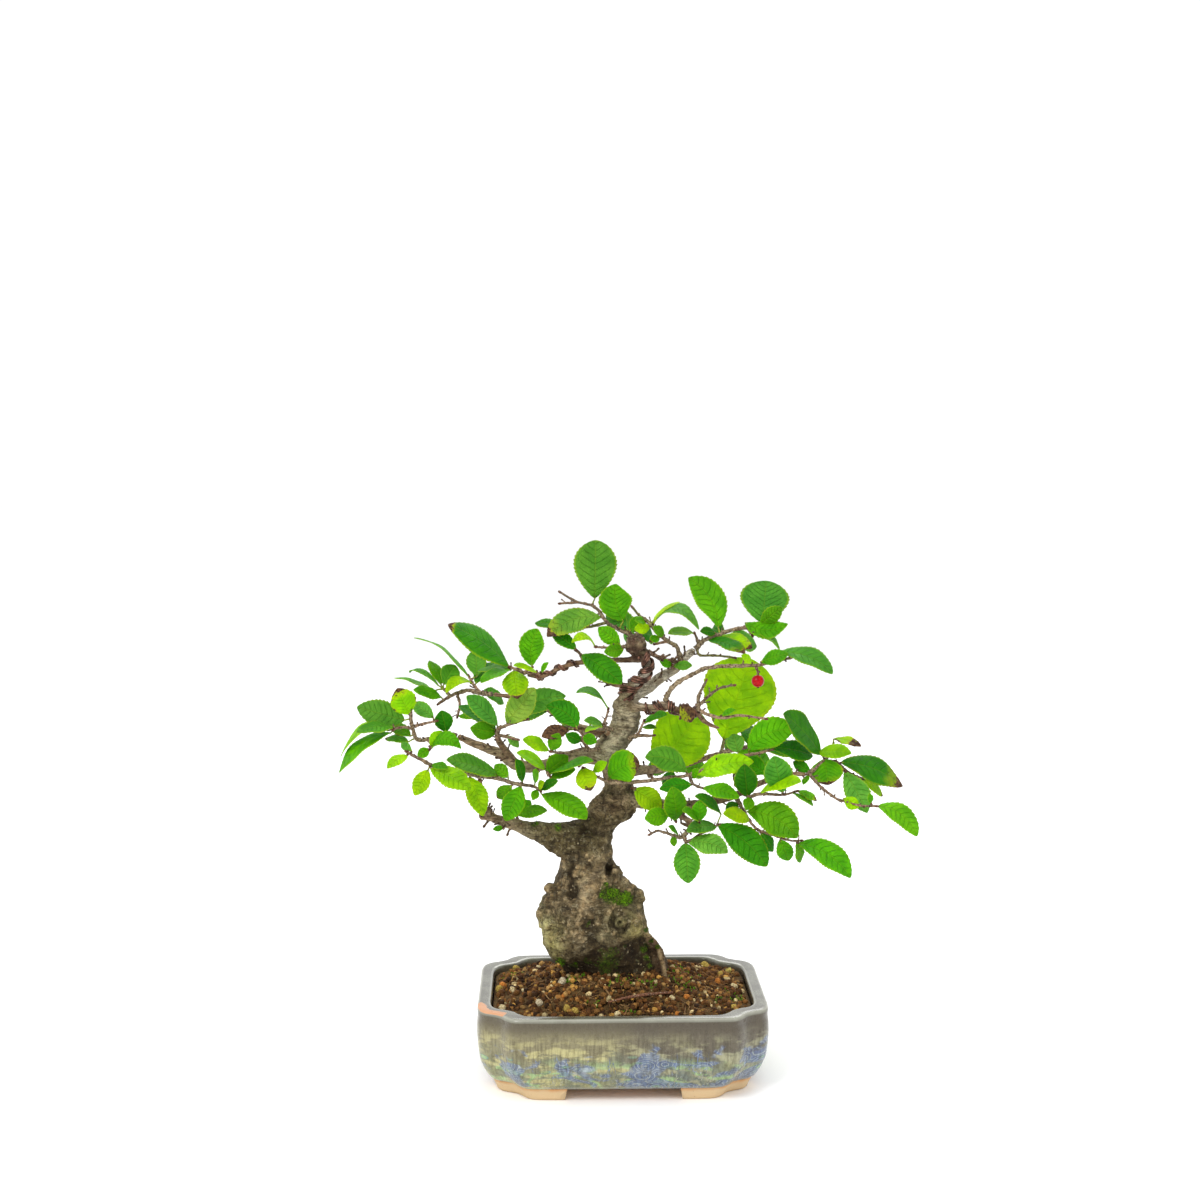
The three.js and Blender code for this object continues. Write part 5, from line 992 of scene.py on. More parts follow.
def moss_material():
    g = Graph("moss", Specular_IOR_Level=0.2)
    tint = g.attribute("tint")
    fine = g.noise(g.place(), 0.7, 3.0)
    shade = g.mix(fine, g.mix(1.0, tint, (0.55, 0.6, 0.5), "MULTIPLY"), tint)
    return g.finish(shade, 0.75, g.bump(fine, 0.1))


def wire_material():
    g = Graph("copper_wire", Metallic=0.75)
    place = g.place()
    patina = g.noise(place, 2.4, 4.0)
    shade = g.mix(g.ramp(patina, 0.35, 0.7), (0.045, 0.022, 0.015), (0.27, 0.13, 0.085))
    return g.finish(shade, g.ramp(patina, 0.3, 0.7, 0.28, 0.5), g.bump(g.noise(place, 0.4), 0.05))


def berry_material():
    g = Graph("berry_skin", Specular_IOR_Level=0.16)
    place = g.place()
    patch = g.noise(place, 1.8, 3.0)
    shade = g.mix(g.ramp(patch, 0.35, 0.7), (0.27, 0.0, 0.002), (0.43, 0.002, 0.006))
    speck = g.ramp(g.cells(place, 0.55), 0.08, 0.16, 1.0, 0.0)
    shade = g.mix(g.math("MULTIPLY", speck, 0.2), shade, (0.60, 0.10, 0.05))
    return g.finish(shade, g.ramp(patch, 0.3, 0.7, 0.18, 0.32), g.bump(patch, 0.05))


def screen_material():
    g = Graph("screen_plastic", Roughness=0.6)
    place = g.place()
    fine = g.noise(place, 1.2, 4.0)
    shade = g.mix(fine, (0.012, 0.012, 0.013), (0.035, 0.034, 0.033))
    return g.finish(shade, g.ramp(fine, 0.3, 0.7, 0.5, 0.75), g.bump(fine, 0.05))


def glaze_material():
    """A dark mottled glaze, olive to the left, with curling water, lily pads, reeds and mist on the
    walls."""
    g = Graph("mottled_glaze", Coat_Weight=0.35, Coat_Roughness=0.12, Specular_IOR_Level=0.3)
    place = g.place()
    x, y, z = g.parts(place)
    broad = g.noise(place, 22.0, 3.0)
    mottle = g.noise(place, 2.4, 6.0, 0.72)
    streak = g.noise(g.place((1, 1, 0.10)), 1.1, 4.0, 0.7)
    side = g.ramp(g.math("ADD", x, g.math("MULTIPLY", g.math("SUBTRACT", broad, 0.5), 90.0)), -22.0, 34.0)
    upper = g.mix(side, (0.215, 0.190, 0.100), (0.105, 0.088, 0.058))
    lower = g.mix(g.ramp(broad, 0.35, 0.65), (0.26, 0.26, 0.13), (0.13, 0.16, 0.15))
    drift = g.math("ADD", z, g.math("MULTIPLY", g.math("SUBTRACT", g.noise(place, 11.0, 3.0), 0.5), 34.0))
    shade = g.mix(g.ramp(drift, 14.0, 26.0), lower, upper)
    mist = g.ramp(g.noise(g.place((0.32, 0.32, 1)), 4.4, 4.0, 0.62), 0.48, 0.60)
    mist = g.math("MULTIPLY", mist, g.ramp(z, 20.0, 34.0, 0.9, 0.0))
    shade = g.mix(mist, shade, g.mix(side, (0.50, 0.46, 0.21), (0.34, 0.33, 0.20)))
    green = g.ramp(g.noise(g.place((0.5, 0.5, 1.2)), 6.0, 3.0, 0.55, 0.6), 0.53, 0.60)
    green = g.math("MULTIPLY", green, g.ramp(z, 13.0, 22.0, 0.85, 0.0))
    shade = g.mix(green, shade, (0.34, 0.50, 0.22))

    curl_at = g.node("ShaderNodeVectorMath", {0: g.place((0.62, 0.62, 1.1)), 1: g.noise(place, 7.0,
        2.0)}, operation="ADD").outputs[0]
    curl = g.cells(curl_at, 6.4)
    arcs = g.math("PINGPONG", g.math("MULTIPLY", curl, 7.0), 0.5)
    water_zone = g.ramp(g.noise(g.place((0.45, 0.45, 0.9)), 9.0, 3.0, 0.5, 0.8), 0.47, 0.53)
    water_top = g.math("ADD", z, g.math("MULTIPLY", g.math("SUBTRACT", g.noise(place, 9.0, 2.0), 0.5),
        26.0))
    water_zone = g.math("MULTIPLY", water_zone, g.ramp(water_top, 22.0, 25.0, 1.0, 0.0))
    shade = g.mix(g.math("MULTIPLY", water_zone, 0.72), shade, g.mix(mottle, (0.065, 0.095, 0.20), (0.16,
        0.23, 0.42)))
    foam = g.math("MULTIPLY", g.ramp(arcs, 0.30, 0.46), water_zone)
    shade = g.mix(g.math("MULTIPLY", foam, 0.75), shade, g.mix(mottle, (0.28, 0.36, 0.50), (0.52, 0.56,
        0.46)))

    pads_at = g.place((0.42, 0.42, 1.25))
    pad = g.ramp(g.cells(pads_at, 5.2), 0.22, 0.27, 1.0, 0.0)
    pad_zone = g.ramp(g.noise(g.place((0.6, 0.6, 1)), 12.0, 2.0), 0.48, 0.54)
    pad = g.math("MULTIPLY", g.math("MULTIPLY", pad, pad_zone), g.ramp(z, 19.0, 23.0, 1.0, 0.0))
    pad_rim = g.math("MULTIPLY", g.ramp(g.cells(pads_at, 5.2), 0.16, 0.23), pad)
    shade = g.mix(g.math("MULTIPLY", pad, 0.8), shade, g.mix(mottle, (0.20, 0.36, 0.13), (0.40, 0.58,
        0.30)))
    shade = g.mix(g.math("MULTIPLY", pad_rim, 0.7), shade, (0.10, 0.16, 0.24))
    clump = g.ramp(g.noise(g.place((0.8, 0.8, 0.12)), 7.0, 2.0), 0.52, 0.56)
    blade_noise = g.noise(g.place((1, 1, 0.13)), 1.7, 1.0, 0.4, 0.5)
    blade = g.ramp(g.math("ABSOLUTE", g.math("SUBTRACT", blade_noise, 0.5)), 0.0, 0.035, 1.0, 0.0)
    reed_top = g.math("ADD", z, g.math("MULTIPLY", g.noise(g.place((1, 1, 0)), 2.6, 2.0), 22.0))
    reed = g.math("MULTIPLY", g.math("MULTIPLY", clump, blade), g.ramp(reed_top, 30.0, 33.0, 1.0, 0.0))
    reed_tone = g.mix(g.ramp(reed_top, 18.0, 30.0), (0.50, 0.50, 0.34), (0.17, 0.25, 0.46))
    shade = g.mix(g.math("MULTIPLY", reed, 0.85), shade, reed_tone)

    shade = g.mix(g.ramp(streak, 0.38, 0.60, 0.55, 0.0), shade, g.mix(1.0, shade, (0.30, 0.27, 0.22),
        "MULTIPLY"))
    shade = g.mix(g.ramp(mottle, 0.54, 0.72, 0.0, 0.4), shade, (0.34, 0.32, 0.22))
    shade = g.mix(g.ramp(mottle, 0.30, 0.46, 0.5, 0.0), shade, g.mix(1.0, shade, (0.45, 0.42, 0.36),
        "MULTIPLY"))
    top_band = g.ramp(g.math("ADD", z, g.math("MULTIPLY", streak, 9.0)), 32.0, 39.0, 0.0, 0.8)
    shade = g.mix(top_band, shade, (0.060, 0.046, 0.028))
    rim = g.attribute("mark", "Fac")
    rim_tone = g.mix(g.ramp(g.noise(place, 12.0, 2.0), 0.35, 0.65), (0.090, 0.084, 0.060), (0.160, 0.160,
        0.120))
    shade = g.mix(rim, shade, rim_tone)
    rim_highlight, chip, _ = g.parts(g.attribute("leaf", "Vector"))
    speckle = g.ramp(g.noise(place, 0.8, 4.0, 0.7), 0.42, 0.60, 0.45, 0.0)
    shade = g.mix(g.math("MULTIPLY", speckle, rim), shade, (0.055, 0.050, 0.034))
    # Painted highlight: pale lines along the rim's outer and inner edges.
    shade = g.mix(g.math("MULTIPLY", rim_highlight, 0.62), shade, (0.42, 0.42, 0.35))
    foot_line = g.ramp(z, 5.0, 6.4, 1.0, 0.0)
    shade = g.mix(g.math("MULTIPLY", foot_line, 0.8), shade, (0.055, 0.065, 0.050))
    bare = g.ramp(g.math("ADD", chip, g.math("MULTIPLY", mottle, 0.5)), 0.62, 0.80)
    shade = g.mix(bare, shade, g.mix(mottle, (0.42, 0.17, 0.07), (0.66, 0.36, 0.20)))
    relief = g.math("ADD", g.math("MULTIPLY", foam, 0.9), g.math("ADD", reed, g.math("MULTIPLY", pad, 0.7)))
    height = g.math("MULTIPLY", g.math("ADD", g.math("MULTIPLY", mottle, 0.5), relief),
        g.math("SUBTRACT", 1.0, rim))
    wall_rough = g.math("MULTIPLY", g.ramp(mottle, 0.3, 0.75, 0.0, 0.2), g.math("SUBTRACT", 1.0, rim))
    roughness = g.math("ADD", g.math("ADD", wall_rough, 0.22), g.math("MULTIPLY", bare, 0.4))
    return g.finish(shade, roughness, g.bump(height, 0.30, 0.8))


def clay_material():
    g = Graph("bare_clay", Specular_IOR_Level=0.2)
    place = g.place()
    z = g.parts(place)[2]
    fine = g.noise(place, 0.7, 5.0, 0.65)
    flash = g.ramp(g.math("ADD", z, g.math("MULTIPLY", g.noise(place, 9.0, 3.0), 4.0)), 5.6, 8.2)
    shade = g.mix(flash, (0.64, 0.48, 0.28), (0.55, 0.25, 0.09))
    shade = g.mix(g.ramp(fine, 0.35, 0.75, 0.25, 0.0), shade, (0.55, 0.36, 0.20))
    speck = g.ramp(g.cells(place, 2.4), 0.04, 0.10, 1.0, 0.0)
    shade = g.mix(g.math("MULTIPLY", speck, 0.6), shade, (0.16, 0.08, 0.04))
    return g.finish(shade, g.ramp(fine, 0.3, 0.7, 0.75, 0.95), g.bump(fine, 0.15, 0.8))


def floor_material():
    g = Graph("pale_floor", Specular_IOR_Level=0.1)
    fine = g.noise(g.place(), 60.0, 2.0)
    return g.finish(g.mix(fine, (0.955, 0.955, 0.955), (0.975, 0.975, 0.975)), 0.7)


LEAF = leaf_material()
STEM = stem_material()
BARK = bark_material()
SOIL = soil_material()
GRAIN = grain_material()
MOSS = moss_material()
WIRE = wire_material()
BERRY = berry_material()
SCREEN = screen_material()
GLAZE = glaze_material()
CLAY = clay_material()


# Leaves and twigs


def nearest_on_twigs(twigs, u, v):
    """The point inside a spray's twigs that shows nearest to a leaf's base."""
    best, found = 1e9, None
    for twig in twigs:
        for a, b in zip(twig, twig[1:]):
            for k in range(1, 8):
                at = [p + (q - p) * k / 8 for p, q in zip(a, b)]
                distance = math.hypot(at[0] - u, at[1] - v)
                if distance < best:
                    best, found = distance, seen(*at[:3])
    return found


def leaf_frame(root, u0, v0, u1, v1, shown, lean, via):
    """A leaf's spine as three control points, its half width and its two directions."""
    base = seen(u0, v0, root[1])
    tip = seen(u1, v1, root[1] + lean)
    axis = tip - base
    length = np.linalg.norm(axis)
    view = unit(base - EYE)
    flat = unit(np.cross(axis, view))
    facing = unit(np.cross(flat, axis))
    if facing @ view > 0:
        facing = -facing
    width = max(shown, SLENDER * length)
    roll = math.acos(shown / width) * (-1 if flat[2] > 0 else 1)
    side = flat * math.cos(roll) + facing * math.sin(roll)
    up = facing * math.cos(roll) - flat * math.sin(roll)
    middle = (base + tip) / 2
    bend = 2 * seen(*via, root[1] + lean / 2) - middle if via else middle + up * ARCH * length
    return base, bend, tip, length, width / 2, side, up


def add_leaf(shape, twigs, leaf, rng):
    u0, v0, u1, v1, shown, lean, tone = leaf[:7]
    via = leaf[7] if len(leaf) > 7 else None
    root = nearest_on_twigs(twigs, u0, v0)
    base, bend, tip, length, half, side, up = leaf_frame(root, u0, v0, u1, v1, shown, lean, via)

    teeth = int(np.clip(length * 0.62, 5, 17))
    rows = np.array([(k + part) / teeth for k in range(teeth) for part in (0, 0.5, 0.88)] + [1.0])
    notch = np.array([0, 0.55, 1.0] * teeth + [0.0])
    shares = np.array([-1, -0.86, -0.62, -0.34, -0.1, 0, 0.1, 0.34, 0.62, 0.86, 1])
    t, s = rows[:, None], shares[None, :]

    spine = (1 - t) ** 2 * base + 2 * t * (1 - t) * bend + t**2 * tip
    tangent = 2 * (1 - t) * (bend - base) + 2 * t * (tip - bend)
    tangent /= np.linalg.norm(tangent, axis=1, keepdims=True)
    across = side - tangent * (tangent @ side)[:, None]
    across /= np.linalg.norm(across, axis=1, keepdims=True)
    out = np.cross(across, tangent)
    turned = (out @ up) < 0
    out[turned] *= -1

    fullness, widest = rng.uniform(0.66, 0.78), rng.uniform(1.02, 1.2)
    widest, fullness, wider = LEAF_FORMS.get((u1, v1), (widest, fullness, 1.0))
    outline = wider * np.sin(math.pi * t**widest) ** fullness
    reach = np.maximum(half * outline, 0.22)
    tooth = min(0.5, 0.024 * length) * notch[:, None] * np.sin(math.pi * t) ** 0.4
    place = s * reach + np.sign(s) * tooth * smooth_step(np.abs(s), 0.8, 1.0)
    ends = np.sin(math.pi * np.clip(t, 0.002, 0.998)) ** 0.5

    spacing = max(1.6, length / 8.5)
    vein = (t * length - (0.42 * np.abs(s) + 0.3 * s**2) * reach) / spacing
    fold, droop = rng.uniform(0.05, 0.20), rng.uniform(0.05, 0.20)
    phase, waves, swing = rng.uniform(0, 6.28), rng.uniform(1.0, 2.2), rng.uniform(0.008, 0.022)
    lift = fold * half * np.abs(s) - droop * half * s**2
    lift = lift + swing * length * s**2 * np.sin(2 * math.pi * waves * t + phase + (s > 0) * 1.9)
    quilt = (0.13 if tone in "dmt" else 0.08) * min(1.0, length / 14)
    lift = lift - quilt * np.cos(2 * math.pi * vein) * (1 - np.abs(s)) * np.abs(s) * 3.2
    lift = lift + rng.uniform(-0.02, 0.02) * length * s * np.sin(math.pi * t)
    lift = lift * ends
    rib = 0.34 * np.exp(-((place / 0.42) ** 2)) * (1 - 0.75 * t)

    middle = spine[:, None] + across[:, None] * place[..., None]
    normal = out[:, None] * np.ones((1, len(shares), 1))
    top = middle + normal * (lift + BLADE_THICK / 2)[..., None]
    under = middle + normal * (lift - BLADE_THICK / 2 - rib)[..., None]
    columns, count = len(shares), len(rows) * len(shares)

    faces, flat = [], []
    for i in range(len(rows) - 1):
        for j in range(columns - 1):
            a, b = i * columns + j, i * columns + j + 1
            c, d = b + columns, a + columns
            quads = [(a, b, c, d), (a + count, d + count, c + count, b + count)]
            faces += [quad[::-1] for quad in quads] if turned[0] else quads
            flat += [False, False]
    last = (len(rows) - 1) * columns
    border = [i * columns for i in range(len(rows))] + [last + j for j in range(1, columns)]
    border += [i * columns + columns - 1 for i in range(len(rows) - 2, -1,
        -1)] + [j for j in range(columns - 2, 0, -1)]
    for a, b in zip(border, border[1:] + border[:1]):
        wall = (a, b, b + count, a + count)
        faces.append(wall[::-1] if turned[0] else wall)
        flat.append(True)

    shade = colour(*TONES[tone]) * rng.uniform(0.88, 1.14)
    shade = shade * np.array([rng.uniform(0.85, 1.2), 1.0, rng.uniform(0.8, 1.25)])
    margin = np.abs(s) ** 4 * np.ones_like(t)
    tint = shade * (1 + 0.10 * (1 - t) + 0 * s)[..., None] * (1 - 0.06 * margin)[..., None]
    below = tint * 0.72 + 0.28 * np.array([0.30, 0.50, 0.12])
    old = BLEMISHED.get((u1, v1), 0)
    burn_from = 0.9 - 0.1 * old
    tip_burn = (0.85 if old else rng.choice([0, 0, 0, 0.5])) * smooth_step(t, burn_from, burn_from + 0.13)
    tip_burn = np.maximum(tip_burn * (0.75 + 0.25 * np.abs(s)), 0.36 * min(old, 1) * smooth_step(t, 0.45,
        0.8))
    edge_burn = old * 0.55 * np.abs(s) ** 5 * smooth_step(np.sin(9 * t + phase), 0.2, 0.9)
    mark = np.maximum(tip_burn, edge_burn) + max(0, old - 1) + (0.8 if tone == "x" else 0)
    guide = np.stack([place, vein, np.abs(s) + 0 * t], axis=-1).reshape(-1, 3)
    shape.add(
        np.vstack([top.reshape(-1, 3), under.reshape(-1, 3)]),
        faces,
        slot=0,
        flat=flat,
        tint=np.vstack([tint.reshape(-1, 3), below.reshape(-1, 3)]),
        leaf=np.vstack([guide, guide]),
        mark=np.concatenate([mark.ravel(), mark.ravel()]),
    )

    stalk_end = base + unit(bend - base) * min(1.2, 0.12 * length)
    sag = (root + base) / 2 + np.array([0, 0, 0.06 * np.linalg.norm(base - root)])
    path = curve_through([root, sag, base, stalk_end], 10)
    stalk = colour(150, 166, 52) * rng.uniform(0.8, 1.1)
    points, faces = tube(path, np.linspace(0.42, 0.26, len(path)), 6)
    shape.add(points, faces, slot=1, tint=stalk)
    if rng.random() < 0.6:
        points, faces = ball(root + unit(base - root) * 0.7, (0.62, 0.55, 0.85), 5, 6, base - root + 1e-6)
        shape.add(points, faces, slot=1, tint=colour(112, 84, 60))


def add_spur(shape, foot, out, along, radius, rng):
    """A short side shoot with a bud at its end, rooted in the wood at foot."""
    length = radius * rng.uniform(3.0, 7.5)
    middle = foot + unit(out + 0.5 * along) * length * 0.5
    tip = middle + unit(out + rng.uniform(-0.2, 1.1) * along + np.array([0, 0, 0.35])) * length * 0.5
    tone = colour(132, 106, 82) * rng.uniform(0.5, 1.2)
    points, faces = tube([foot - out * radius, foot, middle, tip], radius * np.array([1.3, 1.15, 0.85,
        0.8]), 6, 0.25, 5)
    shape.add(points, faces, slot=1, tint=tone)
    points, faces = ball(tip, (radius * 1.15, radius * 1.15, radius * 1.6), 4, 6, tip - middle)
    shape.add(points, faces, slot=1, tint=tone * 0.7)


def add_twig(shape, twig, rng):
    """A knobby twig with short spurs and buds."""
    path, radii = limb_path(twig, 8)
    steps = np.arange(len(radii))
    knots = 1 + 0.32 * np.maximum(0, np.sin(steps * 0.95 + rng.uniform(0, 6))) ** 5
    slim = 0.9 if radii[0] > 0.7 else 1.0
    inner = slice(1, len(path) - 1)
    path[inner] += 0.16 * radii[inner, None] * np.array([[rng.uniform(-1,
        1) for _ in range(3)] for _ in steps[inner]])
    old = colour(156, 138, 108)
    young = colour(*rng.choice([(142, 112, 86), (128, 108, 84), (150, 122, 96), (134, 132, 74), (176,
        142, 114)]))
    share = smooth_step(radii, 0.55, 1.1)[:, None]
    tone = (young * (1 - share) + old * share) * np.array([[rng.uniform(0.6, 1.15)] for _ in steps])
    points, faces = tube(path, radii * knots * slim, 9, 0.16, rng.randrange(99))
    shape.add(points, faces, slot=1, tint=np.vstack([np.repeat(tone, 9, axis=0), tone[0], tone[-1]]))
    for k in range(3, len(path) - 1, 3):
        aside = unit(np.array([rng.uniform(-1, 1), rng.uniform(-1, 1), rng.uniform(-0.6, 1)]))
        along = unit(path[k + 1] - path[k])
        chance = rng.random()
        if chance < 0.3:
            out = unit(aside - along * (aside @ along))
            add_spur(shape, path[k] + out * radii[k] * 0.6, out, along, rng.uniform(0.26, 0.4), rng)
        elif chance < 0.7:
            out = unit(aside - along * (aside @ along)) + 0.5 * along
            size = rng.uniform(0.30, 0.48)
            points, faces = ball(path[k] + out * radii[k] * 0.85, (size, size, size * rng.uniform(1.2,
                2.2)), 5, 6, out)
            shape.add(points, faces, slot=1, tint=colour(128, 96, 72) * rng.uniform(0.6, 1.3))
    end = path[-1] - path[-2]
    if radii[-1] < 0.75:
        points, faces = ball(path[-1] + unit(end) * 0.5, (0.6, 0.6, 1.0), 6, 7, end)
        shape.add(points, faces, slot=1, tint=colour(112, 74, 52))


def make_spray(number, name, spray):
    rng = random.Random(SEED + number)
    shape = Shape()
    for twig in spray["twigs"]:
        add_twig(shape, twig, rng)
    for leaf in spray["leaves"]:
        add_leaf(shape, spray["twigs"], leaf, rng)
    return placed(shape.finish(name + "_look", [LEAF, STEM]), "leaf", name)


# Trunk


def drawn(radii):
    """Radii as they are drawn: thin limbs a little slimmer than in the model."""
    return radii * (0.84 + 0.16 * smooth_step(radii, 1.3, 2.6))


def trunk_shape():
    """The trunk and its limbs as overlapping closed bodies, ready to be remeshed as one."""
    shape = Shape()
    levels = curve_through([[*seen(u, v, depth), wide, deep] for u, v, depth, wide, deep in TRUNK], 100)
    angles = np.linspace(0, 2 * math.pi, 48, endpoint=False)
    rings = []
    for x, y, z, wide, deep in levels:
        v = EYE[2] + (z - EYE[2]) / ((y - EYE[1]) / -EYE[1])
        lump = (
            1 + 0.045 * np.sin(3 * angles + 0.11 * v) * np.sin(angles) ** 2
            + 0.03 * np.sin(5 * angles - 0.2 * v)
        )
        rings.append(np.stack([x + wide * lump * np.cos(angles), y + deep * lump * np.sin(angles),
            z + 0 * angles], 1))
    sides = len(angles)
    points = np.vstack(rings)
    faces = [
        (a * sides + j, a * sides + (j + 1) % sides, (a + 1) * sides + (j + 1) % sides, (a + 1) * sides + j)
        for a in range(len(rings) - 1)
        for j in range(sides)
    ]
    faces += [tuple(range(sides))[::-1], tuple((len(rings) - 1) * sides + j for j in range(sides))]
    shape.add(points, faces)
    for limb in LIMBS:
        path, radii = limb_path(limb, 6)
        points, faces = tube(path, drawn(radii), 14)
        shape.add(points, faces)
    for u, v, depth, size in BURR_LUMPS:
        points, faces = ball(seen(u, v, depth), (size, size * 0.8, size * 0.85), 12, 16)
        shape.add(points, faces)
    return shape


def near_line(u, v, line):
    """How far points lie from a line of joined stretches in the front view."""
    best = np.full(len(u), 1e9)
    for (u0, v0), (u1, v1) in zip(line, line[1:]):
        du, dv = u1 - u0, v1 - v0
        t = np.clip(((u - u0) * du + (v - v0) * dv) / (du * du + dv * dv), 0, 1)
        best = np.minimum(best, np.hypot(u - u0 - t * du, v - v0 - t * dv))
    return best


def limb_radius(points):
    """The radius of the limb that each point belongs to, or of the trunk."""
    axes = [np.column_stack(limb_path(limb, 6)) for limb in LIMBS]
    axes.append(np.array([[*seen(u, v, depth), (wide + deep) / 2] for u, v, depth, wide, deep in TRUNK]))
    axis = np.vstack([a if a.ndim == 2 else a for a in axes])
    radius = np.zeros(len(points))
    for start in range(0, len(points), 8000):
        part = points[start : start + 8000]
        away = np.linalg.norm(part[:, None] - axis[None, :, :3], axis=2) - axis[None, :, 3]
        radius[start : start + 8000] = axis[np.argmin(np.abs(away), axis=1), 3]
    return radius


def scattered_bumps():
    """Small round bumps over the top and the left of the burr: u, v, size and rise."""
    rng = random.Random(SEED + 9)
    bumps = []
    for _ in range(230):
        u, v = rng.uniform(-38, 14), rng.uniform(57, 96)
        if rng.random() < (0.9 if u < -12 else 0.5):
            bumps.append((u, v, rng.uniform(0.55, 1.15), rng.uniform(0.5, 1.0)))
    for _ in range(34):
        bumps.append((rng.gauss(6.8, 2.6), rng.gauss(188.5, 2.6), rng.uniform(0.5, 0.9), rng.uniform(0.4,
            0.9)))
    return bumps


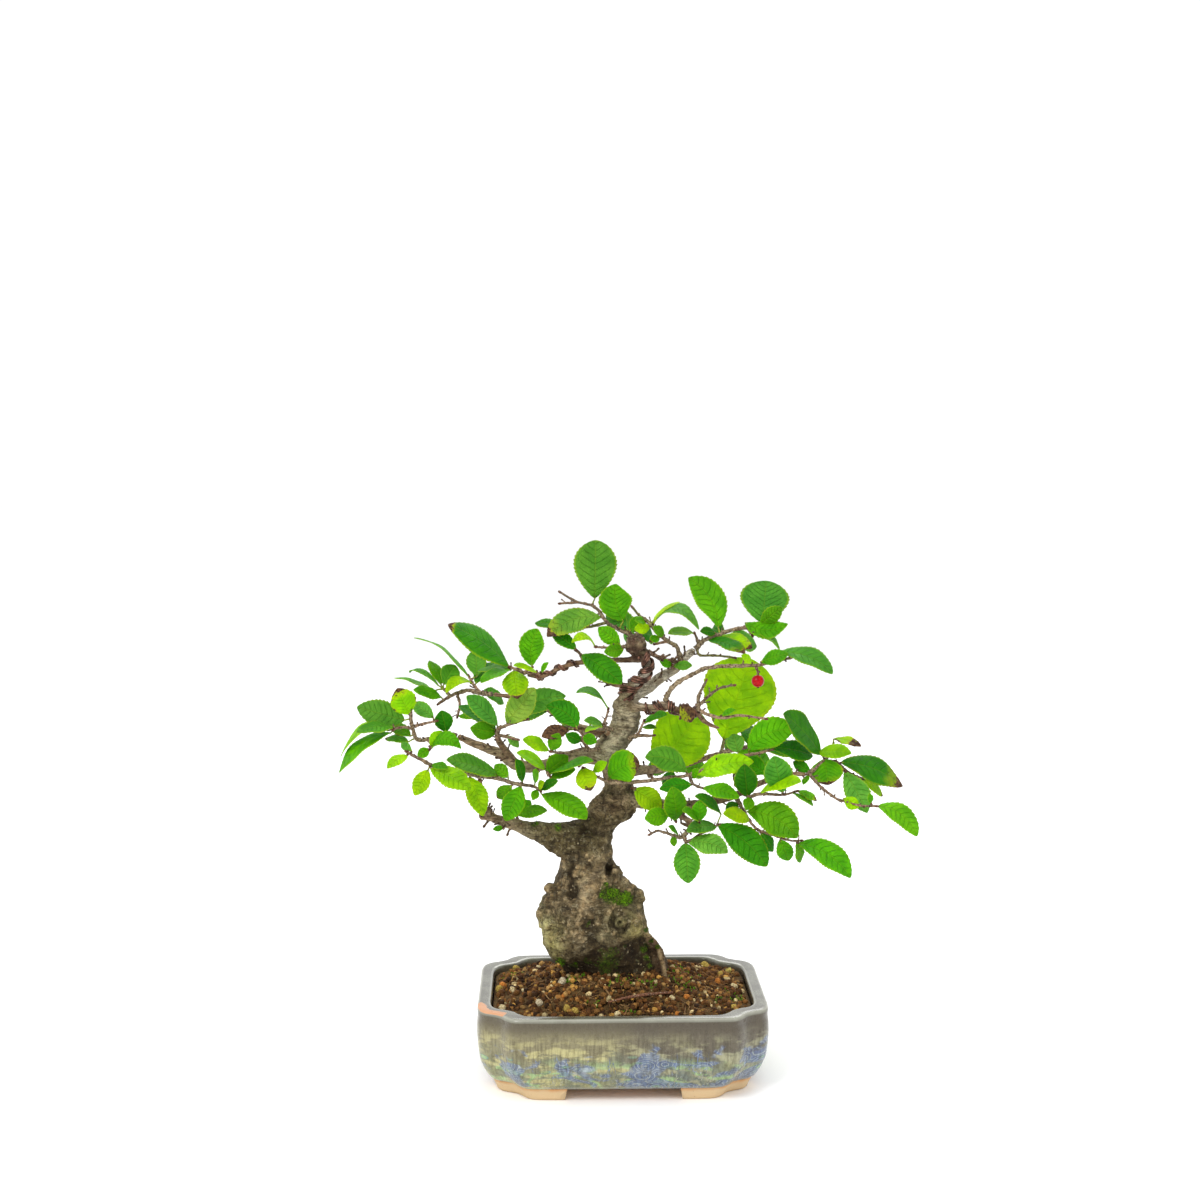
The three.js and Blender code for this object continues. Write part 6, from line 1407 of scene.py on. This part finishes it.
def carve_trunk(mesh):
    """Bark relief, burr forms, colour zones and painted light and shade on the remeshed wood."""
    count = len(mesh.vertices)
    points = np.empty(count * 3)
    mesh.vertices.foreach_get("co", points)
    points = points.reshape(-1, 3) / MM - SHIFT
    normals = np.empty(count * 3)
    mesh.vertex_normals.foreach_get("vector", normals)
    normals = normals.reshape(-1, 3)
    u, v = shown_at(points)
    front = smooth_step(-normals[:, 1], -0.1, 0.45)
    radius = limb_radius(points)
    thick = smooth_step(radius, 1.5, 8.0)
    burr = smooth_step(v, 96, 84) * thick

    height = np.zeros(count)
    bump_crest = np.zeros(count)
    for bu, bv, size, rise in BURR_MARKS + scattered_bumps():
        shape = np.exp(-((u - bu) ** 2 + (v - bv) ** 2) / size**2) * front
        height += rise * shape
        if 0 < rise and size < 1.7:
            bump_crest = np.maximum(bump_crest, shape)
    for line, size, rise in BURR_LINES:
        height += rise * np.exp(-((near_line(u, v, line) / size) ** 2)) * front
    ring = np.hypot(u - KNOT_AT[0], v - KNOT_AT[1])
    height += front * (1.5 * np.exp(-(((ring - 6.4) / 1.5) ** 2))
        - 1.7 * np.exp(-(((ring - 3.9) / 1.6) ** 2)))
    height += front * 1.1 * np.exp(-((ring / 1.9) ** 2))

    broad = layered_noise(points, 9.0, 2, 3)
    knobs = layered_noise(points * [1, 1, 1.3], 4.2, 3, 11)
    rough = layered_noise(points, 1.7, 3, 29)
    crease = 1 - np.abs(value_noise(points * [0.36, 0.36, 1.5] + 0.8 * broad[:, None], 2.6, 41)) * 2
    smooth_wood = np.exp(-((near_line(u, v, PALE_RIB) / 3.2) ** 2)) * front * burr
    quiet = 1 - 0.8 * smooth_wood
    height += burr * quiet * (1.4 * broad + 0.62 * knobs)
    height += (1 - burr) * thick * (0.45 * broad + 0.75 * knobs - 0.5 * smooth_step(crease, 0.45, 1.0))
    height += (0.24 + 0.30 * thick) * quiet * rough
    height += (1 - thick) * 0.18 * radius.clip(0, 2.5) * knobs
    knob = np.exp(-(((u - 6.8) / 5.5) ** 2) - ((v - 188.5) / 5.5) ** 2)
    height += knob * 0.9 * rough

    foot_line = np.interp(u, [p[0] for p in BURR_FOOT], [p[1] for p in BURR_FOOT])
    below = smooth_step(foot_line - v + 1.2 * knobs, -0.8, 2.2) * thick
    height -= 1.3 * below * front

    above_soil = smooth_step(points[:, 2], 30, 46)
    height = np.clip(height, -3.4, 2.4) * (0.35 + 0.65 * above_soil)
    slim = np.minimum(1.0, 0.22 * radius / 0.6)
    height = np.clip(height, -slim * 3.2, slim * 3.2)
    points = points + normals * height[:, None]
    mesh.vertices.foreach_set("co", ((points + SHIFT) * MM).ravel())

    def toward(now, tone, share):
        share = np.clip(share, 0, 1)[:, None]
        return now * (1 - share) + colour(*tone) * share

    tint = np.ones((count, 3)) * colour(*BARK_TONES["twig"])
    tint = toward(tint, BARK_TONES["limb"], smooth_step(radius, 1.0, 3.2))
    tint = toward(tint, BARK_TONES["burr"], thick)
    tint = toward(tint, BARK_TONES["neck"], smooth_step(v, 92, 100) * thick)
    tint = toward(tint, BARK_TONES["rough"], smooth_step(v, 112, 121) * thick)
    tint = toward(tint, BARK_TONES["upper"], smooth_step(v, 131, 140) * thick)
    tint = toward(tint, BARK_TONES["grey"], 0.75 * smooth_step(u, 3, 9) * smooth_step(v, 160,
        166) * smooth_step(radius, 1.2, 1.9))
    tint = toward(tint, BARK_TONES["knob"], 1.3 * np.exp(-(((u - 7) / 7.5) ** 2) - ((v - 187) / 9) ** 2))
    tint = toward(tint, BARK_TONES["rib"], 0.8 * smooth_wood)
    patches = layered_noise(points, 6.5, 3, 71)
    tint = toward(tint, BARK_TONES["pale"], 0.32 * smooth_step(patches, 0.15, 0.7) * thick)
    calm = 1 - 0.6 * smooth_step(v, 131, 140)
    tint = toward(tint, BARK_TONES["dark"], 0.55 * calm * smooth_step(-patches, 0.12, 0.7) * thick)
    tint = toward(tint, BARK_TONES["pale"], 0.35 * smooth_step(knobs + rough * 0.6, 0.15, 0.8))
    tint = toward(tint, BARK_TONES["bump"], 1.1 * bump_crest * (v < 100))
    # Painted shade: the sunken parts of the bark relief are painted dark, less so on the smooth upper
    # trunk.
    crevice_shade = smooth_step(-(0.6 * knobs + 0.7 * rough), 0.12, 0.62) * (0.25 + 0.75 * thick)
    tint = toward(tint, BARK_TONES["painted_hollow_shade"], 0.62 * crevice_shade * (1 - 0.6 * smooth_step(v, 131, 140)))
    for au, av, size, tone, share in STAINS_AND_PIT_SHADE:
        spread = np.exp(-((u - au) ** 2 + (v - av) ** 2) / size**2) * (0.8 + 0.6 * knobs) * share
        tint = toward(tint, tone, spread * smooth_step(-normals[:, 1], -0.5, 0.1))
    back_stain = smooth_step(broad + knobs * 0.4, 0.1, 0.8) * burr * (1 - front) * 0.5
    tint = toward(tint, (146, 144, 92), back_stain)
    # Damp wood and painted shade: the mound below the burr's lower edge, and low surfaces that face
    # sideways or down away from the front, are painted dark; the same mask feeds the moss.
    damp_and_under_shade = np.maximum(below, smooth_step(v, 58, 46) * smooth_step(normals[:, 2], 0.55,
        -0.1) * thick * (1 - front))
    tint = toward(tint, (92, 72, 50), 0.75 * smooth_step(v, 60, 52) * smooth_step(u, 8, 14))
    tint = toward(tint, BARK_TONES["damp_and_under_shade"], 0.85 * damp_and_under_shade)
    # Painted shade: wherever the carving pushes the wood in, and on the mound below the burr, it is painted
    # dark.
    tint = toward(tint, BARK_TONES["painted_hollow_shade"], 0.7 * smooth_step(height + 0.6 * below, 0.0, -1.5))
    # Painted light and shade: on the upper trunk the side that faces left is painted lighter and the side
    # that faces right darker, as if lit from the left.
    lit = smooth_step(v, 122, 136) * thick
    tint = tint * (1 - 0.50 * lit * smooth_step(normals[:, 0], 0.05, 0.85))[:, None]
    tint = tint * (1 + 0.22 * lit * smooth_step(-normals[:, 0], -0.1, 0.6))[:, None]
    for line, size, share in PALE_ROOTS:
        tint = toward(tint, (204, 178, 136), share * np.exp(-((near_line(u, v,
            line) / size) ** 4)) * (front > 0.02))

    moss = np.zeros(count)
    for mu, mv, size, share in MOSS_SPOTS:
        moss = np.maximum(moss, share * np.exp(-((u - mu) ** 2 + (v - mv) ** 2) / size**2) * (front > 0.02))
    moss = moss * (0.86 + 0.75 * layered_noise(points, 2.6, 3, 91))
    moss = np.maximum(moss, damp_and_under_shade * (0.38 + 0.4 * broad))
    moss = np.maximum(moss, smooth_step(normals[:, 2], 0.5, 0.95) * smooth_step(broad, 0.25,
        0.9) * burr * 0.8)
    paint(mesh, "tint", np.hstack([tint, np.ones((count, 1))]))
    mark = mesh.attributes.new("mark", "FLOAT", "POINT")
    mark.data.foreach_set("value", moss)
    smooth = np.clip(smooth_wood + smooth_step(v, 131, 142) * 0.8 + 0.5 * (1 - thick), 0, 1)
    leaf = mesh.attributes.new("leaf", "FLOAT_VECTOR", "POINT")
    leaf.data.foreach_set("vector", np.column_stack([smooth, 0 * smooth, 0 * smooth]).ravel())
    return points, normals, moss


def make_trunk():
    rough = trunk_shape().finish("trunk_parts", [BARK])
    rough.modifiers.new("one_skin", "REMESH").mode = "VOXEL"
    rough.modifiers["one_skin"].voxel_size = TRUNK_VOXEL * MM
    soften = rough.modifiers.new("soften", "SMOOTH")
    soften.factor = 0.5
    soften.iterations = 3
    graph = bpy.context.evaluated_depsgraph_get()
    mesh = bpy.data.meshes.new_from_object(rough.evaluated_get(graph))
    mesh.name = "trunk_look"
    bpy.data.objects.remove(rough)
    mesh.materials.clear()
    mesh.materials.append(BARK)
    points, normals, moss = carve_trunk(mesh)
    mesh.polygons.foreach_set("use_smooth", [True] * len(mesh.polygons))
    piece = bpy.data.objects.new("trunk_look", mesh)
    bpy.context.scene.collection.objects.link(piece)
    placed(piece, "bark", "trunk")
    return points, normals, moss


def make_spurs():
    """Short dead shoots and buds along the thinner limbs."""
    rng = random.Random(SEED + 5)
    shape = Shape()
    for limb in LIMBS[3:-1]:
        path, radii = limb_path(limb, 7)
        for k in range(2, len(path) - 1):
            if radii[k] < 3.2 and rng.random() < 0.42:
                aside = unit(np.array([rng.uniform(-1, 1), rng.uniform(-1, 0.6), rng.uniform(-0.6, 1)]))
                along = unit(path[k + 1] - path[k])
                out = unit(aside - along * (aside @ along))
                add_spur(shape, path[k] + out * radii[k] * 0.66, out, along, rng.uniform(0.34, 0.6), rng)
    u, v, depth, size = BURR_LUMPS[-1]
    centre = seen(u, v, depth)
    for _ in range(120):
        out = unit(np.array([rng.gauss(0, 1), rng.gauss(0, 1), rng.gauss(0, 1)]))
        bud = rng.uniform(0.35, 0.75)
        points, faces = ball(centre + out * size * 0.9, (bud, bud * 0.8, bud * rng.uniform(1.1, 1.8)), 4,
            6, out)
        shape.add(points, faces, slot=1, tint=colour(122, 98, 82) * rng.uniform(0.35, 1.2))
    return placed(shape.finish("limb_spurs", [STEM, STEM]), "bark")


# Wire, berry and the dry twig


def wire_strand(path, radii, start_share, end_share, turns, start):
    side, across = carried_frames(path)
    steps = int(turns * 26)
    points = []
    for i in range(steps + 1):
        at = (start_share + (end_share - start_share) * i / steps) * (len(path) - 1)
        k = min(int(at), len(path) - 2)
        w = at - k
        angle = start + 2 * math.pi * turns * i / steps
        out = radii[k] + WIRE_RADIUS
        centre = path[k] * (1 - w) + path[k + 1] * w
        points.append(centre + side[k] * out * math.cos(angle) + across[k] * out * math.sin(angle))
    return np.array(points)


def make_wire(name, limb, start_share, end_share, turns, start):
    """A copper wire laid in strands round its limb."""
    path, radii = limb_path(limb, 40)
    radii = drawn(radii)
    reach_from, reach_to, slower, strands, slimmer, lift = WIRE_LOOKS[name]
    turns = turns * slower * (reach_to - reach_from) / (end_share - start_share)
    start_share, end_share = reach_from, reach_to
    length = np.linalg.norm(np.diff(path, axis=0), axis=1).sum() * (end_share - start_share)
    beside = 2 * math.pi * 2.15 * WIRE_RADIUS * turns / length
    shape = Shape()
    for strand in range(strands):
        points = wire_strand(path, radii + lift, start_share, end_share, turns, start + strand * beside)
        verts, faces = tube(points, WIRE_RADIUS * slimmer, 10)
        shape.add(verts, faces)
    return placed(shape.finish(name + "_look", [WIRE]), "wire", name)


def make_berry():
    centre = seen(*BERRY_AT)
    shape = Shape()
    rings, sides = 28, 40
    profile = [(math.sin(math.pi * i / rings), -math.cos(math.pi * i / rings)) for i in range(1, rings)]
    points = []
    for share, level in profile:
        dimple = 0.07 * math.exp(-((1 - abs(level)) / 0.05))
        for j in range(sides):
            angle = 2 * math.pi * j / sides
            wide = share * (1 + 0.012 * math.sin(5 * angle))
            points.append([wide * math.cos(angle), wide * math.sin(angle), level * (1 - dimple)])
    points += [[0, 0, -0.9], [0, 0, 0.9]]
    faces = [
        (i * sides + j, i * sides + (j + 1) % sides, (i + 1) * sides + (j + 1) % sides, (i + 1) * sides + j)
        for i in range(rings - 2)
        for j in range(sides)
    ]
    low, high, end = (rings - 1) * sides, (rings - 1) * sides + 1, (rings - 2) * sides
    faces += [(low, (j + 1) % sides, j) for j in range(sides)]
    faces += [(high, end + j, end + (j + 1) % sides) for j in range(sides)]
    shape.add(np.array(points) * BERRY_RADIUS + centre, faces)
    for j in range(5):
        angle = 2 * math.pi * j / 5
        lobe = np.array([math.cos(angle), math.sin(angle), 0])
        foot = centre + [0, 0, -0.95 * BERRY_RADIUS]
        points, faces = tube([foot, foot + lobe * 0.35 - [0, 0, 0.2], foot + lobe * 0.62 - [0, 0, 0.42]],
            [0.26, 0.2, 0.08], 5)
        shape.add(points, faces, slot=1, tint=colour(62, 30, 20))
    top = centre + [0, 0, 0.9 * BERRY_RADIUS]
    points, faces = ball(top + [0, 0, 0.1], (0.75, 0.75, 0.3), 6, 10)
    shape.add(points, faces, slot=1, tint=colour(120, 110, 60))
    points, faces = tube([top, top + [0, 0, 0.5], top + [0.05, 0, 1.0]], [0.34, 0.3, 0.3], 7)
    shape.add(points, faces, slot=1, tint=colour(120, 110, 60))
    return placed(shape.finish("berry_look", [BERRY, STEM]), "berry", "berry")


def make_fallen_twig():
    rng = random.Random(SEED)
    shape = Shape()
    path, radii = limb_path([[-5.5, 29.6, -36.5, 0.45], *FALLEN_TWIG], 8)
    points, faces = tube(path, radii * 0.75, 10, 0.25, 5)
    shape.add(points, faces, tint=colour(128, 86, 62))
    for at in (6, 11, 17, 20):
        aside = np.array([rng.uniform(-1, 1), rng.uniform(-1, 0.4), rng.uniform(0.1, 0.5)])
        points, faces = ball(path[at] + unit(aside) * 0.6, (0.5, 0.5, 0.75), 5, 7, aside)
        shape.add(points, faces, tint=colour(140, 98, 78))
    return placed(shape.finish("fallen_twig_look", [STEM]), "bark", "fallen_twig")


# Pot


def pot_outline(inset, per_part=6):
    """The pot's plan outline, its corners cut back in a soft notch, moved in by inset."""
    x, y = POT_LONG / 2 - inset, POT_DEEP / 2 - inset
    quarter = [
        (x, y - 20), (x - 1, y - 14.5), (x - 3.4, y - 11.2), (x - 7.2, y - 9.2),
        (x - 10.4, y - 6.8), (x - 12.6, y - 3.4), (x - 15.5, y - 0.8), (x - 20, y),
    ]
    line = [(x, y - 40), *quarter, (x - 44, y)]
    soft = curve_through([[a, b, 0.0] for a, b in line], (len(line) - 1) * per_part + 1)[:, :2]
    soft = soft[per_part // 2 : -per_part // 2]
    mirror = [soft, soft[::-1] * [-1, 1], soft * [-1, -1], soft[::-1] * [1, -1]]
    return np.vstack(mirror)


def pot_ring(inset, z, share=1.0):
    ring = pot_outline(inset) * share
    return np.column_stack([ring, np.full(len(ring), z)])


def ring_body(rings):
    """Points and faces of a closed body through rings of equal count, flat at both ends."""
    sides = len(rings[0])
    faces = [
        (a * sides + j, a * sides + (j + 1) % sides, (a + 1) * sides + (j + 1) % sides, (a + 1) * sides + j)
        for a in range(len(rings) - 1)
        for j in range(sides)
    ]
    faces += [tuple(range(sides))[::-1], tuple((len(rings) - 1) * sides + j for j in range(sides))]
    return np.vstack(rings), faces


FOOT_PROFILE = [
    (FOOT_INSET + 1.9, 0.0), (FOOT_INSET + 1.3, 0.35), (FOOT_INSET + 0.9, 1.6), (FOOT_INSET - 0.2, 4.2),
    (FOOT_INSET - 1.0, FOOT_HIGH + 1.0),
]


def foot_body(sx, sy):
    """One corner foot: the pot's outline cut off straight along both walls, its inner ends sloped."""
    rings = []
    for inset, z in FOOT_PROFILE:
        slope = 0.9 * (1 - z / FOOT_HIGH)
        ring = pot_outline(inset)
        ring = ring[: len(ring) // 4]
        ring = np.column_stack([np.maximum(ring[:, 0], FOOT_FROM_X + slope), np.maximum(ring[:, 1],
            FOOT_FROM_Y + slope)])
        inner = [FOOT_FROM_X + slope, FOOT_FROM_Y + slope]
        start = [ring[0, 0], inner[1]]
        end = [inner[0], ring[-1, 1]]
        corner = np.vstack([start, ring[(ring[:, 0] > inner[0]) & (ring[:, 1] > inner[1])], end, inner])
        rings.append((corner * [sx, sy], z))
    fewest = min(len(ring) for ring, _ in rings)
    even = []
    for ring, z in rings:
        at = np.linspace(0, len(ring) - 2, fewest - 1)
        low = np.floor(at).astype(int)
        high = np.minimum(low + 1, len(ring) - 2)
        part = ring[low] * (1 - (at - low))[:, None] + ring[high] * (at - low)[:, None]
        ring = np.vstack([part, ring[-1]])
        even.append(np.column_stack([ring, np.full(len(ring), z)]))
    points, faces = ring_body(even)
    if sx * sy < 0:
        faces = [face[::-1] for face in faces]
    return points, faces


def make_pot():
    outside = [
        (7.6, FOOT_HIGH), (6.5, FOOT_HIGH + 0.15), (5.4, 6.2), (4.2, 7.9), (2.8, 10.6), (1.9, 13), (1.1,
            15.6),
        (0.4, 20.5), (0.05, 26), (0.15, 30), (0.5, 33.6), (0.4, 35), (0.3, 36.1), (0.6, 36.9), (1.2, 37.35),
        (2.0, POT_HIGH),
    ]
    inside = [
        (4.6, 37.45), (5.5, 37.25), (5.95, 36.8), (6.15, 36.2), (6.5, 30), (6.8, 20), (7.1, 14),
        (8.2, FLOOR_TOP + 2.2), (9.8, FLOOR_TOP + 0.7), (12, FLOOR_TOP),
    ]
    profile = curve_through([[inset, z, 0.0] for inset, z in outside], 70)[:, :2].tolist()
    profile += curve_through([[inset, z, 0.0] for inset, z in inside], 34)[:, :2].tolist()
    rings = [pot_ring(inset, z) for inset, z in profile]
    points, faces = ring_body(rings)
    warp = layered_noise(points, 16.0, 2, 7) * 0.22 + layered_noise(points, 3.0, 2, 8) * 0.05
    away = points[:, :2] / np.maximum(np.linalg.norm(points[:, :2], axis=1, keepdims=True), 1)
    points[:, :2] -= away * (np.abs(warp) * smooth_step(points[:, 2], 6, 12))[:, None]
    lip = np.repeat([smooth_step(z, 35.4, 36.6) * smooth_step(inset, 6.6, 6.0) for inset, z in profile],
        len(rings[0]))
    # Painted highlight along the rim's outer top edge and its inner edge, handed to the glaze.
    rim_highlight = np.repeat([math.exp(-(((inset - 0.8) / 0.5) ** 2)) * (z > 36)
        + 0.8 * math.exp(-(((inset - 5.4) / 0.35) ** 2)) for inset, z in profile], len(rings[0]))
    chip = np.exp(-((near_line(points[:, 0], points[:, 1],
        LIP_CHIP) / 2.6) ** 4)) * smooth_step(points[:, 2], 36.5, 37.0) * 0.8
    shape = Shape()
    shape.add(points, faces, leaf=np.column_stack([rim_highlight, chip, 0 * chip]), mark=lip)
    body = shape.finish("pot_look", [GLAZE, CLAY])
    helpers = []
    for sx in (-1, 1):
        for sy in (-1, 1):
            foot = Shape()
            points, faces = foot_body(sx, sy)
            foot.add(points, faces, slot=0)
            helpers.append((foot.finish("foot_part", [CLAY]), "UNION"))
    for sign in (-1, 1):
        drain = Shape()
        angles = np.linspace(0, 2 * math.pi, 48, endpoint=False)
        circle = np.column_stack([sign * DRAIN_AT + DRAIN_RADIUS * np.cos(angles),
            DRAIN_RADIUS * np.sin(angles)])
        rings = [np.column_stack([circle, np.full(48, z)]) for z in (1.0, FLOOR_TOP + 2)]
        points, faces = ring_body(rings)
        drain.add(points, faces, slot=0)
        helpers.append((drain.finish("drain_part", [CLAY]), "DIFFERENCE"))
    for helper, operation in helpers:
        cut = body.modifiers.new("cut", "BOOLEAN")
        cut.operation = operation
        cut.solver = "EXACT"
        cut.object = helper
        cut.material_mode = "TRANSFER"
    graph = bpy.context.evaluated_depsgraph_get()
    mesh = bpy.data.meshes.new_from_object(body.evaluated_get(graph))
    body.modifiers.clear()
    body.data = mesh
    for helper, _ in helpers:
        bpy.data.objects.remove(helper)
    mesh.materials.clear()
    mesh.materials.append(GLAZE)
    mesh.materials.append(CLAY)
    for face in mesh.polygons:
        level = face.center.z / MM
        face.material_index = 1 if level < FOOT_HIGH + 0.1 else 0
        face.use_smooth = not (level < FOOT_HIGH + 0.2 and abs(face.normal.z) > 0.98)
    return placed(body, "glaze", "pot")


# Soil and what lies on it


def heap_height(share):
    shares = [0.0, 0.15, 0.4, 0.58, 0.78, 0.96, 1.0]
    heights = [45.6, 45.4, 43.4, 40.2, 36.8, 35.0, 34.6]
    return np.interp(share, shares, heights)


EDGE = pot_outline(7.0)
EDGE_ANGLES = np.unwrap(np.arctan2(EDGE[:, 1], EDGE[:, 0]))
EDGE_REACH = np.linalg.norm(EDGE, axis=1)


def soil_share(x, y):
    """How far a plan point lies from the pot's middle, as a share of the way to its wall."""
    angle = np.mod(np.arctan2(y, x) - EDGE_ANGLES[0], 2 * math.pi) + EDGE_ANGLES[0]
    reach = np.interp(angle, np.append(EDGE_ANGLES, EDGE_ANGLES[0] + 2 * math.pi), np.append(EDGE_REACH,
        EDGE_REACH[0]))
    return np.hypot(x, y) / reach


def soil_top(x, y):
    x, y = np.atleast_1d(x), np.atleast_1d(y)
    flat = np.column_stack([x, y, 0 * x])
    return heap_height(soil_share(x, y)) + 0.55 * layered_noise(flat, 6.0, 3, 55)


def make_soil():
    rings = [pot_ring(inset + GAP, z) for inset, z in ((12.6, FLOOR_TOP + 1.6), (10.4, FLOOR_TOP + 2.2),
        (8.2, 15), (6.75, 33.4))]
    for share in np.linspace(1.0, 0.03, 60):
        ring = pot_ring(7.0, 0.0, share)
        ring[:, 2] = soil_top(ring[:, 0], ring[:, 1])
        rings.append(ring)
    points, faces = ring_body(rings)
    shape = Shape()
    shape.add(points, faces)
    return placed(shape.finish("soil_look", [SOIL]), "soil", "soil")


def stone(centre, size, rng, fine=False):
    """Points and faces of a small rough granule."""
    rings, sides = (7, 9) if fine else (5, 6)
    radii = [size * rng.uniform(0.75, 1.15) for _ in range(3)]
    axis = [rng.uniform(-1, 1) for _ in range(3)]
    points, faces = ball((0, 0, 0), radii, rings, sides, axis)
    points *= (1 + 0.30 * value_noise(points + rng.uniform(0, 99), size * 0.8, 3))[:, None]
    return points + centre, faces


def in_trunk(x, y):
    return ((x + 2) / 20) ** 2 + ((y - 3) / 12) ** 2 < 0.8


def make_grains():
    rng = random.Random(SEED + 1)
    shape = Shape()
    tones = [
        (104, 68, 32), (128, 88, 42), (84, 54, 24), (150, 108, 56), (68, 44, 20), (166, 130, 76), (190,
            146, 72),
        (210, 190, 140),
    ]
    weights = [22, 20, 19, 12, 16, 8, 5, 5]
    for _ in range(3700):
        x, y = rng.uniform(-54, 54), rng.uniform(-41, 41)
        if soil_share(x, y) > 0.965 or in_trunk(x, y):
            continue
        size = rng.choice([0.4, 0.5, 0.6, 0.75, 0.95, 1.2, 1.4])
        z = soil_top(x, y)[0] + size * rng.uniform(-0.3, 0.6)
        points, faces = stone((x, y, z), size, rng)
        tone = colour(*rng.choices(tones, weights)[0]) * rng.uniform(0.45, 1.65)
        shape.add(points, faces, tint=tone)
    for tone, x, y, size in NOTED_STONES:
        z = soil_top(x, y)[0] + size * 0.35
        points, faces = stone((x, y, z), 0.8 * size, rng, fine=True)
        shape.add(points, faces, tint=colour(*STONE_TONES[tone]) * rng.uniform(0.9, 1.1))
    return placed(shape.finish("soil_grains", [GRAIN]), "soil")


def make_roots():
    """Pale hair roots that run over the soil."""
    rng = random.Random(SEED + 2)
    shape = Shape()
    lines = [(line, radius) for line, radius in ROOT_LINES]
    for _ in range(210):
        x, y = rng.uniform(-50, 50), rng.uniform(-38, 38)
        heading = rng.uniform(0, 6.28)
        line = [(x, y)]
        for _ in range(4):
            heading += rng.uniform(-0.7, 0.7)
            x, y = x + 1.9 * math.cos(heading), y + 1.9 * math.sin(heading)
            line.append((x, y))
        if all(soil_share(*point) < 0.93 and not in_trunk(*point) for point in line):
            lines.append((line, rng.uniform(0.09, 0.18)))
    for line, radius in lines:
        lift = [soil_top(x, y)[0] + rng.uniform(0.2, 1.0) for x, y in line]
        path = curve_through([[x, y, z] for (x, y), z in zip(line, lift)], 6 * len(line))
        points, faces = tube(path, np.linspace(radius, radius * 0.5, len(path)), 5, 0.1)
        shape.add(points, faces, tint=colour(176, 140, 96) * rng.uniform(0.6, 1.15))
    return placed(shape.finish("fine_roots", [GRAIN]), "soil")


def tuft(shape, centre, normal, reach, rng, bright):
    """A few thin tapering moss leaves that stand up from one point."""
    for _ in range(4):
        lean = unit(normal + np.array([rng.uniform(-0.8, 0.8), rng.uniform(-0.8, 0.8), rng.uniform(-0.3,
            0.7)]))
        side = unit(np.cross(lean, [0.3, 0.5, 0.8])) * 0.17
        across = unit(np.cross(lean, side)) * 0.12
        length = reach * rng.uniform(0.6, 1.2)
        curl = np.array([rng.uniform(-0.3, 0.3), rng.uniform(-0.3, 0.3), 0.2]) * length * 0.4
        foot = centre - normal * 0.3
        middle = foot + lean * length * 0.6
        points = [foot + side, foot - side * 0.5 + across, foot - side * 0.5 - across]
        points += [middle + side * 1.1, middle - side * 0.6 + across, middle - side * 0.6 - across,
            foot + lean * length + curl]
        faces = [(2, 1, 0), (0, 1, 4, 3), (1, 2, 5, 4), (2, 0, 3, 5), (3, 4, 6), (4, 5, 6), (5, 3, 6)]
        tone = colour(112, 158, 16) * bright + colour(64, 84, 14) * (1 - bright)
        shape.add(points, faces, tint=tone * rng.uniform(0.6, 1.3))


def make_moss(points, normals, moss):
    rng = random.Random(SEED + 3)
    wood = Shape()
    mossy = [i for i in np.flatnonzero(moss > 0.42) if rng.random() < 0.34 * moss[i] ** 3]
    for i in rng.sample(mossy, min(len(mossy), 2900)):
        tuft(wood, points[i], normals[i], 1.0, rng, 0.25 + 0.7 * float(moss[i] > 0.62))
    placed(wood.finish("trunk_moss", [MOSS]), "bark")
    ground = Shape()
    for x0, y0, spread, amount in SOIL_MOSS:
        for _ in range(amount):
            x, y = rng.gauss(x0, spread), rng.gauss(y0, spread)
            if soil_share(x, y) < 0.95:
                tuft(ground, np.array([x, y, soil_top(x, y)[0]]), np.array([0, 0, 1.0]), 1.5, rng, 0.75)
    placed(ground.finish("soil_moss", [MOSS]), "soil")


# Camera, light and floor


def area_light(name, place, target, size, power, tone=(1, 1, 1)):
    data = bpy.data.lights.new(name, "AREA")
    data.shape = "DISK"
    data.size = size
    data.energy = power
    data.color = tone
    lamp = bpy.data.objects.new(name, data)
    bpy.context.scene.collection.objects.link(lamp)
    lamp.location = place
    lamp.rotation_euler = (Vector(target) - Vector(place)).to_track_quat("-Z", "Y").to_euler()


def make_studio():
    scene = bpy.context.scene
    camera = bpy.data.objects.new("camera", bpy.data.cameras.new("camera"))
    scene.collection.objects.link(camera)
    camera.location = (EYE + SHIFT) * MM
    camera.rotation_euler = (math.radians(90 - CAMERA_TILT), 0, math.radians(CAMERA_TURN))
    camera.data.lens = 58.3
    camera.data.sensor_width = 36
    camera.data.clip_start = 0.01
    scene.camera = camera

    floor = bpy.data.meshes.new("floor")
    floor.from_pydata([(-4, -3, 0), (4, -3, 0), (4, 5, 0), (-4, 5, 0)], [], [(0, 1, 2, 3)])
    floor.materials.append(floor_material())
    ground = bpy.data.objects.new("floor", floor)
    scene.collection.objects.link(ground)

    world = bpy.data.worlds.new("studio")
    world.use_nodes = True
    world.node_tree.nodes["Background"].inputs["Color"].default_value = (1, 1, 1, 1)
    world.node_tree.nodes["Background"].inputs["Strength"].default_value = 1.06
    scene.world = world
    middle = (0, 0, 0.12)
    area_light("key", (-0.55, -0.75, 0.95), middle, 0.6, 8.5)
    area_light("fill", (0.85, -0.55, 0.55), middle, 0.8, 1.4)
    area_light("back", (0.15, 0.85, 0.85), middle, 0.8, 5.0)
    scene.view_settings.view_transform = "Standard"


make_studio()
for number, (name, spray) in enumerate(SPRAYS.items()):
    make_spray(number, name, spray)
for name, wire in WIRES.items():
    make_wire(name, wire["limb"], wire["from"], wire["to"], wire["turns"], wire["start"])
wood_points, wood_normals, wood_moss = make_trunk()
make_spurs()
make_berry()
make_fallen_twig()
make_pot()
make_soil()
make_grains()
make_roots()
make_moss(wood_points, wood_normals, wood_moss)
for node in ("drain_screen_left", "drain_screen_right"):
    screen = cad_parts[node]
    screen.data.materials.clear()
    screen.data.materials.append(SCREEN)

bpy.context.view_layer.update()
